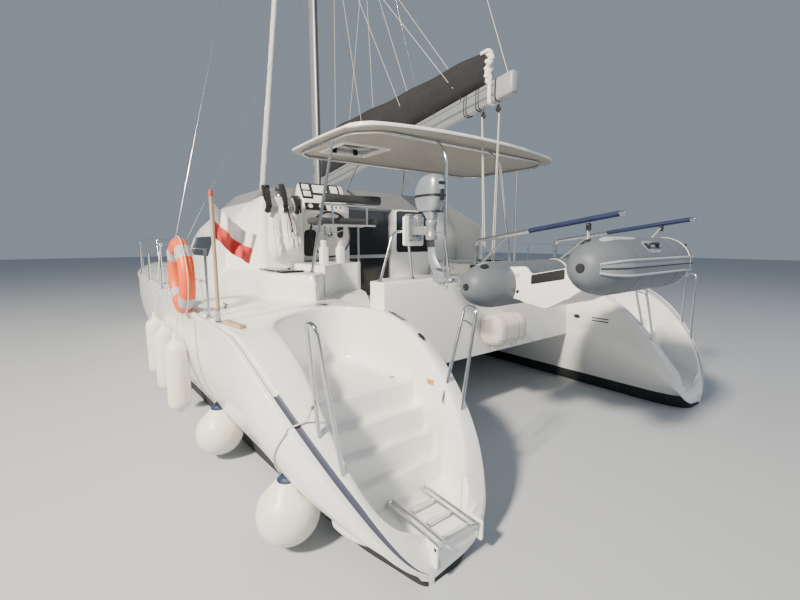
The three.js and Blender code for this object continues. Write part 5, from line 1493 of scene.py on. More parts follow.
# Sail drives' screws
SCREW = {"y": -3.743, "z": -0.76, "radius": 0.222, "hub": 0.036}
for label, side in SIDES:
    form = Form()
    hub = [
        (0, -0.034),
        (0.016, -0.032),
        (0.03, -0.018),
        (0.036, 0.01),
        (0.036, 0.03),
        (0.0135, 0.031),
        (0.0135, 0.006),
        (0, 0.006),
    ]
    form.turned(hub, (side * HULL_X, SCREW["y"], SCREW["z"]), "Y", 32)
    screw_blades(
        form, (side * HULL_X, SCREW["y"] + 0.006, SCREW["z"]), SCREW["hub"], SCREW["radius"], 3, 0.1, 0.007, (0.5, 0.16)
    )
    form.piece(
        f"screw_{label}",
        BRONZE,
        body=f"propeller_{label}_body",
        stands_for=[f"propeller_{label}"],
        sharp=40,
    )


# Tender under the davits

TENDER_END = (
    (-1.34, 0.2), (-1.337, 0.3), (-1.325, 0.42), (-1.3, 0.56), (-1.26, 0.7), (-1.21, 0.82), (-1.14, 0.92), (-1.04, 1.0)
)
STRAKE_HALF = 0.05


def tender_line():
    """(x, y, share of the tubes' radius) along the inflatable's tube, from stern to stern round the bow."""
    half = (FORE_TUBE[0] - AFT_TUBE[0]) / 2
    straight = [(DINGHY["stern"] + 0.3 + 0.095 * i, 1.0) for i in range(1, 10)]
    line = [(x, AFT_TUBE[0], k) for x, k in (*TENDER_END, *straight)]
    for i in range(37):
        turn = math.pi * (i / 36 - 0.5)
        reach = DINGHY["bow"] - DINGHY["radius"] - DINGHY["bend"]
        line.append((DINGHY["bend"] + reach * math.cos(turn), DINGHY_MIDDLE + half * math.sin(turn), 1.0))
    return line + [(x, FORE_TUBE[0], k) for x, k in (*TENDER_END, *straight)[::-1]]


TENDER = tender_line()


def tender_skin(at, turn, out=0.0):
    """A point on the tender's tube: place along the line, turn from its outer side upwards, distance off the skin."""
    at = min(max(at, 0.0), len(TENDER) - 1.001)
    i = int(at)
    before, after = Vector(TENDER[max(0, i - 1)][:2]), Vector(TENDER[min(len(TENDER) - 1, i + 1)][:2])
    x, y, k = (mix(a, b, at - i) for a, b in zip(TENDER[i], TENDER[i + 1]))
    ahead = (after - before).normalized()
    radius = DINGHY["radius"] * k + out
    return (
        x + ahead.y * radius * math.cos(turn),
        y - ahead.x * radius * math.cos(turn),
        heeled(y) + radius * math.sin(turn),
    )


def tender_band(form, start, end, turns, thick, look, steps=2):
    """A strip welded round or along the tube between two places and two turns."""
    low, high = turns
    sides = max(3, int(abs(high - low) / 0.12))
    places = [mix(start, end, i / steps) for i in range(steps + 1)]
    places = [places[0], *places, places[-1]]
    rows = []
    for n, at in enumerate(places):
        outer = thick if 0 < n < len(places) - 1 else -0.002
        row = [tender_skin(at, low, -0.002)]
        row += [tender_skin(at, mix(low, high, j / sides), outer) for j in range(sides + 1)]
        rows.append([*row, tender_skin(at, high, -0.002)])
    form.grid(rows, look)


def tender_patch(form, at, turn, half_along, half_round, look, thick=0.0025):
    """An oval patch welded on the tube."""
    rings = []
    for share, out in ((1.0, -0.001), (0.98, thick), (0.6, thick), (0.2, thick)):
        ring = []
        for c, s in (squared(t, 0.7) for t in full_turn(28)):
            ring.append(tender_skin(at + share * half_along * c, turn + share * half_round * s, out))
        rings.append(ring)
    form.grid(rings, look, round_columns=True)
    form.add(rings[-1], [list(range(28))], look)


def tender_handle(form, at, turn, look):
    """A moulded grab handle on its patch."""
    tender_patch(form, at, turn, 1.35, 0.3, 1)
    line = [tender_skin(at + a, turn, out) for a, out in ((-0.9, 0.002), (-0.75, 0.03), (0.75, 0.03), (0.9, 0.002))]
    form.tube(bent(line, 0.03, 5), 0.009, 12, look)
    for a in (-0.85, 0.85):
        tender_patch(form, at + a, turn, 0.35, 0.12, look, 0.008)


def tender_tubes():
    """The inflatable's tubes with strakes, bands, patches, handles, end caps and row fittings."""
    form = Form()
    last = len(TENDER) - 1
    form.closed([[tender_skin(i, turn) for turn in full_turn(40)] for i in range(last + 1)])
    steps = last - 5
    tender_band(form, 3.0, last - 3.0, (-STRAKE_HALF / 0.215, STRAKE_HALF / 0.215), 0.003, 1, steps)
    for turn in (-0.25, 0.0, 0.25):
        line = [tender_skin(mix(3.0, last - 3.0, i / steps), turn, 0.003) for i in range(steps + 1)]
        form.tube(line, 0.009 if turn else 0.005, 10, 2 if turn else 3)
    for at in (8.5, 16.0, last - 16.0, last - 8.5):
        tender_band(form, at, at + 0.45, (-2.6, 2.9), 0.0015, 0)
    for at, turn in ((11.5, 0.75), (last - 11.5, 0.75), (25, 0.8), (last - 25, 0.8)):
        tender_handle(form, at, turn, 3)
    tender_patch(form, 8.3, 1.35, 2.6, 0.22, 2)
    tender_patch(form, last - 8.3, 1.35, 2.6, 0.22, 2)
    tender_patch(form, last / 2, 1.2, 2.4, 0.45, 1)
    for at in (19.0, last - 19.0):
        tender_band(form, at, at + 0.4, (-2.2, 2.6), 0.004, 4)
    for at in (0.0, last):
        tip = tender_skin(at, 0.0, -DINGHY["radius"] * 0.2)
        form.turned([(0, -0.012), (0.03, -0.01), (0.034, 0.004), (0, 0.006)], tip, "X", 18, 3)
    for at, turn in ((5.5, 1.9), (last - 5.5, 1.9)):
        tender_patch(form, at, turn, 0.5, 0.17, 3, 0.012)
    form.piece(
        "tender_tubes",
        [GREY_FABRIC, STRAKE, PALE_FABRIC, BLACK, WEBBING],
        stands_for=["dinghy_tubes"],
        sharp=40,
    )


def tender_hull():
    """Deep-V moulding of the tender with a grey non-skid inside, its transom and fittings."""
    form = Form()
    rows = []
    for x, wide, drop, lift in (
        (-0.898, 0.42, 0.28, -0.12),
        (-0.5, 0.42, 0.28, -0.118),
        (-0.09, 0.42, 0.28, -0.11),
        (0.2, 0.33, 0.225, -0.07),
        (0.42, 0.22, 0.155, -0.015),
        (0.55, 0.15, 0.11, 0.02),
    ):
        under, inside = [], []
        for i in range(17):
            share = i / 8 - 1
            strake = 0.008 if abs(abs(share) - 0.55) < 0.07 else 0.0
            z = mix(-drop, lift, abs(share) ** 1.12)
            under.append((share * wide, z - strake))
            inside.append((share * wide * 0.985, max(z + 0.03, lift - 0.075)))
        section = under + inside[::-1]
        rows.append([(x, DINGHY_MIDDLE + a, heeled(DINGHY_MIDDLE + a) + z) for a, z in section])
    form.grid(rows, round_columns=True)
    form.looks = [(1 if 17 <= n % 34 < 33 else 0) for n in range(len(form.faces))]
    form.add(rows[0], [list(range(34))[::-1]]).add(rows[-1], [list(range(34))])
    notched = [
        (-0.45, -0.13),
        (0, -0.262),
        (0.45, -0.13),
        (0.45, 0.15),
        (0.23, 0.12),
        (0.17, 0.04),
        (-0.17, 0.04),
        (-0.23, 0.12),
        (-0.45, 0.15),
    ]
    start = len(form.points)
    x = DINGHY["transom"]
    form.slab(notched, x, x + 0.038, 0.03, 0.008, axis="X", under=0.008)
    form.slab(
        [(-0.16, -0.05), (0.16, -0.05), (0.16, 0.034), (-0.16, 0.034)],
        x - 0.006,
        x + 0.046,
        0.012,
        0.003,
        axis="X",
        look=2,
        under=0.003,
    )
    for across in (-0.3, 0.3):
        form.turned([(0, -0.006), (0.014, -0.006), (0.018, 0), (0, 0)], (x, across, -0.1), "X", 16, look=2)
        eye = [
            (x - 0.004, across - 0.02, 0.06),
            (x - 0.03, across - 0.014, 0.06),
            (x - 0.03, across + 0.014, 0.06),
            (x - 0.004, across + 0.02, 0.06),
        ]
        form.tube(bent(eye, 0.015, 4), 0.004, 8, look=3)
    form.moved(lambda px, a, h: (px, DINGHY_MIDDLE + a, heeled(DINGHY_MIDDLE + a) + h), start)
    form.piece(
        "tender_moulding", [GELCOAT, PALE_FABRIC, BLACK, STEEL], stands_for=["dinghy_hull"], sharp=34
    )


tender_tubes()
tender_hull()


# Life raft

RAFT = {"x": -0.02, "y": -4.2, "z": 1.12, "wide": 0.6, "deep": 0.33, "tall": 0.39}


def life_raft():
    """Valise of welded fabric, packed round and lashed, with an amber strap and carrying loops."""
    x, y, z, wide, deep, tall = (RAFT[k] for k in ("x", "y", "z", "wide", "deep", "tall"))
    form = Form()
    rings = []
    ends = ((0, 0.62), (0.012, 0.74), (0.035, 0.86), (0.07, 0.95), (0.12, 0.985), (0.3, 1.0))
    shares = [(x - wide / 2 + a, k) for a, k in ends]
    shares += [(x + wide / 2 - a, k) for a, k in ends[::-1][1:]]
    for px, k in shares:
        outline = super_oval((-deep * k / 2, -tall * k / 2), (deep * k / 2, tall * k / 2), 3.1, 56)
        rings.append([(px, y - 0.004 - deep / 2 + a * 0.97, z + b * 0.97) for a, b in outline])
    form.closed(rings)
    made = form.piece("life_raft_valise", RAFT_COVER, stands_for=["life_raft"], sharp=180)
    swollen(made, 0.006, voxel=0.009, pressure=3.0)
    middle = (x, y - deep / 2, z)
    welt("life_raft_lashing", made, middle, "X", (x - 0.14, x + 0.09), 0.004, ROPE_GREY)
    welt("life_raft_girth", made, middle, "Z", (z - 0.09, z - 0.12), 0.003, ROPE_GREY)
    welt("life_raft_strap", made, middle, "X", (x + 0.24, x + 0.25, x + 0.26), 0.006, AMBER)
    form = Form()
    for px in (x - 0.2, x + 0.16):
        loop = [(px - 0.05, y - 0.2, z - tall / 2 + 0.006), (px - 0.045, y - 0.21, z - tall / 2 - 0.03)]
        loop += [(px + 0.045, y - 0.21, z - tall / 2 - 0.03), (px + 0.05, y - 0.2, z - tall / 2 + 0.006)]
        form.tube(bent(loop, 0.035, 6), 0.006, 10)
    form.piece("life_raft_loops", WEBBING)


life_raft()


# Fenders, lifebuoy and ensign at the port quarter


def pressed(made, against, clear=0.0006):
    """Keeps a soft or cut piece outside another one's skin, seen from port."""
    tree = BVHTree.FromObject(against, bpy.context.evaluated_depsgraph_get())
    for v in made.data.vertices:
        hit = tree.ray_cast(Vector((-6, v.co.y, v.co.z)), Vector((1, 0, 0)))[0]
        if hit and v.co.x > hit.x - clear:
            v.co.x = hit.x - clear


def lashed(form, foot, head, look, radius=0.006):
    """A line from an eye up to the rail, hitched round it."""
    form.tube([foot, head], radius, 8, look)
    x, y, z = head
    for i in range(3):
        at = y - 0.012 + 0.012 * i
        ring = [(x + 0.017 * math.cos(t), at, z + 0.017 * math.sin(t)) for t in full_turn(12)]
        form.tube(ring, radius * 0.9, 8, look, loop=True)


def outside(made, foot, head, clear=0.008, count=26):
    """A line between two points that lies against the port side of a hull where it would cut into it."""
    tree = BVHTree.FromObject(made, bpy.context.evaluated_depsgraph_get())
    line = []
    for i in range(count):
        p = foot.lerp(head, i / (count - 1))
        hit = tree.ray_cast(Vector((-4.2, p.y, p.z)), Vector((1, 0, 0)))[0]
        line.append(Vector((min(p.x, hit.x - clear), p.y, p.z)) if hit else p)
    return line


PORT_HULL = bpy.data.objects["hull_moulding_port"]
BALLS = ((-3.04, -4.9), (-3.1, -3.29))
BALL_RADIUS, BALL_Z = 0.225, 0.28
for number, (x, y) in enumerate(BALLS, 1):
    form = Form()
    r = BALL_RADIUS
    turns = [math.radians(a) for a in range(-90, 42, 6)]
    form.turned(
        [(r * math.cos(t), r * math.sin(t)) for t in turns] + [(0.1, r * 0.98), (0.066, r * 1.12)],
        (x, y, BALL_Z),
        sides=48,
    )
    cap = [(0.07, 1.1), (0.072, 1.13), (0.066, 1.15), (0.05, 1.19), (0.042, 1.26), (0.042, 1.3), (0, 1.315)]
    form.turned([(a, r * b) for a, b in cap], (x, y, BALL_Z), sides=32, look=1)
    eye = [(x + 0.022 * math.cos(t), y, BALL_Z + r * 1.33 + 0.022 * math.sin(t)) for t in full_turn(16)]
    form.tube(eye, 0.009, 10, look=1, loop=True)
    made = form.piece(
        f"ball_fender_shell_{number}",
        [FENDER, NAVY],
        stands_for=[f"ball_fender_{number}"],
        sharp=50,
    )
    pressed(made, PORT_HULL)
    form = Form()
    anchor = {1: (-3.026, -5.32, 1.2), 2: rail_point(-1, -3.35, RAIL_MIDDLE)}[number]
    foot = Vector((x, y, BALL_Z + r * 1.36))
    form.tube(outside(PORT_HULL, foot, Vector(anchor)), 0.006, 8)
    lashed(form, Vector(anchor) - Vector((0, 0, 0.01)), anchor, 0)
    form.piece(f"ball_fender_line_{number}", ROPE_WHITE)

# Lashings are made fast this far below the middle of the rail
UNDER_RAIL = 0.012
LONG_FENDERS = (-2.7, -1.9, -1.1)
LONG_FENDER = {"x": -3.351, "z": 0.76, "radius": 0.115}
for number, y in enumerate(LONG_FENDERS, 1):
    form = Form()
    x, z, r = LONG_FENDER["x"], LONG_FENDER["z"], LONG_FENDER["radius"]
    profile = [
        (0, -0.4),
        (0.03, -0.4),
        (0.036, -0.385),
        (0.05, -0.375),
        (0.08, -0.355),
        (0.1, -0.335),
        (0.111, -0.31),
        (r, -0.28),
    ]
    profile += [(r, -0.1), (r, 0.1), (r, 0.28), (0.111, 0.31), (0.098, 0.34), (0.07, 0.37), (0.04, 0.395), (0.03, 0.42)]
    form.turned([*profile, (0.026, 0.45), (0.02, 0.47), (0, 0.47)], (x, y, z), sides=40)
    made = form.piece(
        f"long_fender_shell_{number}",
        [FENDER, NAVY],
        stands_for=[f"long_fender_{number}"],
        sharp=50,
    )
    pressed(made, PORT_HULL)
    form = Form()
    lashed(form, (x + 0.005, y, z + 0.46), rail_point(-1, y, RAIL_HEIGHT - UNDER_RAIL), 0)
    form.piece(f"long_fender_line_{number}", ROPE_WHITE)


BUOY_MIDDLE, BUOY_REACH = (-3.3, -3.0, 1.85), 0.3


def lifebuoy():
    """Orange ring with four grey reflective patches and a grab line."""
    form = Form()
    x, y, z = BUOY_MIDDLE
    rows, looks = [], []
    for i, t in enumerate(full_turn(96)):
        grow = 0.0015 if abs((i % 24) - 12) < 3 else 0
        ring = []
        for c, n in (squared(turn, 0.86) for turn in full_turn(20)):
            reach = BUOY_REACH + (0.0735 + grow) * c
            ring.append((x + (0.0695 + grow) * n, y + reach * math.cos(t), z + reach * math.sin(t)))
        rows.append(ring)
        looks += [1 if abs(((i + 0.5) % 24) - 12) < 2.6 else 0] * 20
    form.grid(rows, round_rows=True, round_columns=True)
    form.looks = looks
    for k in range(4):
        a = math.pi / 4 + k * math.pi / 2
        ends = [Vector((x - 0.01, y + 0.378 * math.cos(b), z + 0.378 * math.sin(b))) for b in (a, a + math.pi / 2)]
        arc = [
            Vector((x - 0.01, y + 0.386 * math.cos(a + c), z + 0.386 * math.sin(a + c)))
            for c in (i * math.pi / 32 for i in range(1, 16))
        ]
        form.tube([ends[0], *arc, ends[1]], 0.0045, 8, look=2)
    made = form.piece(
        "lifebuoy_ring", [ORANGE, TAPE, ROPE_WHITE], stands_for=["lifebuoy"], sharp=60
    )
    pressed(made, PORT_HULL)
    form = Form()
    for dy in (-0.22, 0.22):
        top = rail_point(-1, y + dy, RAIL_HEIGHT - UNDER_RAIL)
        loop = [(x + 0.075 * math.cos(t), y + dy, z + 0.21 + 0.09 * math.sin(t)) for t in full_turn(16)]
        form.tube(loop, 0.004, 8, loop=True)
        form.tube([(x + 0.06, y + dy, z + 0.27), top], 0.004, 8)
    form.piece("lifebuoy_lashing", ROPE_WHITE)


lifebuoy()

STAFF = {"x": -3.19, "y": -3.9, "foot": 1.508, "knob": 2.545, "head": 2.6, "radius": 0.0155}
form = Form()
sx, sy = STAFF["x"], STAFF["y"]
profile = [(0, STAFF["foot"]), (0.015, STAFF["foot"]), (0.0165, 1.8), (STAFF["radius"], 2.5), (0.015, STAFF["knob"])]
form.turned(profile, (sx, sy, 0), sides=20)
knob = [(0.015, STAFF["knob"]), (0.0158, 2.55), (0.0158, 2.592), (0.012, STAFF["head"]), (0, STAFF["head"])]
form.turned(knob, (sx, sy, 0), sides=20, look=1)
socket = [(STAFF["radius"], 1.512), (0.03, 1.512), (0.03, 1.52), (0.021, 1.53), (0.021, 1.62), (0.0165, 1.625)]
form.turned(socket, (sx, sy, 0), sides=24, look=2)
form.piece("flagstaff_pole", [WOOD, FLAG_RED, STEEL], stands_for=["flagstaff"], sharp=40)

# Hoist and fly edges of the hanging flag, as (out from the staff, z) at its top and foot
FLAG_HOIST, FLAG_FLY = ((0.0165, 2.5), (0.0165, 2.21)), ((0.35, 2.24), (0.285, 1.99))


def ensign():
    """Two-band flag in still air: its cloth falls in soft folds from the hoist."""
    form = Form()
    wide, high = 60, 40
    rows = []
    for i in range(high + 1):
        v = i / high
        row = []
        for j in range(wide + 1):
            u = j / wide
            top = Vector(FLAG_HOIST[0]).lerp(Vector(FLAG_FLY[0]), u)
            low = Vector(FLAG_HOIST[1]).lerp(Vector(FLAG_FLY[1]), u)
            p = top.lerp(low, v)
            sag = 0.035 * math.sin(math.pi * u)
            fold = 0.034 * math.sin(2 * math.pi * (1.7 * u + 0.45 * v) + 0.6)
            fold += 0.012 * math.sin(2 * math.pi * (3.3 * u - 0.5 * v))
            row.append((sx + p.x, sy + fold * min(1, u * 5), p.y - sag * (1 - 0.4 * v)))
        rows.append(row)
    form.grid(rows)
    form.looks = [0 if n // wide < high / 2 else 1 for n in range(len(form.faces))]
    made = form.piece("flag_cloth", [FLAG_WHITE, FLAG_RED], stands_for=["flag"], sharp=180)
    thick = made.modifiers.new("cloth", "SOLIDIFY")
    thick.thickness = 0.0008


ensign()


# Hardtop

SKYLIGHT = {"x": (-1.5, -0.78), "y": (-3.1, -2.45)}
# Rims of the skylight above and below the roof, as (in from the opening, height) rows
SKYLIGHT_RIMS = (
    ((0.0006, -0.02), (0.0006, 0.038), (0.012, 0.042), (0.045, 0.042), (0.05, 0.03), (0.05, 0.02)),
    ((0.03, -0.036), (0.002, -0.034), (0.002, -0.02), (0.05, -0.02), (0.05, 0.02), (0.045, -0.036), (0.03, -0.036)),
)


def hardtop_edges(x):
    """Aft and front edge of the hardtop at a distance across."""
    share = abs(x) / HARDTOP["half"]
    bow = math.sqrt(max(0.0, 1 - share**2))
    corner = 0.15 * max(0.0, (share - 0.88) / 0.12) ** 2
    return (
        mix(HARDTOP["corner"], HARDTOP["aft"], bow) + corner,
        mix(HARDTOP["front_corner"], HARDTOP["front"], bow) - corner,
    )


def hardtop():
    """Moulded roof with a rounded rim, a grey-beige underside darkened as painted shade, and the opening of its
    skylight.
    """
    form = Form()
    half, thick = HARDTOP["half"], HARDTOP_HALF_THICK
    shares = [0, 0.12, 0.24, 0.36, 0.5, 0.62, 0.74, 0.84, 0.9, 0.94, 0.965, 0.983, 0.994, 1.0]
    places = sorted({s * half * side for s in shares for side in (-1, 1)} | set(SKYLIGHT["x"]))
    back, front = SKYLIGHT["y"]
    rings = []
    for x in places:
        low, high = hardtop_edges(x)
        tip = thick * math.sqrt(max(0.02, 1 - max(0, (abs(x) / half - 0.975) / 0.025) ** 2))
        rounding = [(thick * (1 - math.cos(math.radians(a))), tip * math.sin(math.radians(a))) for a in (0, 25, 50, 75)]
        inner_low, inner_high = low + thick, high - thick
        ys = [mix(inner_low, back, t / 6) for t in range(6)] + [mix(back, front, t / 4) for t in range(4)]
        ys += [mix(front, inner_high, t / 4) for t in range(5)]
        top = [(low + d, lift) for d, lift in rounding]
        top += [(y, tip + 0.012 * math.sin(math.pi * (y - low) / (high - low))) for y in ys]
        top += [(high - d, lift) for d, lift in rounding[:0:-1]]
        under = [(high - d, -lift) for d, lift in rounding]
        under += [(y, -tip + 0.012 * math.sin(math.pi * (y - low) / (high - low))) for y in ys[::-1]]
        under += [(low + d, -lift) for d, lift in rounding[:0:-1]]
        rings.append([(x, y, hardtop_height(x, y) + lift) for y, lift in top + under])
        # Where along a section the skylight's opening starts and ends on top, and where it starts below
        a, b, c = len(rounding) + 6, len(rounding) + 10, len(top) + len(rounding) + len(ys) - 11
    count = len(rings[0])
    form.grid(rings, round_columns=True)
    cut = range(places.index(SKYLIGHT["x"][0]), places.index(SKYLIGHT["x"][1]))
    kept = []
    # Faces under the hardtop take the lining, its colour darkened as painted shade
    for n, face in enumerate(form.faces):
        i, j = divmod(n, count)
        if not (i in cut and (a <= j < b or c <= j < c + 4)):
            kept.append((face, 1 if count // 2 <= j < count - 1 else 0))
    form.faces, form.looks = [f for f, _ in kept], [look for _, look in kept]
    first, last = cut[0], cut[-1] + 1
    for j in range(4):
        for i in (first, last):
            top, low = i * count + a + j, i * count + c + 4 - j
            form.faces.append([top, top + 1, low - 1, low])
            form.looks.append(0)
    for i in cut:
        for top, low in ((a, c + 4), (b, c)):
            form.faces.append([i * count + top, (i + 1) * count + top, (i + 1) * count + low, i * count + low])
            form.looks.append(0)
    for ring in (0, len(rings) - 1):
        form.faces.append([ring * count + j for j in range(count)])
        form.looks.append(0)
    form.piece("hardtop_moulding", [GELCOAT, LINING_AND_SHADE], stands_for=["hardtop"], sharp=48)
    form = Form()
    (x0, x1), (y0, y1) = SKYLIGHT["x"], SKYLIGHT["y"]
    for rim in SKYLIGHT_RIMS:
        rings = []
        for grow, lift in rim:
            outline = rounded(oblong((x0 + grow, y0 + grow), (x1 - grow, y1 - grow)), 0.03)
            rings.append([(p.x, p.y, hardtop_height(p.x, p.y) + lift) for p in outline])
        form.grid(rings, 1, round_columns=True)
    pane = oblong((x0 + 0.04, y0 + 0.04), (x1 - 0.04, y1 - 0.04))
    start = len(form.points)
    form.slab(pane, 0.0, 0.014, 0.04, 0.004, look=0, under=0.004)
    for x in (x0 + 0.2, x1 - 0.2):
        form.slab(oblong((x - 0.03, y1 - 0.09), (x + 0.03, y1 - 0.06)), -0.03, 0.001, 0.008, 0.004, look=2)
    form.moved(lambda x, y, h: (x, y, hardtop_height(x, y) + h), start)
    form.piece(
        "hardtop_skylight_frame",
        [ACRYLIC, GELCOAT, BLACK],
        stands_for=["hardtop_skylight"],
        sharp=40,
    )


hardtop()

LID = {"x": (1.93, 2.23), "y": (-2.88, -2.08), "z": (1.8153, 1.84)}
for label, side in SIDES:
    form = Form()
    (x0, x1), (y0, y1), (z0, z1) = LID["x"], LID["y"], LID["z"]
    form.slab(oblong((side * x0, y0), (side * x1, y1)), z0, z1, 0.05, 0.007, under=0.003)
    form.slab(
        oblong((side * (x0 + 0.03), -2.52), (side * (x0 + 0.055), -2.44)), z1 - 0.002, z1 + 0.008, 0.01, 0.003, look=1
    )
    for y in (-2.7, -2.26):
        form.tube(
            [(side * (x1 - 0.006), y - 0.04, z0 + 0.012), (side * (x1 - 0.006), y + 0.04, z0 + 0.012)],
            0.007,
            14,
            look=2,
        )
        form.slab(
            oblong((side * (x1 - 0.05), y - 0.032), (side * (x1 - 0.008), y + 0.032)),
            z1 - 0.001,
            z1 + 0.004,
            0.006,
            0.0015,
            look=2,
        )
    form.piece(
        f"locker_lid_pane_{label}",
        [ACRYLIC, BLACK, STEEL],
        body=f"lid_{label}_body",
        stands_for=[f"locker_lid_{label}"],
        sharp=40,
    )


# Swim ladder: each side a long loop of tube, with three treads between

form = Form()
lx, ly, lz, half, length = (LADDER[k] for k in ("x", "y", "z", "half", "length"))
for side in (-1, 1):
    outer, inner = lx + side * half, lx + side * (half - 0.055)
    loop = [(inner, ly + 0.02, lz), (inner, ly + length, lz), (outer, ly + length, lz), (outer, ly, lz)]
    form.tube(bent([(outer, ly, lz), (inner, ly + 0.012, lz)], 0.01), 0.0125, 16)
    form.tube(bent(loop, 0.026, 6), 0.0125, 16)
for share in (0.07, 0.37, 0.68):
    y = ly + share * length
    form.tube([(lx - half + 0.055, y, lz), (lx + half - 0.055, y, lz)], 0.0125, 16)
    form.slab(
        oblong((lx - half + 0.075, y - 0.022), (lx + half - 0.075, y + 0.022)),
        lz - 0.004,
        lz + 0.0138,
        0.012,
        0.003,
        under=0.003,
    )
reach = half + 0.036
form.tube([(lx - reach, ly, lz), (lx + reach, ly, lz)], 0.008, 20)
for side in (-1, 1):
    form.turned(
        [(0, -0.003), (0.013, -0.003), (0.013, 0.003), (0, 0.003)], (lx + side * (reach - 0.001), ly, lz), "X", 20
    )
form.piece("swim_ladder_tubes", [STEEL, BLACK], body="ladder_body", stands_for=["swim_ladder"], sharp=44)


# Boom with its folded sail and cover

# Places along the boat of the mainsheet's two blocks on the boom, and of the line that holds the boom's end
SHEET_AT = (-3.93, -4.16)
END_LINE_AT = -4.28
BOOM = {"pin": (0.44, 3.34), "end": (-4.4, 3.98), "half": 0.065, "deep": 0.25}
COVER = (
    (-3.98, 0.09, 4.46),
    (-3.7, 0.12, 4.46),
    (-2.3, 0.155, 4.41),
    (-0.6, 0.165, 4.38),
    (0.1, 0.13, 4.29),
    (0.33, 0.06, 3.76),
)


def boom_low(y):
    """Height of the boom's underside at a distance along the boat."""
    return mix(
        BOOM["pin"][1], BOOM["end"][1], (BOOM["pin"][0] - y) / (BOOM["pin"][0] - BOOM["end"][0])
    ) - BOOM["deep"] / 2


def boom_ring(y, grow=0.0, power=4.5, count=40):
    """An upright section of the boom, grown by a distance."""
    low = boom_low(y)
    outline = super_oval((-BOOM["half"] - grow, -grow), (BOOM["half"] + grow, BOOM["deep"] + grow), power, count)
    return [(a, y, low + b) for a, b in outline]


def boom():
    """Extruded boom with its gooseneck tongue, end cap, gasket, side grooves and the bands of its lines."""
    form = Form()
    form.closed([boom_ring(y) for y in (0.38, 0.37, -2.0, -4.15)])
    form.closed([boom_ring(y, 0.003) for y in (-4.15, -4.17)], 1)
    ends = ((-4.17, 0.002), (-4.36, 0.002), (-4.383, -0.002), (-4.395, -0.012), (-4.4, -0.026))
    form.closed([boom_ring(y, grow) for y, grow in ends], 2)
    form.closed([boom_ring(y, grow) for y, grow in ((0.38, 0.002), (0.33, 0.002))], 1)
    for side in (-1, 1):
        for lift in (0.07, 0.085, 0.185):
            line = [(side * (BOOM["half"] - 0.001), y, boom_low(y) + lift) for y in (0.32, -4.14)]
            form.tube(line, 0.0035, 8, look=1)
    for y in (-3.66, -3.7, -3.86, -3.9):
        form.tube([Vector(p) for p in boom_ring(y, 0.004)], 0.006, 8, look=1, loop=True)
    form.closed(
        [boom_ring(y, grow) for y, grow in ((-4.04, 0.001), (-4.045, 0.004), (-4.085, 0.004), (-4.09, 0.001))], 3
    )
    y = BOOM["pin"][0]
    tongue = [(y - 0.1, 3.312), (y + 0.024, 3.312), (y + 0.024, 3.378), (y - 0.1, 3.378)]
    form.slab(tongue, -0.022, 0.022, 0.012, 0.004, axis="X", look=2, under=0.004)
    for at in SHEET_AT:
        low = boom_low(at)
        form.tube(
            bent(
                [(-0.02, at, low + 0.01), (-0.02, at, low - 0.04), (0.02, at, low - 0.04), (0.02, at, low + 0.01)], 0.02
            ),
            0.005,
            10,
            look=4,
        )
    eye = [(0, END_LINE_AT, boom_low(END_LINE_AT) + lift) for lift in (0.24, 0.28)]
    form.tube(eye, 0.012, 12, look=4)
    form.piece(
        "boom_spar", [ALLOY, BLACK, CAP, WEBBING, STEEL], body="boom_body", stands_for=["boom"], sharp=40
    )


def sail_cover():
    """Charcoal cover laced over the flaked sail: pulled up at its ties and hanging slack between them."""
    form = Form()
    rings = []
    ties = (-3.5, -2.5, -1.4, -0.4)
    for i in range(90):
        y = mix(0.33, -3.98, i / 89)
        half, top = (curve_through([(row[0], row[n]) for row in COVER], y) for n in (1, 2))
        low = boom_low(y) + BOOM["deep"] + 0.0006
        near = min(abs(y - tie) for tie in ties)
        slack = min(1, near / 0.45)
        ring = []
        for t in full_turn(44):
            height = 0.5 - 0.5 * math.cos(t)
            side = math.copysign(abs(math.sin(t)) ** 0.7, math.sin(t)) if abs(math.sin(t)) > 1e-9 else 0
            wide = curve_through(((0, 0.55), (0.14, 1.0), (0.4, 0.97), (0.8, 0.5), (0.95, 0.2), (1, 0.12)), height)
            folds = 0.05 * math.sin(9 * height + 5 * y) + 0.035 * math.sin(23 * height - 11 * y) * slack
            ripple = 1 + folds * slack - 0.07 * (1 - slack) * math.exp(-((near / 0.05) ** 2))
            ring.append((half * side * wide * ripple, y, mix(low, top - 0.02 * slack, height)))
        rings.append(ring)
    form.closed(rings)
    chance = random.Random(9)
    for i in range(9):
        z = mix(4.1, 4.42, i / 8)
        line = [
            (chance.uniform(-0.05, 0.05), -3.9, z), (chance.uniform(-0.06, 0.06), -3.985 - 0.012 * (i % 3), z + 0.01)
        ]
        line += [
            (chance.uniform(-0.05, 0.05), -4.03 - 0.02 * (i % 2), z - 0.03), (0.03 - 0.06 * (i % 2), -3.97, z - 0.06)
        ]
        form.tube(bent(line, 0.05), [0.02] + [0.026] * (len(bent(line, 0.05)) - 2) + [0.015], 10, look=1)
    for side in (-1, 1):
        for y in (-3.6, -3.1, -2.2, -1.3, -0.4):
            low = boom_low(y) + BOOM["deep"] + 0.002
            form.tube(
                [(side * 0.06, y, low + 0.03), (side * 0.072, y, low - 0.01), (side * 0.067, y, low - 0.05)],
                0.004,
                8,
                look=2,
            )
    form.piece(
        "sail_cover_canvas",
        [COVER_CLOTH, SAIL, ROPE_BLACK],
        body="boom_body",
        stands_for=["sail_cover"],
        sharp=75,
    )


boom()
sail_cover()

# Running rigging by the boom: falls of the mainsheet, lazy jacks and the line that holds the boom's end

SHEET_FOOT = (-0.02, -4.1, 1.776)


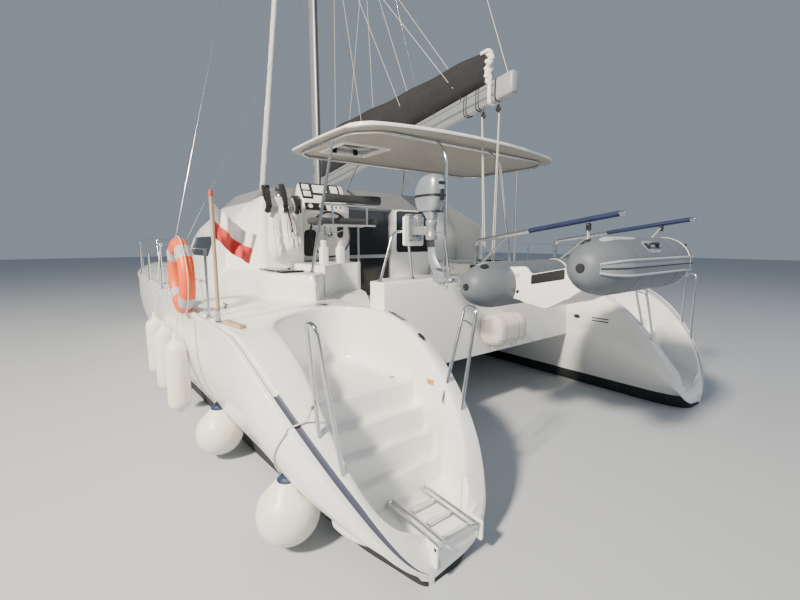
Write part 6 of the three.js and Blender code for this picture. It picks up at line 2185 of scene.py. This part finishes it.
def block(form, place, radius, look_shell, look_sheave):
    """A block of the mainsheet: cheeks, pin and the strap above."""
    x, y, z = place
    form.turned(
        [(0, -0.014), (radius * 0.8, -0.014), (radius, -0.008), (radius, 0.008), (radius * 0.8, 0.014), (0, 0.014)],
        place,
        "X",
        20,
        look_shell,
    )
    form.turned([(radius * 0.4, -0.016), (radius * 0.4, 0.016), (0, 0.0165)], place, "X", 16, look_sheave)
    form.slab(
        oblong((y - 0.009, z), (y + 0.009, z + radius + 0.02)),
        x - 0.016,
        x + 0.016,
        0.006,
        0.002,
        axis="X",
        look=look_shell,
    )


form = Form()
for at in SHEET_AT:
    block(form, (0, at, boom_low(at) - 0.085), 0.034, 0, 1)
form.piece("sheet_blocks_boom", [BLACK, STEEL], body="boom_body", sharp=40)
form = Form()
fx, fy, fz = SHEET_FOOT
form.slab(oblong((fx - 0.3, fy - 0.025), (fx + 0.3, fy + 0.025)), fz, fz + 0.03, 0.01, 0.006, look=1)
for shift in (-0.1, 0.1):
    block(form, (fx + shift, fy, fz + 0.09), 0.032, 0, 1)
form.piece("sheet_track", [BLACK, STEEL], sharp=40)
form = Form()
for at, shift in zip((SHEET_AT[0], SHEET_AT[0], SHEET_AT[1], SHEET_AT[1]), (-0.1, -0.06, 0.06, 0.1)):
    foot, top = Vector((fx + shift, fy, fz + 0.1)), Vector((shift * 0.25, at, boom_low(at) - 0.1))
    form.tube([foot, foot.lerp(top, 0.5), top], 0.0055, 8)
sheet = form.piece("mainsheet_falls", ROPE_WHITE, body=None)
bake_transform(sheet)

MAST = {"y": 0.6, "foot": 2.99, "top": 16.9, "half": 0.065, "deep": 0.105}
form = Form()
for side in (-1, 1):
    root = (side * 0.07, MAST["y"] - 0.04, 10.4)
    for y in (-3.5, -2.5, -1.4, -0.4):
        low = boom_low(y) + BOOM["deep"] + 0.02
        split = (side * 0.3, mix(MAST["y"], -2.0, 0.55), 7.2)
        form.tube([split, (side * 0.11, y, low + 0.12)], 0.0028, 6)
    form.tube([root, split], 0.0032, 6)
boom_end = (0, END_LINE_AT, boom_low(END_LINE_AT) + 0.27)
form.tube([(0, MAST["y"] - 0.12, MAST["top"] - 0.1), boom_end], 0.0035, 6)
jacks = form.piece("lazy_jacks", ROPE_WHITE, body=None)
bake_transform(jacks)


# Mast, stays and furled headsail


def mast():
    """Oval extrusion with its luff track, collar, spreaders, gooseneck lugs, halyards and a truck."""
    form = Form()
    y = MAST["y"]

    def ring(z, k=1.0, grow=0.0):
        """A level section of the mast, scaled and grown."""
        return [
            (a, b, z)
            for a, b in super_oval(
                (-MAST["half"] * k - grow, y - MAST["deep"] * k - grow),
                (MAST["half"] * k + grow, y + MAST["deep"] * k + grow),
                2.2,
                40,
            )
        ]

    form.closed([ring(z, k) for z, k in ((MAST["foot"], 1), (16.4, 1), (MAST["top"], 0.8))])
    form.closed([ring(z, 1, g) for z, g in ((2.985, 0.05), (3.03, 0.05), (3.045, 0.035), (3.06, 0.012))], 1)
    form.slab(oblong((-0.011, y - 0.122), (0.011, y - 0.098)), 3.1, 16.3, 0.004, 0.002, look=1)
    for z, reach in ((7.3, 0.95), (10.6, 0.8)):
        for side in (-1, 1):
            rings = []
            for t in (0, 0.3, 0.7, 0.97, 1):
                middle = (side * reach * t, y - reach * 0.32 * t, z + 0.06 * t)
                chord, thick = mix(0.05, 0.034, t), mix(0.02, 0.014, t)
                rings.append(
                    [
                        (middle[0], middle[1] + chord * math.cos(a), middle[2] + thick * math.sin(a))
                        for a in full_turn(20)
                    ]
                )
            form.closed(rings)
            form.slab(
                oblong((side * 0.055, y - 0.06), (side * 0.085, y + 0.06)), z - 0.03, z + 0.03, 0.01, 0.004, look=2
            )
    for z in (3.29, 3.386):
        form.slab(oblong((-0.032, 0.408), (0.032, y - 0.09)), z, z + 0.014, 0.012, 0.002, look=2, under=0.002)
    form.tube([(0, 0.44, 3.272), (0, 0.44, 3.42)], 0.012, 20, look=2)
    form.slab(
        oblong((-0.025, y - 0.33), (0.025, y + 0.19)), MAST["top"] - 0.06, MAST["top"] + 0.02, 0.02, 0.008, look=2
    )
    for x, dy, top in (
        (-0.045, -0.075, 16.7), (0.045, -0.075, 16.7), (-0.068, 0.02, 12.8), (0.068, 0.02, 13.2), (-0.066, -0.02, 9.0)
    ):
        form.tube([(x * 1.06, y + dy * 1.12, 3.35), (x * 1.06, y + dy * 1.12, top)], 0.0045, 8, look=3)
    for x in (-0.07, 0.07):
        form.slab(oblong((y - 0.02, 3.6), (y + 0.02, 3.74)), x - 0.012, x + 0.012, 0.01, 0.004, axis="X", look=2)
    form.piece("mast_spar", [ALLOY, BLACK, STEEL, ROPE_GREY], stands_for=["mast"], sharp=40)


mast()
for label, side in SIDES:
    form = Form()
    fx, fy, fz = side * 3.08, -0.45, DECK_Z + 0.058
    for y, top, r in ((fy - 0.02, 13.3, 0.005), (fy + 0.02, 7.2, 0.004)):
        foot, head = Vector((fx, y, fz + 0.03)), Vector((side * 0.063, 0.56, top))
        aim = (head - foot).normalized()
        form.tube([foot + aim * 0.2, head], r, 10)
        form.tube([foot, foot + aim * 0.05], 0.009, 12).tube([foot + aim * 0.05, foot + aim * 0.19], 0.0125, 14)
        form.tube([foot + aim * 0.19, foot + aim * 0.3], 0.008, 12)
    form.slab(oblong((fx - 0.045, fy - 0.055), (fx + 0.045, fy + 0.055)), fz, fz + 0.008, 0.015, 0.002)
    form.slab(oblong((fy - 0.04, fz), (fy + 0.04, fz + 0.045)), fx - 0.005, fx + 0.005, 0.012, 0.002, axis="X")
    form.piece(f"shroud_wires_{label}", STEEL, stands_for=[f"shrouds_{label}"], sharp=44)


def furled_headsail():
    """Headsail rolled on its stay: a spiral lap of cloth over a drum, thinning upwards."""
    form = Form()
    foot, head = Vector((0, 4.64, 1.55)), Vector((0, 0.72, 13.18))
    ahead = (head - foot).normalized()
    side = ahead.cross(Vector((0, 1, 0))).normalized()
    up = side.cross(ahead)
    rows = (
        (0.0, 0.012),
        (0.05, 0.013),
        (0.055, 0.05),
        (0.08, 0.072),
        (0.34, 0.07),
        (0.37, 0.06),
        (0.68, 0.055),
        (0.72, 0.042),
        (0.9, 0.034),
        (0.93, 0.014),
        (1.0, 0.012),
    )
    rings = []
    for i in range(150):
        share = i / 149
        radius = curve_through(rows, share)
        ring = []
        for turn in full_turn(24):
            lap = ((turn / (2 * math.pi) + share * 26) % 1.0) * 0.14 * (radius > 0.02)
            ring.append(foot.lerp(head, share) + (side * math.cos(turn) + up * math.sin(turn)) * radius * (1 + lap))
        rings.append(ring)
    form.closed(rings)
    middle = foot.lerp(head, 0.045)
    for low, high, r in ((-0.07, -0.055, 0.088), (-0.055, 0.02, 0.05), (0.02, 0.035, 0.088)):
        form.tube([middle + ahead * low, middle + ahead * high], r, 28, look=1)
    form.piece("headsail_roll", [SAIL, BLACK], stands_for=["furled_headsail"], sharp=50)


furled_headsail()


# Foredeck

BEAM = {"y": 4.62, "z": 1.33, "radius": 0.08}
form = Form()
form.tube([(-2.13, BEAM["y"], BEAM["z"]), (2.13, BEAM["y"], BEAM["z"])], BEAM["radius"], 32)
for side in (-1, 1):
    form.tube(
        [(side * 2.13, BEAM["y"], BEAM["z"]), (side * 2.1, BEAM["y"], BEAM["z"])], BEAM["radius"] + 0.006, 32, look=1
    )
form.piece("crossbeam_tube", [ALLOY, BLACK], stands_for=["crossbeam"], sharp=40)


def net_edge(y):
    """Distance of the hull's inner side from the centreline, less the net's lacing gap."""
    return HULL_X - hull_lines(y)[1] - 0.012


def net(label, side):
    """Knotted netting laced inside a rope edge, in 45 mm squares."""
    form = Form()
    inner, back, front, z, pitch = 0.148, 2.772, 4.523, 1.486, 0.045
    count = int((front - back) / pitch)
    for i in range(1, count):
        y = back + (front - back) * i / count
        form.tube([(side * inner, y, z), (side * net_edge(y), y, z)], 0.0028, 4)
    across = int((net_edge(front) - inner) / pitch)
    for i in range(1, across):
        x = inner + pitch * i
        start = back
        while net_edge(start) < x and start < front:
            start += 0.01
        if start < front - 0.02:
            form.tube([(side * x, start, z + 0.002), (side * x, front, z + 0.002)], 0.0028, 4)
    edge = [(side * net_edge(y), y, z) for y in (back, 3.0, 3.4, 3.8, 4.2, front)]
    form.tube([(side * inner, back, z), *edge, (side * inner, front, z)], 0.0055, 10, loop=True)
    form.piece(f"net_{label}", NET, stands_for=[f"trampoline_{label}"], sharp=60)


for label, side in SIDES:
    net(label, side)


# Doors, windows and small fittings

DOOR = {"x": (-0.4, 0.56), "y": (-1.245, -1.215), "z": (1.051, 2.78), "rail": (1.885, 1.945)}
AFT_WINDOW = {"x": (0.64, 1.56), "z": (1.98, 2.74)}


def door():
    """Sliding door: an alloy frame with a middle rail, two smoked panes and a latch."""
    form = Form()
    (x0, x1), (y0, y1), (z0, z1) = (DOOR[k] for k in ("x", "y", "z"))
    wide = 0.05
    form.slab(oblong((x0, z0), (x0 + wide, z1)), y0, y1, 0.004, 0.002, axis="Y", under=0.002)
    form.slab(oblong((x1 - wide, z0), (x1, z1)), y0, y1, 0.004, 0.002, axis="Y", under=0.002)
    for low, high in ((z0, z0 + 0.07), DOOR["rail"], (z1 - wide, z1)):
        form.slab(
            oblong((x0 + wide - 0.002, low), (x1 - wide + 0.002, high)),
            y0 + 0.001,
            y1 - 0.001,
            0.003,
            0.002,
            axis="Y",
            under=0.002,
        )
    form.plate(oblong((x0 + 0.04, z0 + 0.06), (x1 - 0.04, z1 - 0.04)), y0 + 0.009, y0 + 0.015, axis="Y", look=1)
    form.slab(
        oblong((x1 - 0.042, 1.98), (x1 - 0.01, 2.16)),
        y0 - 0.0035,
        y0 + 0.002,
        0.008,
        0.001,
        axis="Y",
        look=2,
        under=0.001,
    )
    form.piece(
        "saloon_door_leaf",
        [ALLOY, ACRYLIC, BLACK],
        body="door_body",
        stands_for=["saloon_door"],
        sharp=40,
    )


def surround(name, x_span, z_span, y, wide):
    """White frame and black gasket round an opening in the aft bulkhead."""
    form = Form()
    (x0, x1), (z0, z1) = x_span, z_span
    rings = []
    for out, lift in (
        (0.0, 0.002), (0.0, -0.006), (wide * 0.2, -0.012), (wide * 0.8, -0.012), (wide, -0.006), (wide, 0.002)
    ):
        outline = rounded(oblong((x0 - out, z0 - out), (x1 + out, z1 + out)), 0.06)
        rings.append([(p.x, y + lift, p.y) for p in outline])
    form.grid(rings, round_columns=True)
    line = rounded(oblong((x0 + 0.003, z0 + 0.003), (x1 - 0.003, z1 - 0.003)), 0.055)
    form.tube([(p.x, y + 0.003, p.y) for p in line], 0.006, 8, look=1, loop=True)
    form.piece(name, [GELCOAT, BLACK], sharp=50)


def landed(made, start, aim):
    """Where a line from a start meets a piece, and which way the surface faces there."""
    tree = BVHTree.FromObject(made, bpy.context.evaluated_depsgraph_get())
    hit, normal, *_ = tree.ray_cast(Vector(start), Vector(aim).normalized())
    return hit, normal if normal.dot(Vector(aim)) < 0 else -normal


def fitting(form, made, start, aim, shape, ahead=(0, 1, 0)):
    """Sets a shape, drawn about the origin with +Z outwards, on the surface that a line meets."""
    hit, up = landed(made, start, aim)
    along = (Vector(ahead) - up * Vector(ahead).dot(up)).normalized()
    across = along.cross(up)
    begin = len(form.points)
    shape()
    form.moved(lambda x, y, z: hit + across * x + along * y + up * z, begin)


def fittings():
    """Deck filler, drain, warning patch, vents, slots and cleats."""
    port, starboard = (bpy.data.objects[f"hull_moulding_{label}"] for label, _ in SIDES)
    form = Form()

    def disc(radius, look, long=0.0, high=0.006):
        """A rounded disc, or an oval where it is made longer."""
        form.slab(ellipse((0, 0), (radius, radius + long), 28), -0.004, high, 0.001, high * 0.45, look=look)

    def filler():
        """Deck filler: a steel disc with its black cap."""
        disc(0.05, 0)
        form.turned([(0.03, 0.0055), (0.03, 0.0075), (0, 0.0075)], (0, 0, 0), sides=24, look=1)

    def drain():
        """Tub drain: a steel cup with eight holes."""
        form.turned(
            [(0.036, -0.002), (0.036, 0.003), (0.03, 0.004), (0.028, 0.0015), (0, 0.0015)], (0, 0, 0), sides=28, look=0
        )
        for turn in full_turn(8):
            form.turned(
                [(0.0045, 0.001), (0.0045, 0.002), (0, 0.0021)],
                (0.017 * math.cos(turn), 0.017 * math.sin(turn), 0),
                sides=8,
                look=1,
            )

    def patch():
        """Bare amber warning patch."""
        form.slab(oblong((-0.022, -0.04), (0.022, 0.04)), -0.001, 0.0012, 0.006, 0.0006, look=2)

    def oval():
        """Oval vent."""
        disc(0.034, 0, 0.02)
        disc(0.024, 1, 0.02, 0.0075)

    def slot_plate():
        """Two dark slots side by side."""
        for x in (-0.02, 0.02):
            form.slab(oblong((x - 0.007, -0.12), (x + 0.007, 0.12)), -0.003, 0.004, 0.006, 0.002, look=1)

    def cleat():
        """Horned cleat on its base."""
        form.slab(oblong((-0.018, -0.045), (0.018, 0.045)), -0.003, 0.006, 0.012, 0.002, look=0)
        for y in (-0.022, 0.022):
            form.tube([(0, y, 0.003), (0, y * 0.8, 0.034)], 0.008, 12)
        form.tube(
            [(0, -0.085, 0.042), (0, -0.05, 0.036), (0, 0.05, 0.036), (0, 0.085, 0.042)],
            [0.005, 0.009, 0.009, 0.005],
            12,
        )

    down, inwards = (0, 0, -1), (1, 0, 0)
    for made, start, aim, shape in (
        (port, (-2.1, -3.68, 2.2), down, filler),
        (port, (-1.95, -4.66, 1.6), down, drain),
        (port, (-2.3, -5.07, 1.03), inwards, patch),
        (port, (-1.76, -4.5, 2.2), down, slot_plate),
        (port, (-1.77, -4.86, 2.2), down, oval),
        (port, (-2.95, -3.2, 2.2), down, cleat),
        (port, (-2.7, 4.4, 2.2), down, cleat),
        (starboard, (2.95, -3.2, 2.2), down, cleat),
        (starboard, (2.7, 4.4, 2.2), down, cleat),
        (starboard, (1.2, -4.37, 1.089), inwards, oval),
        (starboard, (1.2, -4.714, 1.081), inwards, slot_plate),
    ):
        fitting(form, made, start, aim, shape)
    form.piece("deck_fittings", [STEEL, BLACK, AMBER], sharp=44)
    form = Form()
    ends = [landed(port, (x, y, 2.2), down)[0] for x, y in ((-3.15, -3.96), (-3.11, -4.3))]
    aim = (ends[1] - ends[0]).normalized()
    side = aim.cross(Vector((0, 0, 1))).normalized()
    up = side.cross(aim)
    reach = (ends[1] - ends[0]).length
    form.slab(oblong((0, -0.028), (reach, 0.028)), -0.004, 0.03, 0.012, 0.006)
    form.moved(lambda x, y, z: ends[0] + aim * x + side * y + up * z)
    form.piece("gunwale_block", WOOD, sharp=40)


door()
surround("aft_window_frame", AFT_WINDOW["x"], AFT_WINDOW["z"], -1.3, 0.03)
fittings()
form = Form()
for low, high in ((-1.46, -1.35), (-1.2, -1.09)):
    form.slab(oblong((low, -2.4), (high, -2.29)), HELM_TOP + 0.0003, 2.11, 0.03, 0.02, under=0.004)
    form.slab(oblong((low + 0.02, -2.38), (high - 0.02, -2.31)), 2.1, 2.2, 0.02, 0.004, under=0.004)
form.piece("helm_seat_boxes", GELCOAT, sharp=40)


# Finishes of the solids that show as they are

SOLID_FINISHES = {
    ANTIFOUL: ("keel_port", "keel_starboard", "rudder_port", "rudder_starboard"),
    ALLOY: ("saildrive_port", "saildrive_starboard"),
    ACRYLIC: [f"saloon_glass_{place}" for place in ("port", "starboard", "front", "aft")],
}
for material, names in SOLID_FINISHES.items():
    for name in names:
        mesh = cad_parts[name].data
        mesh.materials.clear()
        mesh.materials.append(material)
        shade(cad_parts[name], 30)


def moulded(name, title, rounds, levels, band=None):
    """A moulding over a solid's own faces: rounded folds, non-skid on its walked levels, and a grey band of painted
    shade above a height.
    """
    work = bmesh.new()
    work.from_mesh(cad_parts[name].data)
    bmesh.ops.remove_doubles(work, verts=work.verts, dist=1e-5)
    bmesh.ops.dissolve_limit(work, angle_limit=math.radians(0.5), verts=work.verts, edges=work.edges)
    for least, most, clear, radius in rounds:
        chosen = [
            edge
            for edge in work.edges
            if len(edge.link_faces) == 2
            and least <= math.degrees(edge.calc_face_angle(0)) < most
            and all(near.calc_length() > clear for v in edge.verts for near in v.link_edges)
        ]
        bmesh.ops.bevel(
            work,
            geom=chosen,
            offset=radius,
            offset_type="OFFSET",
            segments=4,
            profile=0.5,
            affect="EDGES",
            clamp_overlap=True,
        )
    if band:
        geometry = work.verts[:] + work.edges[:] + work.faces[:]
        bmesh.ops.bisect_plane(work, geom=geometry, plane_co=(0, 0, band), plane_no=(0, 0, 1))
    # Faces above the band take the grey of painted shade, walked faces the non-skid
    for face in work.faces:
        level = face.calc_center_median().z
        walked = face.normal.z > 0.9 and min(abs(level - z) for z in levels) < 0.06
        face.material_index = 1 if walked else 2 if band and level > band else 0
    mesh = bpy.data.meshes.new(title)
    work.to_mesh(mesh)
    work.free()
    for material in (GELCOAT, TREAD, CABIN_TOP_SHADE)[: 3 if band else 2]:
        mesh.materials.append(material)
    made = put_in_scene(title, mesh)
    shade(made, 32)
    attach(made, "hull")
    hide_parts(name)


# Folds to round, as (least and most fold in degrees, shortest edge that may meet the fold, radius) rows
BRIDGE_ROUNDS = ((60, 120, 0.075, 0.035), (60, 120, 0.03, 0.015))
CABIN_ROUNDS = ((9, 60, 0.12, 0.06), (75, 120, 0.04, 0.012))
# The roof's walked height, and the height above which the cabin takes the grey of painted shade
ROOF_Z, SHADE_BAND_Z = 3.0, 2.76
moulded("bridge_deck", "bridge_moulding", BRIDGE_ROUNDS, (BRIDGE["floor"], BRIDGE["sole"]))
moulded("saloon", "saloon_moulding", CABIN_ROUNDS, (ROOF_Z,), SHADE_BAND_Z)
